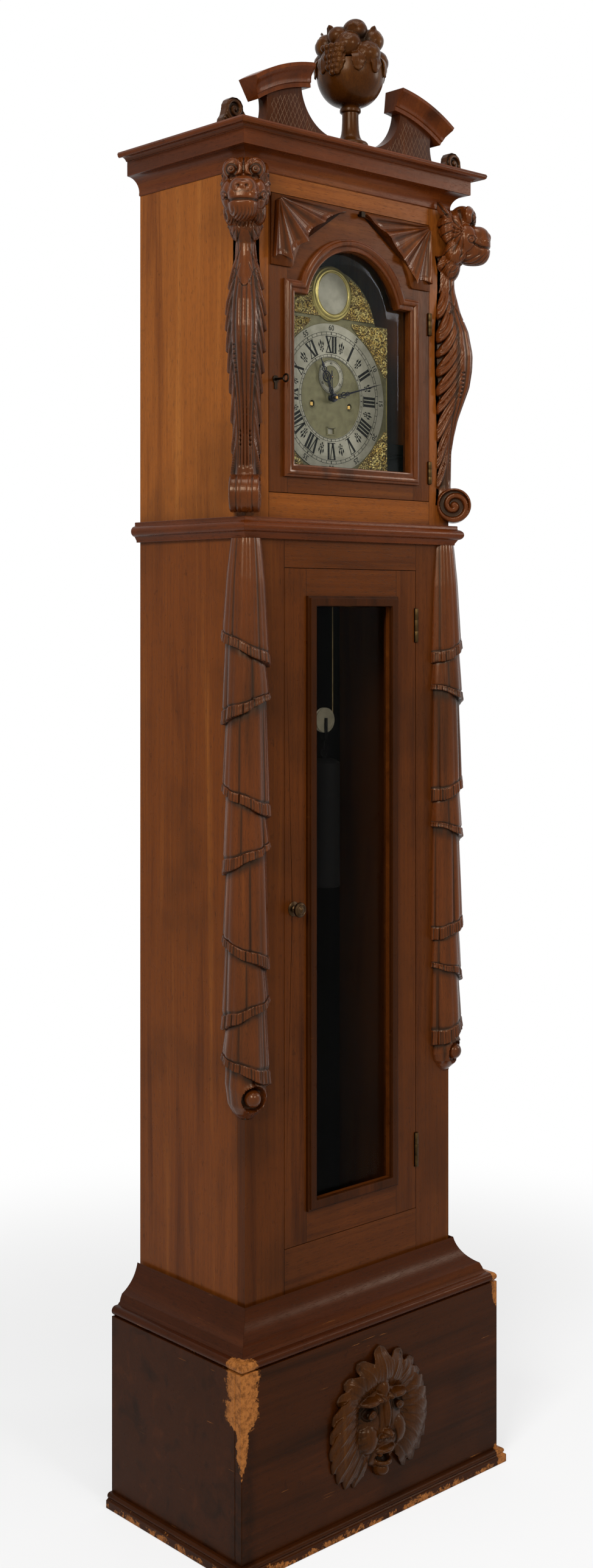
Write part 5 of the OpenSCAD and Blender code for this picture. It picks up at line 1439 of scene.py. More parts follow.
@dataclass
class Dial(SubAssembly):
    """The arched dial with its rings, numerals, mounts and hands."""

    y: float = CASE.dial_y
    z: float = CASE.dial_z
    half: float = 140.0
    shoulder: float = 117.0
    step: float = 99.0
    seconds_up: float = 37.0
    boss_up: float = 182.0
    hole_out: float = 45.0
    hole_down: float = 12.85
    ink: float = 0.18
    strokes: dict[str, list[tuple[float, float, float, float, float]]] = field(
        default_factory=lambda: {
            "I": [(0, 0, 0, 1, 4.6)],
            "V": [(-5.2, 1, 0, 0, 4.4), (5.2, 1, 0.6, 0, 1.7)],
            "X": [(-5.4, 1, 5.4, 0, 4.4), (5.4, 1, -5.4, 0, 1.7)]})
    widths: dict[str, float] = field(default_factory=lambda: {"I": 6.6, "V": 13.2, "X": 13.8})

    def build(self) -> None:
        """Builds the dial."""
        self.keep(DIAL_BRASS, "dial_plate", ease=0.4)
        self.keep(SILVERED, "dial_rings", "date_ring", ease=0.3)
        self.keep(BLUED, "seconds_hand", ease=0.25)
        self.hour_hand()
        self.minute_hand()
        self.hours()
        self.minutes()
        self.small_rings()
        self.plate_marks()
        self.mounts()
        self.boss()

    def at(self, turn: float, radius: float, across: float = 0.0, deep: float = 0.0,
           up: float = 0.0) -> Point:
        """A place on the dial.

        Args:
            turn: degrees clockwise from the top.
            radius: distance from the middle.
            across: further along the ring, clockwise.
            deep: how far it stands out from the plate.
            up: height of the ring's own middle over the dial's.

        Returns:
            The place in millimetres.
        """
        a = math.radians(turn)
        return (math.sin(a) * radius + math.cos(a) * across, self.y - deep,
                self.z + up + math.cos(a) * radius - math.sin(a) * across)

    def stroke(self, piece: Piece, turn: float, ends: Sequence[Point], thick: float,
               deep: float = RING_RISE, up: float = 0.0) -> None:
        """A filled stroke of wax between two points of the ring.

        Args:
            piece: the piece that takes it.
            turn: degrees clockwise that its own upright stands at.
            ends: the two ends, across and out from the middle.
            thick: how thick it is.
            deep: how far the ring under it stands out.
            up: height of the ring's middle over the dial's.
        """
        (x0, r0), (x1, r1) = ends
        half = thick / 2
        corners = ((x0 - half, r0), (x0 + half, r0), (x1 + half, r1), (x1 - half, r1))
        self.inlay(piece, turn, corners, deep, up)

    def inlay(self, piece: Piece, turn: float, spots: Sequence[Point], deep: float = RING_RISE,
              up: float = 0.0) -> None:
        """Fills an outline on a ring with wax.

        Args:
            piece: the piece that takes it.
            turn: degrees clockwise that its own upright stands at.
            spots: its corners, across and out from the middle.
            deep: how far the ring under it stands out.
            up: height of the ring's middle over the dial's.
        """
        placed = [self.at(turn, r, x, 0, up) for x, r in spots]
        piece.cut_out([(spot[0], spot[2]) for spot in placed], self.y - deep - self.ink,
                      self.y - deep + 0.02)

    def numeral(self, piece: Piece, turn: float, letters: str, low: float, high: float) -> None:
        """One Roman numeral with its feet to the middle.

        Args:
            piece: the piece that takes it.
            turn: degrees clockwise of its middle.
            letters: its letters.
            low: radius of its feet.
            high: radius of its heads.
        """
        total = sum(self.widths[c] for c in letters)
        squeeze = min(1.0, 46 / total)
        x = -total / 2 * squeeze
        for letter in letters:
            middle = x + self.widths[letter] / 2 * squeeze
            x += self.widths[letter] * squeeze
            for x0, s0, x1, s1, thick in self.strokes[letter]:
                r0, r1 = low + (high - low) * s0, low + (high - low) * s1
                self.stroke(piece, turn, ((middle + x0 * squeeze, r0), (middle + x1 * squeeze, r1)),
                            thick * max(squeeze, 0.8))
        for radius in (low, high):
            self.stroke(piece, turn, ((0, radius - 0.7), (0, radius + 0.7)), total * squeeze - 0.6)

    def hours(self) -> None:
        """The twelve hour numerals with a small leaf between each two."""
        piece = Piece("hour_numerals", "case", WAX, "silvered", crease=30.0)
        names = "XII I II III IIII V VI VII VIII IX X XI".split()
        for hour, letters in enumerate(names):
            self.numeral(piece, 30 * hour, letters, 79, 107.5)
            middle = 30 * hour + 15
            self.diamond(piece, middle, 98, 2.2, 6.2)
            for turn in (-2.9, 2.9):
                self.diamond(piece, middle + turn, 95.5, 1.9, 4.6)
                self.diamond(piece, middle + turn * 0.8, 86.5, 1.4, 2.6)
            self.stroke(piece, middle, ((0, 89.4), (0, 91.0)), 8.4)
            self.stroke(piece, middle, ((0, 83), (0, 94)), 1.4)
            self.diamond(piece, middle, 83, 1.9, 2.2)
        piece.done()

    def diamond(self, piece: Piece, turn: float, radius: float, half: float, tall: float) -> None:
        """A pointed spot on the hour ring.

        Args:
            piece: the piece that takes it.
            turn: degrees clockwise.
            radius: distance of its middle.
            half: half its width.
            tall: half its height.
        """
        self.inlay(piece, turn, ((0, radius - tall), (half, radius), (0, radius + tall),
                                 (-half, radius)))

    def hoop(self, piece: Piece, radius: float, thick: float, deep: float = RING_RISE,
             up: float = 0.0, steps: int = 120) -> None:
        """A fine engraved circle.

        Args:
            piece: the piece that takes it.
            radius: its radius.
            thick: width of the line.
            deep: how far the ring under it stands out.
            up: height of its middle over the dial's.
            steps: straight parts that it is made of.
        """
        foot = (0, self.y - deep + 0.02, self.z + up)
        piece.turned([(radius - thick / 2, 0.0), (radius - thick / 2, self.ink),
                      (radius + thick / 2, self.ink), (radius + thick / 2, 0.0)], foot, "Y", steps)

    def minutes(self) -> None:
        """The minute track, its figures and the quarter track inside."""
        piece = Piece("minute_track", "case", WAX, "silvered", crease=30.0)
        for radius in (110.2, 115.4, 71.9, 76.2):
            self.hoop(piece, radius, 0.75)
        for minute in range(60):
            thick = 2.0 if minute % 5 == 0 else 0.9
            self.stroke(piece, 6 * minute, ((0, 110.4), (0, 115.2)), thick)
        for quarter in range(48):
            thick = 1.5 if quarter % 4 == 0 else 0.7
            self.stroke(piece, 7.5 * quarter, ((0, 72), (0, 76)), thick)
        for k in range(12):
            self.figures(piece, str(5 * k or 60), 30 * k, 122.2, 12.5, 1.5)
        piece.done()

    def figures(self, piece: Piece, text: str, turn: float, radius: float, tall: float,
                deep: float, up: float = 0.0) -> None:
        """Plain figures set round a ring.

        Args:
            piece: the piece that takes them.
            text: the figures.
            turn: degrees clockwise of their middle.
            radius: distance of their middle.
            tall: how tall they are.
            deep: how far the ring under them stands out.
            up: height of the ring's middle over the dial's.
        """
        curve = bpy.data.curves.new("figures", "FONT")
        curve.body = text
        curve.align_x, curve.align_y = "CENTER", "CENTER"
        curve.size = tall * MM * 1.05
        curve.extrude = self.ink * MM
        curve.offset = tall * MM * 0.012
        curve.resolution_u = 3
        shown = linked("figures", curve)
        flat = evaluated(shown)
        before = set(piece.mesh.verts)
        piece.mesh.from_mesh(flat)
        fresh = [v for v in piece.mesh.verts if v not in before]
        for vert in fresh:
            x, r = vert.co.x / MM, radius + vert.co.y / MM
            vert.co = Vector(self.at(turn, r, x, deep + vert.co.z / MM, up)) * MM
        bpy.data.objects.remove(shown)
        bpy.data.curves.remove(curve)
        bpy.data.meshes.remove(flat)

    def small_rings(self) -> None:
        """The seconds ring's marks and figures, and the date's figure."""
        piece = Piece("seconds_track", "case", WAX, "silvered", crease=30.0)
        up = self.seconds_up
        for radius in (29.4, 26.9):
            self.hoop(piece, radius, 0.45, 1.0, up, 72)
        for k in range(60):
            self.stroke(piece, 6 * k, ((0, 27), (0, 29.3)), 0.8 if k % 5 == 0 else 0.4, 1.0, up)
        for k in range(6):
            self.figures(piece, str(10 * k or 60), 60 * k, 23.7, 5.2, 1.0, up)
        piece.done()
        date = Piece("date_figures", "date_ring", WAX, "silvered", crease=30.0)
        for k in range(31):
            self.figures(date, str((k + 11) % 31 + 1), 180 + k * 360 / 31, 57, 7.5, -3.32)
        date.done()

    def hand(self, node: str, body: str, hub: float) -> Piece:
        """Starts a hand on a copy of its node's hub and pipe.

        Args:
            node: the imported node.
            body: the body that it rides on.
            hub: radius of the hub that is kept.

        Returns:
            The piece, ready for its blade.
        """
        piece = Piece(node + "_pierced", body, BLUED, "blued_steel", (node,), crease=32.0)
        piece.mesh.from_mesh(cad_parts[node].data)
        bmesh.ops.remove_doubles(piece.mesh, verts=list(piece.mesh.verts), dist=2e-5)
        blade = [v for v in piece.mesh.verts if v.co.y / MM < self.y - 5
                 and math.hypot(v.co.x / MM, v.co.z / MM - self.z) > hub]
        bmesh.ops.delete(piece.mesh, geom=blade, context="VERTS")
        return piece

    def wrought(self, piece: Piece, turn: float, deep: float, path: Sequence[Point], thick: float
                ) -> None:
        """A bar of a pierced hand.

        Args:
            piece: the hand.
            turn: degrees clockwise that it points to.
            deep: how far it stands out from the plate.
            path: places across and out from the middle.
            thick: its radius.
        """
        spots = [self.at(turn, r, x, deep) for x, r in path]
        piece.tube(spots, lambda t: thick * (1 - 0.3 * t), 8)

    def scrolls(self, piece: Piece, turn: float, deep: float, loops: Sequence[Sequence[float]]
                ) -> None:
        """Pairs of open oval loops along a pierced hand.

        Args:
            piece: the hand.
            turn: degrees clockwise that it points to.
            deep: how far it stands out from the plate.
            loops: each pair's middle, half width, half height, sweep in degrees and thickness.
        """
        for side in (-1, 1):
            for middle, half, tall, sweep, thick in loops:
                turns = np.radians(np.linspace(-90, sweep - 90, 17))
                path = [(side * half * math.cos(a), middle + tall * math.sin(a)) for a in turns]
                self.wrought(piece, turn, deep, path, thick)

    def hour_hand(self) -> None:
        """The pierced hour hand with its rosette."""
        piece = self.hand("hour_hand", "hour", 6.6)
        turn, deep = 336.0, 7.4
        piece.turned([(4.2, 0.0), (7.4, 0.0), (7.8, 0.6), (7.4, 1.2), (4.2, 1.2)],
                     (0, self.y - 6.8, self.z), "Y", 32)
        self.wrought(piece, turn, deep, [(0, 6), (0, 30)], 1.5)
        self.scrolls(piece, turn, deep, ((14, 4.2, 6.0, 230, 1.1), (25, 3.2, 4.6, 230, 0.95),
                                         (39, 8.6, 9.5, 250, 1.35), (40, 4.6, 5.4, 300, 1.0),
                                         (53, 4.6, 4.4, 260, 1.0)))
        self.wrought(piece, turn, deep, [(0, 29), (0, 50), (0, 58)], 1.3)
        outline = [(0, 76.5), (1.2, 66), (3.2, 60), (0, 54), (-3.2, 60), (-1.2, 66)]
        self.blade(piece, turn, deep, outline)
        piece.done()

    def minute_hand(self) -> None:
        """The minute hand, its scrolls near the middle and its long point."""
        piece = self.hand("minute_hand", "centre", 5.6)
        turn, deep = 74.0, 11.4
        piece.turned([(3.2, 0.0), (6.2, 0.0), (6.6, 0.6), (6.2, 1.2), (3.2, 1.2)],
                     (0, self.y - 10.8, self.z), "Y", 32)
        self.wrought(piece, turn, deep, [(0, 5), (0, 24)], 1.3)
        self.scrolls(piece, turn, deep, ((12, 3.8, 5.0, 240, 1.0), (22, 4.8, 5.6, 250, 1.0),
                                         (32, 3.2, 4.2, 260, 0.9)))
        self.blade(piece, turn, deep, [(-1.7, 20), (1.7, 20), (1.3, 60), (0.9, 100), (0.15, 118.5),
                                       (-0.15, 118.5), (-0.9, 100), (-1.3, 60)])
        piece.done()

    def blade(self, piece: Piece, turn: float, deep: float, outline: Sequence[Point]) -> None:
        """A flat blade of a hand.

        Args:
            piece: the hand.
            turn: degrees clockwise that it points to.
            deep: how far its middle stands out from the plate.
            outline: places across and out from the middle.
        """
        spots = [self.at(turn, r, x) for x, r in outline]
        piece.cut_out([(s[0], s[2]) for s in spots], self.y - deep - 0.5, self.y - deep + 0.5, 0.15)

    def plate_marks(self) -> None:
        """Ringed winding holes, the bevelled edge of the date opening and the border."""
        piece = Piece("plate_rings", "case", DIAL_BRASS, "dial_brass", crease=25.0)
        for side in (-1, 1):
            foot = (side * self.hole_out, self.y + 0.1, self.z - self.hole_down)
            collar = [(5.9, 0.0), (5.9, 0.4), (6.6, 1.0), (7.4, 0.8), (8.2, 0.1)]
            piece.turned(collar, foot, "Y", 48)
        foot = (0, self.y + 0.1, self.z)
        piece.turned([(6.8, 0.0), (7.4, 1.0), (9.2, 1.1), (9.9, 0.1)], foot, "Y", 48)
        for x0, z0, x1, z1 in ((-11, -53, 11, -50.4), (-11, -65.6, 11, -63),
                               (-11, -63.2, -7.2, -50.6), (7.2, -63.2, 11, -50.6)):
            piece.slab((x0, self.y - 1.2, self.z + z0), (x1, self.y + 0.1, self.z + z1), 0.5)
        piece.done()
        border = Piece("plate_border", "case", MOUNT_BRASS, "dial_brass", crease=25.0)
        front, back = self.y - 0.9, self.y + 0.1
        foot, top, edge = self.z - self.half, self.z + self.shoulder, self.half - 1
        for side in (-1, 1):
            border.slab((edge * side - 0.9, front, foot), (edge * side + 0.9, back, top), 0.3)
        border.slab((-self.half, front, foot), (self.half, back, foot + 1.8), 0.3)
        for near, far in ((-self.half, -self.step), (self.step, self.half)):
            border.slab((near, front, top - 1.6), (far, back, top + 0.2), 0.3)
        border.done()
        for side, name, body in ((1, "right", "going_barrel"), (-1, "left", "strike_barrel")):
            square = Piece(f"winding_square_{name}", body, DARK_STEEL, "blued_steel", crease=25.0)
            x, z = self.hole_out * side, self.z - self.hole_down
            square.slab((x - 2.4, self.y + 2.2, z - 2.4), (x + 2.4, self.y + 6, z + 2.4), 0.4)
            square.turned([(0.05, 0.0), (5.7, 0.0), (5.7, 2.6), (0.05, 2.6)],
                          (x, self.y + 6, z), "Y", 40)
            square.done()

    def mounts(self) -> None:
        """The cast and gilt mounts in the corners and in the arch."""
        data = sculptable("dial_mounts", 0.75, 2, lambda v: math.hypot(
            v.x / MM, v.z / MM - self.z - self.boss_up) > 47.6)
        spots, normals = points_of(data)
        x = np.abs(spots[:, 0])
        z = spots[:, 2] - self.z
        high = self.scrollwork(x, z)
        front = np.clip(-normals[:, 1], 0, 1) * (spots[:, 1] < self.y - 1.2)
        spots[:, 1] -= (high * 3.4 - 1.1) * front
        # High places of the scrollwork take rub and painted highlight, and low places painted
        # shade.
        rub = ease(high, 0.45, 0.95) * front
        hollow = ease(high, 0.42, 0.12) * front
        piece = Piece("gilt_mounts", "case", GILT, "dial_brass", ("dial_mounts",), crease=60.0)
        carved_piece(data, spots, piece, {"hollow": hollow, "rub": rub})

    def scrollwork(self, x: np.ndarray, z: np.ndarray) -> np.ndarray:
        """Height of the scrolls and leaves, from 0 to 1.

        Args:
            x: places across, to one side of the middle.
            z: places up from the dial's middle.

        Returns:
            The heights.
        """
        corner_z = np.where(z > 0, 135.0, -138.0)
        a = 138 - x
        b = np.abs(corner_z - z)
        a, b = np.maximum(a, b), np.minimum(a, b)
        high = np.zeros_like(x)
        curls = [(15, 13, 13, 1), (40, 11, 11, -1), (62, 9, 8.5, 1), (30, 27, 9, -1), (27, 3, 5, 1),
                 (52, 20, 6, 1), (78, 6, 6, -1)]
        for cx, cz, size, way in curls:
            high = np.maximum(high, self.curl(a - cx, b - cz, size, way))
        in_arch = z > 139
        ax, az = x - 78, z - 154
        arch = np.zeros_like(x)
        curls = ((0, 0, 14, 1), (22, -10, 9, -1), (-22, 2, 9, -1), (-8, 24, 10, 1),
                 (12, 20, 6, -1), (-26, 24, 7, 1), (-34, 40, 7, -1), (-14, 42, 6, 1),
                 (-42, 54, 6, 1), (4, -16, 6, 1))
        for cx, cz, size, way in curls:
            arch = np.maximum(arch, self.curl(ax - cx, az - cz, size, way))
        return np.where(in_arch, arch, high)

    def curl(self, x: np.ndarray, z: np.ndarray, size: float, way: int) -> np.ndarray:
        """A leafy scroll round one point.

        Args:
            x: places across from its eye.
            z: places up from its eye.
            size: its reach.
            way: 1 where it turns one way and -1 the other.

        Returns:
            Its height, from 0 to 1.
        """
        far = np.hypot(x, z) / size
        turn = np.arctan2(z, x) * way / math.tau
        wound = far * 1.55 - turn
        band = 0.5 + 0.5 * np.cos(wound * math.tau)
        veins = 0.86 + 0.14 * np.cos(turn * math.tau * 9 + far * 6)
        eye = ease(far, 0.26, 0.12)
        return np.maximum(band ** 0.8 * veins * ease(far, 1.35, 0.95), eye)

    def boss(self) -> None:
        """The bare arch disc in its ring."""
        foot = (0, self.y + 0.1, self.z + self.boss_up)
        ring = Piece("boss_ring", "case", MOUNT_BRASS, "dial_brass", crease=25.0)
        ring.turned([(35.8, 5.0), (36.0, 6.8), (37.2, 7.4), (38.4, 6.8), (39.8, 6.8), (41.0, 7.2),
                     (42.4, 6.6), (43.4, 5.2), (46.2, 4.8), (47.2, 3.6), (48.6, 2.2), (48.8, 0.0)],
                    foot, "Y", 96)
        ring.done()
        disc = Piece("boss_disc", "case", SILVERED, "silvered", crease=25.0)
        disc.turned([(0.0, 6.0), (20.0, 5.8), (32.0, 5.3), (35.9, 5.0), (35.9, 0.0), (0.0, 0.0)],
                    foot, "Y", 96)
        disc.done()


@dataclass
class Movement(SubAssembly):
    """Wheels, plates, bell, pendulum and weights."""

    line_x: float = 69.9
    pulley_x: float = 49.0
    line_y: float = 19.0
    pulley_z: float = 1349.0
    barrel_z: float = 1827.8
    seat_z: float = 1751.4
    line_r: float = 0.8

    def build(self) -> None:
        """Dresses the movement and hangs the lines."""
        self.keep(TRAIN_BRASS, "movement_frame", "going_barrel", "strike_barrel", "great_wheel",
                  "strike_wheel", "centre_wheel", "third_wheel", "escape_wheel", "minute_wheel",
                  "pin_wheel", "bell", "pendulum_bob", "pendulum_rod", ease=0.2)
        self.keep(PULLEY, "pulley_left", "pulley_right", ease=0.2)
        self.keep(POLISHED, "anchor", "hammer", ease=0.2)
        self.keep(IRON, "weight_left", "weight_right", ease=0.5)
        for side, name in SIDES:
            self.hang(side, name)

    def hang(self, side: int, name: str) -> None:
        """One gut line, from its barrel round the pulley and up to the seatboard.

        Args:
            side: -1 for the left, 1 for the right.
            name: its side in words.
        """
        radius = self.line_x - self.pulley_x
        path = [(side * self.line_x, self.line_y, self.barrel_z)]
        path += [(side * (self.pulley_x + radius * math.cos(a)), self.line_y,
                  self.pulley_z - radius * math.sin(a)) for a in np.linspace(0, math.pi, 25)]
        path.append((side * (self.pulley_x - radius), self.line_y, self.seat_z))
        piece = Piece(f"gut_line_{name}", "", GUT, "gut", (f"line_{name}",), crease=60.0)
        piece.tube(path, self.line_r, 12)
        line = piece.done()
        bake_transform(line)


@dataclass
class TrunkDoor(SubAssembly):
    """The long trunk door with its glass, moulding, hinges and knob."""

    stile: float = 108.5
    knob: tuple[float, float, float] = (-138.0, -103.0, 1045.2)

    def build(self) -> None:
        """Builds the trunk door."""
        self.keep(replace(RED_BOARD, name="trunk_door_wood", crossed=self.stile, seed=3.0),
                  "trunk_door_frame", ease=0.8)
        self.keep(replace(DARK_BOARD, name="trunk_bead"), "trunk_door_moulding", ease=1.2)
        self.keep(TRUNK_GLASS, "trunk_door_glass", ease=0.6)
        self.keep(OLD_BRASS, "trunk_hinges", "trunk_door_leaves", ease=0.4)
        self.turn_knob()

    def turn_knob(self) -> None:
        """The turned knob, with rings on its face and its button behind."""
        piece = Piece("knob", "trunk_knob", KNOB_BRASS, "knob", ("trunk_knob",), crease=30.0)
        piece.turned([(0.0, 0.3), (12.2, 0.3), (12.4, 1.2), (10.4, 2.4), (6.0, 3.6), (4.7, 5.4),
                      (4.6, 7.6), (6.4, 9.4), (9.4, 11.2), (11.8, 13.4), (12.7, 15.6), (12.3, 18.0),
                      (10.6, 19.7), (9.4, 20.1), (8.6, 19.6), (7.8, 20.3), (6.4, 21.3), (5.2, 21.0),
                      (4.2, 21.6), (2.0, 22.8), (0.0, 23.2)], self.knob, "Y", 64)
        x, y, z = self.knob
        foot = (x, y + 26, z)
        piece.turned([(0, 0), (3, 0), (3, 26.0), (0, 26.0)], foot, "Y", 24)
        piece.slab((x - 5, y + 21, z - 9), (x + 5, y + 25, z + 26), 1.2)
        piece.done()


@dataclass
class HoodDoor(SubAssembly):
    """The arched hood door with its glass, moulding, carved wings, lock and key."""

    sight_half: float = 140.0
    sight_foot: float = 1791.0
    sight_up: float = 286.0
    arch_z: float = 2051.0
    arch_r: float = 112.0
    wing_out: float = 191.0
    wing_top: float = 2237.0
    wing_foot: float = 2119.0
    wing_step: float = 19.0
    sweep_z: float = 2083.0
    sweep_r: float = 147.0
    tips: tuple[Point, ...] = ((2, -106), (42, -110), (76, -72), (114, -34), (168, -6))
    dips: tuple[Point, ...] = ((22, -100), (52, -86), (88, -50), (134, -20))

    def build(self) -> None:
        """Builds the hood door."""
        self.keep(replace(RED_BOARD, name="hood_door_wood", crossed=152.0, seed=5.0),
                  "hood_door_frame", ease=0.8)
        self.keep(OLD_BRASS, "hood_hinges", "hood_door_leaves", ease=0.3)
        self.keep(DARK_STEEL, "hood_lock", "hood_key", ease=0.3)
        self.bead()
        self.glass()
        for side, name in SIDES:
            self.wing(side, name)
            self.wing_plate(side, name)

    def outline(self, grow: float) -> list[tuple[float, float]]:
        """The opening's outline, grown all round.

        Args:
            grow: how far it is grown in millimetres.

        Returns:
            Points across and up, from the lower left corner round.
        """
        half, foot = self.sight_half + grow, self.sight_foot - grow
        top = self.sight_foot + self.sight_up + grow
        r = self.arch_r + grow
        rise = math.degrees(math.asin(min((top - self.arch_z) / r, 1.0)))
        arch = arc(0, self.arch_z, r, rise, 180 - rise, 56)
        sides = [(half, foot + (top - foot) * k / 24) for k in range(25)]
        rail = [(-half + 2 * half * k / 24, foot) for k in range(25)]
        start = (arch[0][0], top)
        shoulder = [(half + (start[0] - half) * k / 3, top) for k in range(1, 3)]
        left = [(-x, z) for x, z in reversed(shoulder)]
        last = [(-x, z) for x, z in reversed(sides)]
        return rail[:-1] + sides + shoulder + arch + left + last[:-1]

    def bead(self) -> None:
        """The raised moulding round the opening."""
        profile = [(0.5, 0.2), (0.5, 4.2), (1.4, 5.8), (3.4, 6.2), (5.6, 5.4), (8.2, 5.0),
                   (9.2, 6.8), (11.2, 9.0), (14.0, 9.6), (17.0, 8.6), (18.4, 6.4), (19.6, 5.6),
                   (21.4, 5.2), (22.0, 4.2), (22.0, 0.2)]
        piece = Piece("hood_bead", "hood_door", CARVED, "carved_wood", ("hood_door_moulding",),
                      crease=28.0)
        rings = []
        front = CASE.front - 0.1
        outlines = [self.outline(grow) for grow, _ in profile]
        count = len(outlines[0])
        for k in range(count):
            rings.append([(outlines[i][k][0], front - up, outlines[i][k][1])
                          for i, (_, up) in enumerate(profile)])
        piece.loft(rings + [rings[0]], caps=False)
        piece.done()

    def glass(self) -> None:
        """The bevelled glass."""
        piece = Piece("hood_glass", "hood_door", HOOD_GLASS, "glass", ("hood_door_glass",),
                      crease=12.0)
        front, back = CASE.front + 9.2, CASE.front + 12.0
        bm = piece.mesh
        mark = bm.verts.layers.float.new("bevel")
        outer = [bm.verts.new(Vector((x, front + 1.6, z)) * MM) for x, z in self.outline(6.3)]
        for vert in outer:
            vert[mark] = 1.0
        rim = [bm.edges.new((outer[i - 1], outer[i])) for i in range(len(outer))]
        made = bmesh.ops.extrude_edge_only(bm, edges=rim)["geom"]
        inner = verts_of(made)
        inside = self.outline(-18.0)
        for vert in inner:
            near = min(range(len(outer)), key=lambda i: (outer[i].co - vert.co).length)
            vert.co = Vector((inside[near][0], front, inside[near][1])) * MM
            vert[mark] = 0.6
        made = bmesh.ops.extrude_edge_only(bm, edges=edges_among(made, inner))["geom"]
        flat = verts_of(made)
        middle = Vector((0, front, 1940)) * MM
        for vert in flat:
            vert.co = middle + (vert.co - middle) * 0.985
            vert[mark] = 0.0
        bmesh.ops.edgeloop_fill(bm, edges=edges_among(made, flat))
        made = bmesh.ops.extrude_edge_only(bm, edges=rim)["geom"]
        rear = verts_of(made)
        for vert in rear:
            vert.co.y = back * MM
        bmesh.ops.edgeloop_fill(bm, edges=edges_among(made, rear))
        piece.done()

    def scallops(self, steps: int) -> list[np.ndarray]:
        """A wing's lower edge, from rib to rib.

        Args:
            steps: how many points each web takes.

        Returns:
            Points across and up from the wing's upper outer corner.
        """
        tips, dips = np.array(self.tips, dtype=float), np.array(self.dips, dtype=float)
        edge = []
        for a, b, c in zip(tips, dips, tips[1:]):
            middle = 2 * b - (a + c) / 2
            for t in (step / steps for step in range(steps)):
                edge.append((1 - t) ** 2 * a + 2 * t * (1 - t) * middle + t * t * c)
        return edge + [tips[-1]]

    def wing(self, side: int, name: str) -> None:
        """A carved wing over the arch: ribs that stand out from gouged webs.

        Args:
            side: -1 for the left wing and 1 for the right one.
            name: name of the side.
        """
        piece = Piece(f"wing_{name}", "hood_door", CARVED, "carved_wood", ("hood_wings",),
                      crease=50.0)
        apex = np.array([8.0, -6.0])
        per, steps, rim = 22, 30, 0.93
        edge = self.scallops(per)
        rings, hollow, rub = [], [], []
        for s in (step / steps for step in range(steps + 1)):
            ring, marks, rubs_and_highlights = [], [], []
            for i, spot in enumerate(edge):
                t = (i % per) / per
                near_rib = abs(math.cos(math.pi * t))
                rib = near_rib ** 14
                place = apex + (spot - apex) * (0.06 + 0.94 * s)
                dip = (1 - near_rib ** 3) * (3.2 + 4.4 * s) * min(1, s * 5)
                deep = 13.2 - 1.4 * s - dip + rib * 1.2
                lines = 0.35 * math.cos(t * math.tau * 7) * (1 - rib) * s
                if s > rim:
                    deep += 1.0 * (1 - rib)
                gouge = max(0.0, (0.95 - near_rib) * 3) * max(0.0, near_rib - 0.55) * 3
                ring.append((side * (place[0] - self.wing_out),
                             CASE.front - 0.3 - max(deep + lines, 1.2), self.wing_top + place[1]))
                # Painted shade in the gouges and the webs; the ribs and the rim take rub and
                # painted highlight.
                marks.append(min(1.0, gouge + (1 - rib) * 0.25 * (s < rim)))
                rubs_and_highlights.append(rib * 0.9 + 0.5 * (s > rim))
            ring += [(x, CASE.front - 0.2, z) for x, _, z in (ring[-1], ring[0])]
            rings.append(ring)
            # The two closing points against the door take full painted shade.
            hollow.append(marks + [1.0, 1.0])
            rub.append(rubs_and_highlights + [0.0, 0.0])
        rows = {"": rings, "hollow": hollow, "rub": rub}
        if side > 0:
            rows = {key: [row[::-1] for row in kept] for key, kept in rows.items()}
        piece.loft(rows.pop(""), marks=rows)
        piece.done()

    def wing_plate(self, side: int, name: str) -> None:
        """The thin plate behind a wing, swept to the arch.

        Args:
            side: -1 for the left wing and 1 for the right one.
            name: name of the side.
        """
        piece = Piece(f"wing_plate_{name}", "hood_door", RED_BOARD, "carved_wood",
                      ("hood_wings",), crease=30.0)
        out, step = -self.wing_out, -self.wing_step
        base = [(out, self.wing_top), (step, self.wing_top), (step, self.wing_top - 6)]
        start = math.degrees(math.atan2(math.sqrt(self.sweep_r ** 2 - step ** 2), step))
        sweep = [(x, z) for x, z in arc(0, self.sweep_z, self.sweep_r, start, 168, 40)
                 if x > out and z > self.wing_foot + 1]
        low = [(out + 45, self.wing_foot), (out, self.wing_foot)]
        outline = [(side * x, z) for x, z in base + sweep + low]
        piece.cut_out(outline, CASE.front - 4.0, CASE.front - 0.3, 0.6)
        piece.done()


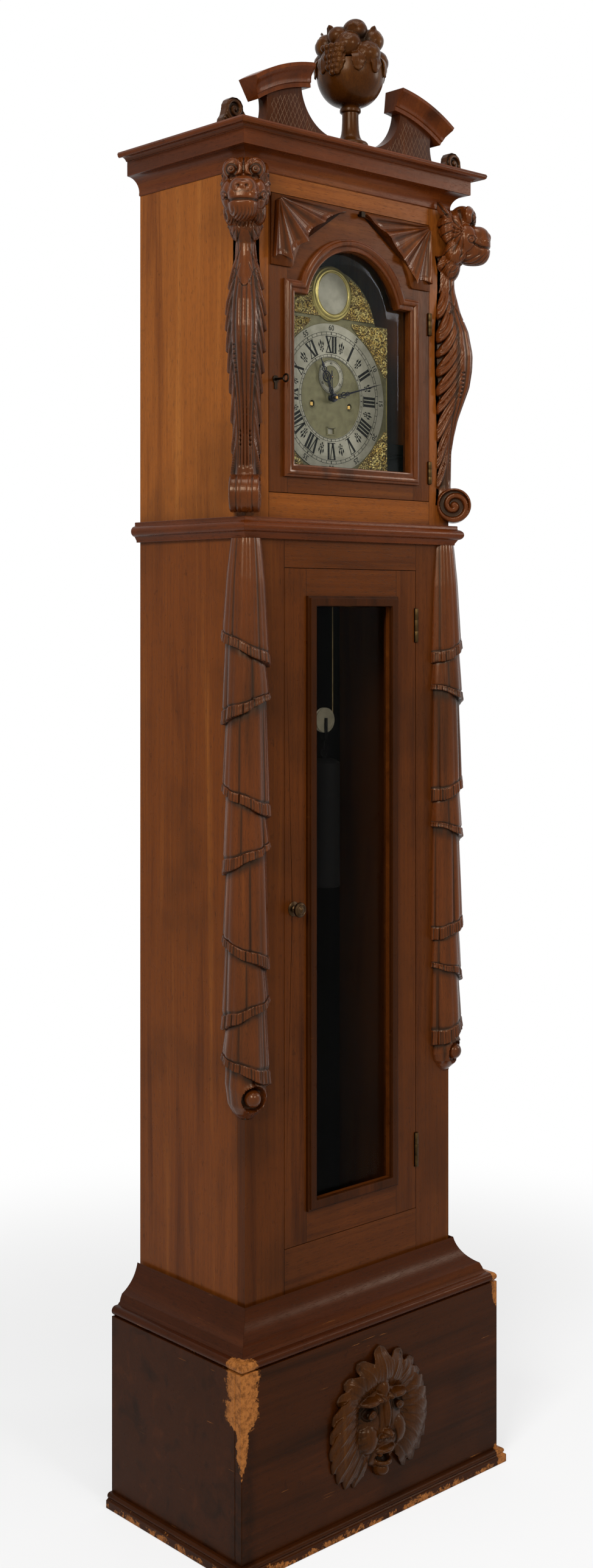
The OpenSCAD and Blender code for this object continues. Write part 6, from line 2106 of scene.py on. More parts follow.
@dataclass
class Brackets(SubAssembly):
    """The lion-headed brackets at both front corners of the hood.

    Each is carved in a frame of its own: out along the corner's diagonal, across it, and up from
    the middle of the scroll at its foot.
    """

    foot: float = 1736.0
    scroll: float = 31.0
    scroll_out: float = 9.0
    block: tuple[float, float, float] = (45.0, 0.0, 472.0)
    block_size: tuple[float, float, float] = (31.0, 25.0, 35.5)
    block_square: float = 2.8
    heights: tuple[float, ...] = (0, 37, 96, 126, 156, 184, 214, 246, 274, 316, 350, 392, 424, 450)
    fronts: tuple[float, ...] = (5, 4, 5, 10, 17, 27, 38, 43, 44, 36, 22, 11, 10, 16)
    halves: tuple[float, ...] = (22, 18, 17, 18, 19, 21, 23, 25, 26, 25, 20, 15, 15, 25)
    panels: tuple[float, ...] = (13, 12, 11, 12, 14, 16, 19, 21, 22, 20, 16, 11, 11, 14)
    tips: tuple[float, ...] = (26, 63, 113, 162, 195, 229, 264, 290, 333, 379, 417, 446, 464,
                               483, 502, 521, 545)
    eye: tuple[float, float, float] = (42.5, 20.0, 520.0)

    def build(self) -> None:
        """Carves both brackets."""
        data = self.lumps()
        spots, normals = points_of(data)
        spots, hollow, rub = self.chisel(spots, normals)
        out, across, up = spots.T
        for side, name in SIDES:
            x = CASE.half + (out + across) * math.sqrt(0.5)
            y = CASE.front + (across - out) * math.sqrt(0.5)
            z = self.foot + up
            x, y, z = self.seated(x, y, z)
            piece = Piece(f"lion_bracket_{name}", "hood", CARVED, "carved_wood",
                          ("lion_brackets",), crease=62.0)
            copy = data.copy()
            if side < 0:
                copy.flip_normals()
            carved_piece(copy, np.stack([side * x, y, z], axis=1), piece,
                         {"hollow": hollow, "rub": rub})
        bpy.data.meshes.remove(data)

    def seated(self, x: np.ndarray, y: np.ndarray, z: np.ndarray
               ) -> tuple[np.ndarray, np.ndarray, np.ndarray]:
        """Keeps the carving off the case, the cornice and the swinging door.

        Args:
            x: places to the right.
            y: places deep.
            z: places up.

        Returns:
            The corrected places.
        """
        aside, ahead = CASE.half + 0.25 - x, y - (CASE.front - 0.25)
        inside = (aside > 0) & (ahead > 0)
        x = np.where(inside & (aside <= ahead), CASE.half + 0.25, x)
        y = np.where(inside & (ahead < aside), CASE.front - 0.25, y)
        under = (z > CASE.cornice - 0.4) & (x < CASE.half + 5.6) & (y > CASE.front - 5.6)
        z = np.where(under, CASE.cornice - 0.4, z)
        limit = 207.7 + np.maximum(CASE.front - y, 0) * 0.132
        x = np.where((y < CASE.front) & (x < limit), limit, x)
        return x, y, z

    def at(self, up: float, row: tuple[float, ...]) -> float:
        """The size at a height."""
        return float(np.interp(up, self.heights, row))

    def flow(self, out: np.ndarray, up: np.ndarray) -> tuple[np.ndarray, ...]:
        """Where each point of the sides lies in the mane.

        Args:
            out: places out along the diagonal.
            up: places up.

        Returns:
            How far each point is from the case to the front edge, how far it is across its own
            lock from the lower edge, and the height of that lock's tip.
        """
        edge = np.interp(up, self.heights, self.fronts)
        edge = np.where(up > 436, np.maximum(edge, 18), edge)
        along = np.clip((out + 27) / (edge + 25), 0, 1)
        rise = np.interp(up, [0, 60, 200, 300, 400, 440, 480, 520],
                         [58, 78, 100, 106, 96, 52, 26, 4])
        level = up - rise * (0.08 * along + 0.92 * along ** 2.3)
        tips = np.array(self.tips, dtype=float)
        index = np.clip(np.searchsorted(tips, level, side="right") - 1, 0, len(tips) - 2)
        across = np.clip((level - tips[index]) / (tips[index + 1] - tips[index]), 0, 1)
        return along, across, tips[index + 1] - tips[index]

    def relief(self, out: np.ndarray, up: np.ndarray) -> tuple[np.ndarray, np.ndarray]:
        """Height of the mane over the side of the body.

        Args:
            out: places out along the diagonal.
            up: places up.

        Returns:
            The heights in millimetres and how much painted shade each place takes.
        """
        along, across, wide = self.flow(out, up)
        start = 0.02 + 0.3 * np.clip((across - 0.42) / 0.58, 0, 1) ** 1.5 \
            + 0.05 * np.clip(1 - across / 0.16, 0, 1)
        from_tip = (along - start) * 48
        rounded = rounding(from_tip / 6.5)
        lower = across * wide
        body = (1.0 - 0.5 * across) * (0.35 + 0.65 * rounding(lower / 3.4))
        swell = np.interp(along, [0, 0.18, 0.45, 0.75, 1], [0.75, 1.0, 0.8, 0.42, 0.12])
        bend = across + 0.05 * np.sin(along * 7)
        veins = np.abs(np.sin(bend * math.pi * np.where(wide > 30, 4.0, 3.0))) ** 0.8
        cleft = line(bend - 0.46, 0.05) * (wide > 30)
        fade = np.clip(from_tip / 9, 0, 1) * np.interp(along, [0, 0.5, 0.9, 1], [1, 1, 0.6, 0])
        high = rounded * (12.5 * body * swell - (1 - veins) * 1.7 * fade - cleft * 1.6 * fade)
        # Painted shade off the locks' rounded tips, along their lower edges, in their veins and
        # near the next lock.
        dark = (1 - rounded) + np.clip(1 - lower / 2.2, 0, 1) * (1 - swell * 0.2) * 0.6
        dark = dark + (1 - veins) ** 2 * 0.65 * fade + np.clip((across - 0.86) / 0.14, 0, 1) * 0.7
        return high, np.clip(dark, 0, 1)

    def lumps(self) -> bpy.types.Mesh:
        """The rough shape: body, scroll, locks and head.

        Returns:
            Its fine mesh.
        """
        rough = Piece("rough_bracket", "hood", CARVED, "carved_wood")
        rings = []
        for up in np.arange(0, 451, 9.0):
            front, half = self.at(up, self.fronts), self.at(up, self.halves)
            turns = np.linspace(-math.pi / 2, math.pi / 2, 25)
            ring = [(-13 + (front + 13) * math.cos(t) ** 0.8 if abs(t) < 1.57 else -13,
                     half * math.sin(t), up) for t in turns]
            rings.append(ring + [(-30, half - 2, up), (-30, 2 - half, up)])
        rough.loft(rings)
        turns = np.linspace(0, math.tau, 49)[:-1]
        rough.loft([[(self.scroll_out + self.scroll * size * math.cos(t), v,
                      self.scroll * size * math.sin(t)) for t in turns]
                    for v, size in ((-25, 0.9), (-23, 1.0), (23, 1.0), (25, 0.9))])
        for side in (-1, 1):
            self.cheek(rough, side)
        for centre, radii in (((8, 0, 505), (36, 33, 32)), ((24, 0, 523), (22, 26, 22)),
                              ((66, 0, 487), (11, 14.5, 11)), ((58, 0, 456), (14, 20, 12)),
                              ((2, 0, 440), (20, 26, 34))):
            rough.blob(centre, radii, detail=32)
        middle, size = Vector(self.block), Vector(self.block_size)
        for vert in rough.blob(middle, size, detail=48):
            ray = [part / reach for part, reach in zip(vert.co / MM - middle, size)]
            length = sum(abs(part) ** self.block_square for part in ray) ** (1 / self.block_square)
            spot = Vector(ray) / max(length, 0.05)
            vert.co = (middle + Vector(a * b for a, b in zip(spot, size))) * MM
        return refined(rough.mesh, 1.3, 2)

    def cheek(self, rough: Piece, side: int) -> None:
        """Brow, eye, muzzle, cheek and ear of one side.

        Args:
            rough: the rough shape.
            side: the side.
        """
        eye = self.eye
        for centre, radii in (((34, 19, 522), (13, 14.5, 17)), (eye, (7.6, 7.6, 7.6)),
                              ((60, 12, 477), (14.5, 12.5, 11)), ((26, 24, 482), (23, 14, 26)),
                              ((12, 23, 458), (20, 12, 22)), ((-2, 28, 500), (14, 11, 30))):
            rough.blob((centre[0], side * centre[1], centre[2]), radii, detail=28)
        brow = []
        for step in range(27):
            a = math.radians(-70 + step * 15)
            reach = 15.5 - step * 0.17 if step < 20 else 12.1 - (step - 20) * 1.1
            v = side * (19.5 - reach * math.cos(a))
            high = 523 + reach * 1.05 * math.sin(a)
            over = abs(v) / 34
            brow.append((46 - 17 * over * over - max(high - 528, 0) * 0.5, v, high))
        rough.tube(brow, lambda t: 4.6 - 2.0 * t, 12)
        nostril = []
        for step in range(18):
            a = math.radians(-60 - step * 24)
            reach = 6.6 - step * 0.3
            nostril.append((73.5 - step * 0.1, side * (8.2 + reach * math.cos(a)),
                            487 + reach * math.sin(a)))
        rough.tube(nostril, lambda t: 2.6 - 0.8 * t, 10)
        turn = Matrix.Rotation(math.radians(-42), 3, "Y")
        rough.blob((-14, side * 34, 531), (8, 6, 20), turn, 24)

    def chisel(self, spots: np.ndarray, normals: np.ndarray
               ) -> tuple[np.ndarray, np.ndarray, np.ndarray]:
        """Cuts flutes, locks, hair, eyes, nostrils and mouth into the rough shape.

        Args:
            spots: places of the points.
            normals: their normals.

        Returns:
            The new places, the painted shade of each point, and its rub and painted highlight.
        """
        out, across, up = spots.T
        wide = np.abs(across)
        cuts = Cuts(len(spots))
        panel = np.interp(up, self.heights, self.panels)
        sag = wide * wide * 0.12
        front = ease(normals[:, 0], 0.15, 0.5) * ease(wide, panel + 1.5, panel - 0.5)
        front *= ease(up, 40, 48) * ease(up, 338 + sag, 334 + sag)
        reeds = 0.5 - 0.5 * np.cos(across / panel * math.pi * 4)
        cuts.deep += front * reeds ** 2 * 2.2
        cuts.dark += front * reeds ** 4 * 0.8
        edge = line(wide - panel - 1.0, 1.1) * ease(normals[:, 0], 0.0, 0.3)
        cuts.add(edge * ease(up, 36, 50) * ease(up, 440, 420), 1.6, 0.8)
        for low, high in ((192, 244), (76, 104)):
            beads = np.abs((up - low) % 7.4 - 3.7) + np.abs(wide - panel + 2.6)
            dots = ease(beads, 2.6, 1.2) * (up > low) * (up < high) * (normals[:, 0] > 0.1)
            cuts.add(dots, 2.2, 1.0)
        cuts.add(line(up - 336 - sag, 1.2) * (wide < panel + 3) * (out > 0), 1.5, 0.9)
        scales = (up > 338) * (up < 430) * (out > 0) * ease(wide, 5, 8)
        scale = np.abs(np.sin((up + wide * 2.2) / 26 * math.pi))
        cuts.add(scales * (1 - scale) ** 4, 1.8, 0.8)
        high, dark = self.relief(out, up)
        fan = ease(out, 12, 2) * ease(up, 436, 450) * ease(up, 528, 518)
        sides = ease(wide, 13, 17.5) * (1 - front) * ease(out, -29.5, -27)
        sides *= np.maximum(ease(up, 452, 436), fan) * ease(up, 26, 36)
        lift = sides * (high - 2.6) * np.where(up > 440, 0.62, 1.0)
        cuts.dark += sides * dark
        self.features(cuts, out, across, up)
        from_eye = np.hypot(out - self.scroll_out, up)
        disc = ease(wide, 21.5, 24) * (from_eye < self.scroll + 2) * (up < 33)
        far = from_eye / self.scroll
        turn = np.arctan2(up, self.scroll_out - out) / math.tau
        groove = ease(0.5 + 0.5 * np.cos((far * 1.75 - turn - 0.22) * math.tau), 0.25, 0.7)
        groove = np.where(far > 0.84, ease(far, 0.9, 0.84) * groove, groove)
        groove *= ease(far, 0.12, 0.24)
        spots = spots.copy()
        spots[:, 1] += np.sign(across) * (lift * ease(wide, 10, 16) - disc * groove ** 0.7 * 7.0)
        cuts.dark += disc * ease(groove, 0.45, 1.0) * 0.9
        band = (1 - disc) * (up < 30) * (wide < 20) * ease(from_eye, 27, 30)
        cuts.add(band * (line(wide - 13, 1.1) + line(wide - 6, 0.8) * 0.5), 1.6, 0.8)
        spots = spots - normals * cuts.deep[:, None]
        # Uncut places take rub and painted highlight.
        rub = np.clip(1 - cuts.dark * 2, 0, 1) * ease(cuts.deep, 0.4, 0.0) * 0.7
        return spots, np.clip(cuts.dark, 0, 1), rub

    def features(self, cuts: Cuts, out: np.ndarray, across: np.ndarray, up: np.ndarray) -> None:
        """Cuts the head: eyes, nose, mouth, ears, beard and hair.

        Args:
            cuts: takes the cuts.
            out: places out along the diagonal.
            across: places across it.
            up: places up.
        """
        wide = np.abs(across)
        pupil = np.hypot(wide - self.eye[1], up - self.eye[2])
        eye = np.hypot(out - self.eye[0], pupil)
        cuts.add(line(eye - 9.4, 1.7), 2.6, 1.092)
        cuts.add(line(pupil - 3.6, 1.1) * (eye < 8.6) * (out > self.eye[0]), 1.6, 0.6)
        cuts.add(line(wide, 1.3) * (up > 512) * (out > 20), 2.0, 0.7)
        nostril = np.hypot(wide - 7.4, up - 487.5)
        nose = out > 62
        cuts.add(line(nostril, 2.6) * nose, 4.0, 1.0)
        cuts.dark += line(nostril - 10.5, 1.6) * nose * 0.6
        lip = np.interp(out, [38, 46, 56, 66, 76], [480, 472, 466.5, 465.5, 465.5])
        cuts.add(line(up - lip, 2.2) * (out > 43) * (wide < 32), 3.6, 1.0)
        ear = np.abs((up - 531) + (out + 14) * 1.11) + (wide < 36) * 9
        cuts.add(ease(ear, 5.5, 2.0) * ease(up, 514, 522) * (out < 2), 3.2, 1.0)
        notch = line(up - 508 - (out - 42) * 0.1, 2.0) * (out > 34) * (wide < 26)
        cuts.add(notch, 3.0, 0.8)
        curl = np.hypot(out - 41, up - 478)
        swirl = (line(curl - 6.5, 1.3) + line(curl, 2.2)) * (wide > 12) * (out > 25)
        cuts.add(swirl, 2.0, 0.7)
        beard = ease(up, 458, 450) * ease(up, 430, 436) * (out > 18)
        hair = 0.5 + 0.5 * np.sin(across * 1.0 + np.sin(up * 0.3) * 1.1 + out * 0.35)
        cuts.comb(beard, hair, 1.6, 0.55)
        whisker = ease(wide, 15, 19) * ease(out, 30, 20) * ease(out, 2, 10) * ease(up, 442, 450)
        whisker *= ease(up, 545, 536)
        angle = np.arctan2(up - 492, 26 - out + 1e-6)
        strands = 0.5 + 0.5 * np.cos(angle * 13 + np.sin(out * 0.12) * 1.2)
        cuts.comb(whisker, strands, 2.4, 0.8, 1.6)
        crown = ease(up, 527, 532) * (out > -8) * (wide < 19)
        cuts.comb(crown, 0.5 + 0.5 * np.cos(wide * 1.25), 1.0, 0.5)
        # Painted shade in a band under the head.
        cuts.dark += ease(up, 432, 420) * ease(up, 396, 408) * (out > 8) * 0.4


def leaf(rough: Piece, place: Callable[[float, float, float], Point], length: float, width: float,
         rise: float, thick: float = 4.0, veins: int = 3, curl: float = 0.3) -> None:
    """A pointed leaf with a hollowed, veined face.

    Args:
        rough: the piece that takes it.
        place: moves a point along, across and out from the leaf's root to where it goes.
        length: from root to tip.
        width: its greatest width.
        rise: how high its middle arches.
        thick: its thickness.
        veins: grooves on each side of the midrib.
        curl: how far the tip bends back, as a share of the rise.
    """
    rings = []
    steps = 14
    for i in range(steps + 1):
        t = i / steps
        half = width / 2 * float(np.interp(t, [0, 0.12, 0.35, 0.62, 0.82, 0.93, 0.98, 1],
                                           [0.42, 0.7, 1, 1.0, 0.8, 0.5, 0.24, 0.05]))
        half *= 1 + 0.07 * math.sin(t * math.pi * 7)
        high = rise * math.sin(min(t * 1.15, 1) * math.pi * 0.82) - rise * curl * t * t
        top, foot = [], []
        for k in range(-8, 9):
            s = k / 8
            groove = (0.5 - 0.5 * math.cos(s * math.pi * 2 * veins)) * 0.24 * (1 - t * 0.5)
            ridge = math.exp(-(s / 0.14) ** 2) * 0.3
            lift = high + thick * (1 - 0.45 * s * s - groove + ridge) * (1 - 0.4 * t)
            top.append(place(length * t, half * s, lift))
            foot.append(place(length * t, half * s * 0.86, high - thick * 0.6))
        rings.append(top + foot[::-1])
    rough.loft(rings)


@dataclass
class Mask(SubAssembly):
    """The grotesque mask with its mane of leaves on the front of the base.

    Each leaf is the places across and up of its root and of its tip, its width and its rise.
    """

    up: float = 160.0
    face: float = CASE.base_front
    leaves: tuple[tuple[float, ...], ...] = (
        (14, 58, 52, 118, 38, 17), (28, 58, 84, 92, 34, 15), (36, 54, 100, 66, 32, 12),
        (46, 56, 110, 30, 36, 14), (50, 44, 115, 2, 36, 14), (50, 30, 115, -26, 36, 14),
        (48, 12, 110, -50, 35, 13), (42, -4, 98, -70, 34, 12), (34, -20, 82, -84, 32, 11),
        (26, -34, 62, -88, 26, 9))

    def build(self) -> None:
        """Carves the mask."""
        data = self.lumps()
        spots, normals = points_of(data)
        x, z, out = spots[:, 0], spots[:, 2] - self.up, self.face - spots[:, 1]
        wide = np.abs(x)
        cuts = Cuts(len(spots))
        eye = np.hypot((wide - 33) / 1.25, z - 31 + (wide - 33) * 0.18)
        for at, thick, deep, where in ((9.6, 1.8, 3.0, 1.0), (4.6, 1.1, 1.2, 1.0),
                                       (14.5, 1.2, 1.3, z > 26)):
            cuts.add(line(eye - at, thick) * where, deep, deep * 0.4)
        # Painted shade round the eyes.
        cuts.dark += ease(eye, 22, 12) * ease(eye, 8, 12) * 0.35
        mouth = (x / 19) ** 2 + ((z + 46 + wide * 0.12) / 6.2) ** 2
        cuts.add(ease(mouth, 1.15, 0.75), 9.0, 1.0)
        nostril = np.hypot(wide - 11, z + 14)
        cuts.add(line(nostril, 3.0) * (out > 18), 4.0, 1.0)
        cuts.add(line(nostril - 8.5, 1.4) * (out > 16), 1.3, 0.5)
        fold = line(wide - 20 + (8 + z) * 0.22, 2.2) * ease(z, 0, -10) * ease(z, -62, -52)
        cuts.add(fold, 2.6, 0.7)
        cuts.add(line(wide - 13, 2.4) * ease(z, -4, 6) * ease(z, 66, 56), 2.2, 0.6)
        hair = 0.5 + 0.5 * np.cos(np.arctan2(z - 20, wide + 1e-6) * 34 + wide * 0.03)
        cuts.comb(ease(wide, 40, 50) * (out > 6) * ease(wide, 84, 70), hair, 0.9, 0.4)
        spots = spots - normals * cuts.deep[:, None]
        # Painted shade in the cuts and low against the board.
        hollow = np.clip(cuts.dark + ease(out, 9, 3) * 0.55, 0, 1)
        spots[:, 1] = np.minimum(spots[:, 1], self.face + 0.6)
        # The most raised places take rub and painted highlight.
        rub = ease(out, 22, 34) * (1 - hollow) * 0.8
        piece = Piece("base_mask_carving", "case", DARK_CARVED, "carved_wood", ("base_mask",),
                      crease=60.0)
        carved_piece(data, spots, piece, {"hollow": hollow, "rub": rub})

    def spot(self, x: float, z: float, out: float) -> Point:
        """A place on the mask."""
        return (x, self.face - out, self.up + z)

    def lumps(self) -> bpy.types.Mesh:
        """The face's lumps and the leaves of its mane.

        Returns:
            Its fine mesh.
        """
        rough = Piece("rough_mask", "case", DARK_CARVED, "carved_wood")
        for x, z, rx, rz, out in ((0, 4, 54, 74, 20), (0, 26, 10, 40, 31), (0, 64, 16, 22, 24),
                                  (0, -7, 13, 12, 37), (0, -35, 27, 8.5, 30), (0, -57, 20, 8, 28),
                                  (0, -71, 15, 14, 22)):
            rough.blob(self.spot(x, z, 0), (rx, out, rz), detail=36)
        for side in (-1, 1):
            for x, z, rx, rz, out in ((33, -12, 24, 30, 26), (11, -11, 8, 7, 30),
                                      (31, 50, 27, 8, 28), (12, 52, 12, 9, 31)):
                rough.blob(self.spot(side * x, z, 0), (rx, out, rz), detail=32)
            rough.blob(self.spot(side * 33, 31, 16), (12.5, 8.5, 8.5), detail=28)
            for x, z in ((5, -41), (13, -42.5)):
                rough.blob(self.spot(side * x, z, 18), (3.6, 5.5, 4.2), detail=16)
            for x0, z0, x1, z1, width, rise in self.leaves:
                self.plant(rough, (side * x0, z0), (side * x1, z1), width, rise)
        self.plant(rough, (0, 56), (0, 136), 44, 19)
        return refined(rough.mesh, 1.25, 1)

    def plant(self, rough: Piece, root: tuple[float, float], tip: tuple[float, float],
              width: float, rise: float) -> None:
        """Sets one leaf of the mane.

        Args:
            rough: the rough shape.
            root: its root across and up.
            tip: its tip.
            width: its width.
            rise: how far it arches out.
        """
        ahead = Vector(tip) - Vector(root)
        length = ahead.length
        ahead.normalize()

        def place(along: float, across: float, high: float) -> Point:
            """A place on the leaf.

            Args:
                along: how far along it.
                across: how far across it.
                high: how far off it.

            Returns:
                The place in millimetres.
            """
            way = 1 if root[0] >= 0 else -1
            bend = math.sin(along / length * math.pi) * 0.1 * length * way
            bend = bend if abs(root[0]) > 8 else 0.0
            a = across + bend
            return self.spot(root[0] + ahead[0] * along - ahead[1] * a,
                             root[1] + ahead[1] * along + ahead[0] * a, high)

        leaf(rough, place, length, width, rise, 5.0, 3, 0.45)


@dataclass
class Urn(SubAssembly):
    """The turned urn, heaped with fruit, grapes and leaves."""

    y: float = CASE.front + 5.0
    foot: float = CASE.top
    tall: float = 148.0
    bowl: float = 59.0

    def build(self) -> None:
        """Turns the urn and heaps the fruit."""
        turned = Piece("urn_turned", "hood", DARK_CARVED, "carved_wood", ("urn",), crease=32.0)
        bowl = [(14.5 + (self.bowl - 14.5) * math.sin(a), self.tall - 12 - 58 * math.cos(a))
                for a in np.linspace(0.06, math.pi / 2, 22)]
        turned.turned([(0, 0), (30.4, 0), (31, 0.6), (31, 6.4), (30.4, 7), (30.8, 8), (31.2, 10),
                       (30.8, 12.4), (29, 14.6), (26, 15.6), (24.4, 16), (23.2, 17.2), (20.2, 20),
                       (17.6, 24.4), (16, 30), (15, 38), (14.4, 50), (14.2, 60), (14.5, 65.4),
                       (16.6, 66.2), (18, 67.6), (18.4, 70), (18, 73), (16, 75), (15, 76.4)]
                      + bowl + [(self.bowl, self.tall - 8), (self.bowl - 0.6, self.tall - 0.6),
                                (self.bowl - 2, self.tall), (0, self.tall)],
                      (0, self.y, self.foot), "Z", 96)
        turned.done()
        data = self.lumps()
        spots, _ = points_of(data)
        rim = self.foot + self.tall
        x, y, z = spots[:, 0], spots[:, 1] - self.y, spots[:, 2] - rim
        inside = (z < -0.4) & (np.hypot(x, y) < self.bowl + 0.4)
        far = np.maximum(np.hypot(x, y), 1e-6)
        push = np.where(inside, (self.bowl + 0.4) / far, 1.0)
        deep = inside & (far < self.bowl - 6)
        spots = spots.copy()
        spots[:, 0] = np.where(deep, x, x * push)
        spots[:, 1] = self.y + np.where(deep, y, y * push)
        spots[:, 2] = np.where(deep, rim - 0.4, spots[:, 2])
        rough = np.linalg.norm(np.stack([x, y, z - 22], axis=1), axis=1)
        # Painted shade deep in the heap of fruit; its outer face takes rub and painted highlight.
        hollow = ease(rough, 58, 47) * 0.9
        rub = ease(rough, 60, 70) * 0.7
        piece = Piece("urn_fruit_carving", "hood", DARK_CARVED, "carved_wood", ("urn_fruit",),
                      crease=60.0)
        carved_piece(data, spots, piece, {"hollow": hollow, "rub": rub})

    def about(self, turn: float, out: float, up: float) -> Point:
        """A place round the urn's rim."""
        a = math.radians(turn)
        return (out * math.cos(a), self.y + out * math.sin(a), self.foot + self.tall + up)

    def lumps(self) -> bpy.types.Mesh:
        """Fruit, grapes and leaves as overlapping lumps.

        Returns:
            Their fine mesh.
        """
        rough = Piece("rough_fruit", "hood", DARK_CARVED, "carved_wood")
        rough.blob(self.about(0, 0, 22), (42, 42, 44), detail=40)
        for turn, out, up, size in ((-140, 42, 24, 0.86), (-95, 44, 10, 0.9), (-118, 28, 52, 0.8),
                                    (-66, 40, 38, 0.8), (-165, 44, 40, 0.62), (-30, 46, 8, 0.85),
                                    (8, 44, 30, 0.8), (40, 46, 6, 0.9), (75, 42, 34, 0.82),
                                    (110, 46, 8, 0.86), (150, 42, 30, 0.8), (180, 46, 2, 0.7),
                                    (20, 20, 54, 0.8), (120, 18, 50, 0.75)):
            self.fruit(rough, turn, out, up, 25.5 * size)
        for turn in (196, 16):
            for row in range(6):
                count = 5 - (row + 1) // 2
                for i in range(count):
                    at = turn + 8.6 * (i - (count - 1) / 2) + 3.2 * (row % 2)
                    out = 62.5 - 0.5 * row + 2.4 * math.cos((i - 2) * 0.9)
                    rough.blob(self.about(at, out, 18 - 8.6 * row), (5.9, 5.9, 5.9), detail=18)
        for i in range(11):
            self.droop(rough, 10 + 32.7 * i, 46, 13, 40, 25, -64)
        for i in range(7):
            self.droop(rough, 25 + 51.4 * i, 20, 38, 38, 24, 30)
        return refined(rough.mesh, 1.15, 1)

    def fruit(self, rough: Piece, turn: float, out: float, up: float, size: float) -> None:
        """One apple or pear with its crease and calyx.

        Args:
            rough: the rough shape.
            turn: degrees round the urn.
            out: how far it lies from the axis.
            up: how far above the rim.
            size: its radius.
        """
        a = math.radians(turn)
        outward = Vector((math.cos(a) * 0.86, math.sin(a) * 0.86, 0.5)).normalized()
        centre = Vector(self.about(turn, out, up))
        made = rough.blob(tuple(centre), (size, size, size), detail=40)
        lean = Vector((-math.sin(a), math.cos(a), 0.35)).normalized()
        for vert in made:
            ray = (vert.co / MM - centre) / size
            dip = ray.dot(outward)
            side = ray.dot(lean)
            crease = math.exp(-((ray.cross(outward).dot(lean)) / 0.07) ** 2) * max(dip, 0) ** 0.5
            hole = math.exp(-((1 - dip) / 0.02)) if dip > 0 else 0.0
            scale = 1 - 0.055 * crease - 0.14 * hole + 0.08 * side * side
            vert.co = (centre + ray * size * scale) * MM
        tip = centre + outward * size * 0.9
        for k in range(5):
            b = math.tau * k / 5
            off = lean * math.cos(b) * 2.3 + outward.cross(lean) * math.sin(b) * 2.3
            rough.blob(tuple(tip + off), (1.5, 1.5, 1.5), detail=10)

    def droop(self, rough: Piece, turn: float, out: float, up: float, length: float, width: float,
              slope: float) -> None:
        """One leaf lying over the rim or standing between the fruit.

        Args:
            rough: the rough shape.
            turn: degrees round the urn.
            out: how far its root lies from the axis.
            up: how far its root lies above the rim.
            length: its length.
            width: its width.
            slope: degrees that it rises, less than nothing where it hangs.
        """
        root = Vector(self.about(turn, out, up))
        a, b = math.radians(turn), math.radians(slope)
        ahead = Vector((math.cos(a) * math.cos(b), math.sin(a) * math.cos(b), math.sin(b)))
        across = Vector((-math.sin(a), math.cos(a), 0))
        out_of = across.cross(ahead) * -1
        if out_of.dot(Vector((math.cos(a), math.sin(a), 0.2))) < 0:
            out_of = out_of * -1

        def place(along: float, over: float, high: float) -> Point:
            """A place on the leaf, along it, across it and off it."""
            return tuple(root + ahead * along + across * over + out_of * high)

        leaf(rough, place, length, width, 8.0, 3.6, 3, 0.9)


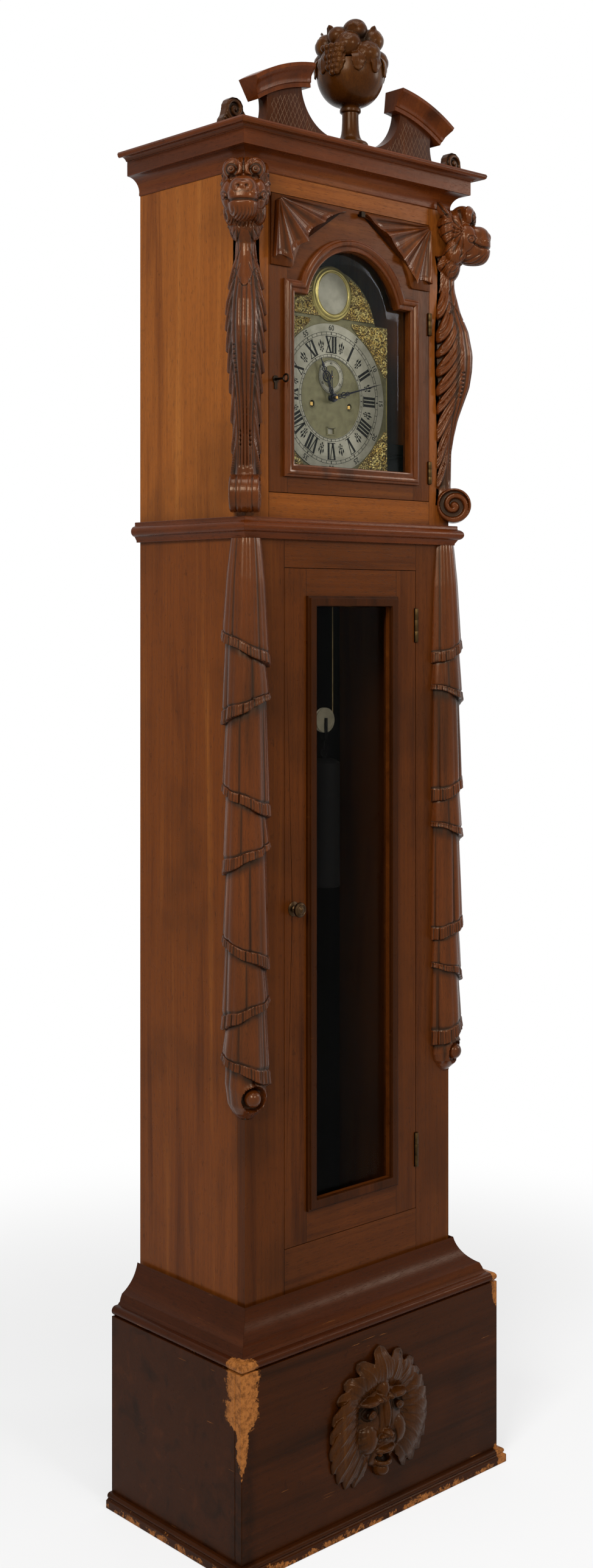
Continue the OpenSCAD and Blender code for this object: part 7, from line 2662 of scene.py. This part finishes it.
@dataclass
class Pediment(SubAssembly):
    """The swan-necked boards with their hatched panels, arched mouldings and leaf scrolls.

    Each circle is the place across and over the cornice of its middle, and its radius.
    """

    y: float = CASE.front
    top: float = CASE.top
    thick: float = 22.0
    over: tuple[float, float, float] = (72.0, -181.0, 272.0)
    inner: tuple[float, float, float] = (38.0, 97.0, 82.0)
    outer: tuple[float, float, float] = (268.0, 42.0, 72.0)

    def build(self) -> None:
        """Builds the boards, their hatching and the leaf scrolls."""
        self.keep(CORNICE_WOOD, "pediment_moulding", ease=0.5)
        boards = Piece("neck_boards", "hood", CARVED_BOARD, "carved_wood", ("pediment_board",),
                       crease=35.0)
        outline = self.outline()
        boards.cut_out(outline, self.y, self.y + self.thick, 0.8)
        boards.mirrored()
        boards.done()
        self.hatching()
        for side, name in SIDES:
            self.scroll_leaf(side, name)

    def arch(self, x: float) -> float:
        """Height of the arched moulding's underside over the cornice."""
        middle, foot, radius = self.over
        return foot + math.sqrt(max(radius ** 2 - (x - middle) ** 2, 0.0))

    def outline(self) -> list[tuple[float, float]]:
        """The right board's outline.

        Returns:
            Points across and up.
        """
        (x0, z0, r0), (x1, z1, r1) = self.inner, self.outer
        left = [(x0 + r0 * math.cos(t), z0 + r0 * math.sin(t))
                for t in np.radians(np.linspace(-74, 0, 26))]
        right = [(x1 - r1 * math.cos(t), z1 + r1 * math.sin(t))
                 for t in np.radians(np.linspace(-35.6, 30, 22))]
        left = [(x, z) for x, z in left if z < self.arch(x) - 0.2]
        right = [(x, z) for x, z in right if 0.1 < z < self.arch(x) - 0.2]
        over = [(x, self.arch(x)) for x in np.linspace(left[-1][0], right[-1][0], 16)]
        spots = [(45.0, 0.0)] + left + over + right[::-1] + [(right[0][0], 0.0)]
        return [(x, self.top + z) for x, z in spots]

    def hatching(self) -> None:
        """The panel of crossed lines scratched in each board."""
        piece = Piece("neck_hatching", "hood", SCRATCHED, "carved_wood", crease=30.0)
        for way in (-1, 1):
            for start in np.arange(-160, 420, 9.5):
                run: list[tuple[float, float]] = []
                for z in np.arange(9, 96, 1.5):
                    x = start + way * z * 0.52
                    if self.in_panel(x, z):
                        run.append((x, z))
                    elif run:
                        self.scratch(piece, run)
                        run = []
                self.scratch(piece, run)
        piece.mirrored()
        piece.done(outward=False)

    def in_panel(self, x: float, z: float) -> bool:
        """Whether a place of the board lies in its hatched panel.

        Args:
            x: how far across it is.
            z: how far over the cornice.

        Returns:
            True inside the panel.
        """
        clear = all(math.hypot(x - across, z - up) > radius + 8
                    for across, up, radius in (self.inner, self.outer))
        return clear and x > 60 and 8 < z < self.arch(x) - 9

    def scratch(self, piece: Piece, run: list[tuple[float, float]]) -> None:
        """One scratched line.

        Args:
            piece: the piece that takes it.
            run: its places across and up.
        """
        if len(run) > 1:
            (x0, z0), (x1, z1) = run[0], run[-1]
            piece.cut_out([(x0 - 0.32, self.top + z0), (x0 + 0.32, self.top + z0),
                           (x1 + 0.32, self.top + z1), (x1 - 0.32, self.top + z1)],
                          self.y - 0.1, self.y + 0.02)

    def scroll_leaf(self, side: int, name: str) -> None:
        """The scrolled leaf at one end of the cornice.

        Args:
            side: -1 for the left, 1 for the right.
            name: its side in words.
        """
        middle, eye_z, deep = CASE.half + 20.0, 24.0, 18.0
        rough = Piece("rough_scroll", "hood", CORNICE_WOOD, "carved_wood")
        outline = [(-56, 0), (-54, 4), (-44, 7), (-33, 10), (-24, 16), (-18, 25), (-17, 33),
                   (-12, 40), (-4, 43.5), (6, 43), (13, 38.5), (17, 31), (18, 23), (21, 13),
                   (26, 6), (27, 0)]
        rough.loft([[(x * (1 - inset / 40), self.y + 2 + y, max(z - inset, 0) if z else 0.0)
                     for x, z in outline]
                    for inset, y in ((2.2, 0.0), (0.4, 1.6), (0.0, 4.0), (0.0, deep))])
        data = refined(rough.mesh, 0.8, 2)
        spots, normals = points_of(data)
        x, z = spots[:, 0], spots[:, 2]
        far = np.hypot(x, z - eye_z) / 18.5
        turn = np.arctan2(z - eye_z, x) / math.tau
        wound = 0.5 + 0.5 * np.cos((far * 1.7 + turn) * math.tau)
        front = np.clip(-normals[:, 1], 0, 1)
        coil = ease(far, 1.05, 0.95) * ease(wound, 0.3, 0.75) * ease(far, 0.1, 0.25)
        pleats = (0.5 + 0.5 * np.cos((far - 1) * 18.5 / 6.0 * math.tau)) * ease(far, 0.98, 1.1)
        spots = spots.copy()
        spots[:, 1] += front * (coil * 4.2 + pleats * 2.2)
        top = (1 - front) * ease(far, 1.0, 1.2) * (0.5 + 0.5 * np.cos(x * 1.1))
        spots -= normals * (top * 0.8)[:, None]
        # Painted shade in the coil, in the pleats and low against the cornice.
        hollow = np.clip(front * (coil + pleats * 0.7) + ease(z, 3, 0) * 0.5, 0, 1)
        spots = np.stack([side * (middle - 2 + x), spots[:, 1], self.top + np.maximum(z, 0.0)],
                         axis=1)
        if side < 0:
            data.flip_normals()
        piece = Piece(f"scroll_leaf_{name}", "hood", DARK_CARVED, "carved_wood", crease=60.0)
        # All that is not in painted shade takes rub and painted highlight.
        carved_piece(data, spots, piece, {"hollow": hollow, "rub": (1 - hollow) * 0.4})


@dataclass
class Studio(SubAssembly):
    """The camera, the lamps, the white surround and the floor."""

    eye: tuple[float, float, float] = (-2.1887, -2.3351, 1.5366)
    turn: float = 42.67
    lens: float = 41.527
    shift_up: float = -0.1074

    def build(self) -> None:
        """Sets up the studio."""
        scene = bpy.context.scene
        scene.view_settings.view_transform = "Standard"
        self.camera(scene)
        self.surround(scene)
        self.floor()
        self.lamp("key", (-3.1, -1.7, 3.3), (-0.1, 0.0, 1.75), 1.3, 105.0)
        self.lamp("front", (-0.5, -3.9, 3.1), (0.0, 0.0, 1.7), 0.9, 48.0)
        self.lamp("right", (3.2, -2.4, 2.8), (0.0, 0.0, 1.6), 0.9, 30.0)
        self.lamp("top", (-0.6, -0.9, 4.6), (0.0, 0.0, 1.3), 1.2, 30.0)

    def camera(self, scene: bpy.types.Scene) -> None:
        """The camera at the photograph's place.

        Args:
            scene: the scene.
        """
        data = bpy.data.cameras.new("view")
        data.lens = self.lens
        data.shift_y = self.shift_up
        data.clip_end = 60
        seen = linked("view", data)
        seen.location = self.eye
        seen.rotation_euler = (math.pi / 2, 0, -math.radians(self.turn))
        scene.camera = seen

    def surround(self, scene: bpy.types.Scene) -> None:
        """A white surround that only the camera and reflections see in full.

        Args:
            scene: the scene.
        """
        world = bpy.data.worlds.new("surround")
        world.use_nodes = True
        scene.world = world
        tree = world.node_tree
        tree.nodes.clear()
        graph = Graph.__new__(Graph)
        graph.tree = tree
        share = graph.ray("Camera").most(graph.ray("Glossy")).most(graph.ray("Transmission"))
        soft = graph.add("ShaderNodeBackground", None, {"Color": (1, 1, 1, 1), "Strength": 0.3})
        white = graph.add("ShaderNodeBackground", None, {"Color": (1, 1, 1, 1), "Strength": 1.0})
        both = graph.add("ShaderNodeMixShader", None, {0: share, 1: soft, 2: white})
        end = tree.nodes.new("ShaderNodeOutputWorld")
        tree.links.new(both.socket, end.inputs["Surface"])

    def floor(self) -> None:
        """A plain pale floor that keeps the clock's shadow."""
        bm = bmesh.new()
        bmesh.ops.create_grid(bm, x_segments=4, y_segments=4, size=12.0)
        bmesh.ops.translate(bm, verts=list(bm.verts), vec=(0, 0, -0.0005))
        data = bpy.data.meshes.new("floor")
        bm.to_mesh(data)
        bm.free()
        graph = Graph("floor")
        cloud = graph.noise(graph.place(), 1.4, 3.0, 0.5)
        pale = graph.mix(cloud, shade(246, 246, 245), shade(250, 250, 250))
        plain = graph.add("ShaderNodeBsdfDiffuse", None, {"Color": pale})
        light = graph.add("ShaderNodeEmission", None, {"Color": (1, 1, 1, 1), "Strength": 1.0})
        x, y = graph.axis(0), graph.axis(1)
        far = (x * x + y * y).rise(0.6, 4.0)
        share = graph.ray("Camera").most(graph.ray("Glossy")) * (far * 0.35 + 0.65)
        both = graph.add("ShaderNodeMixShader", None, {0: share, 1: plain, 2: light})
        end = graph.tree.nodes.new("ShaderNodeOutputMaterial")
        graph.tree.links.new(both.socket, end.inputs["Surface"])
        data.materials.append(graph.material)
        laid = linked("floor", data)

    def lamp(self, name: str, place: Point, target: Point, size: float, power: float) -> None:
        """A soft lamp.

        Args:
            name: its name.
            place: where it stands, in metres.
            target: what it points at.
            size: side of its square in metres.
            power: its power in watts.
        """
        data = bpy.data.lights.new(name, "AREA")
        data.size = size
        data.energy = power
        lit = linked(name, data)
        lit.location = place
        lit.rotation_euler = (Vector(target) - Vector(place)).to_track_quat("-Z", "Y").to_euler()


def main() -> None:
    """Builds the clock class by class."""
    for part in (Studio(), Base(), Mask(), Trunk(), Swags(), Hood(), Brackets(), Pediment(),
                 Urn(), Dial(), Movement(), TrunkDoor(), HoodDoor()):
        log.info("building %s", type(part).__name__)
        part.build()


if __name__ == "__main__":
    main()
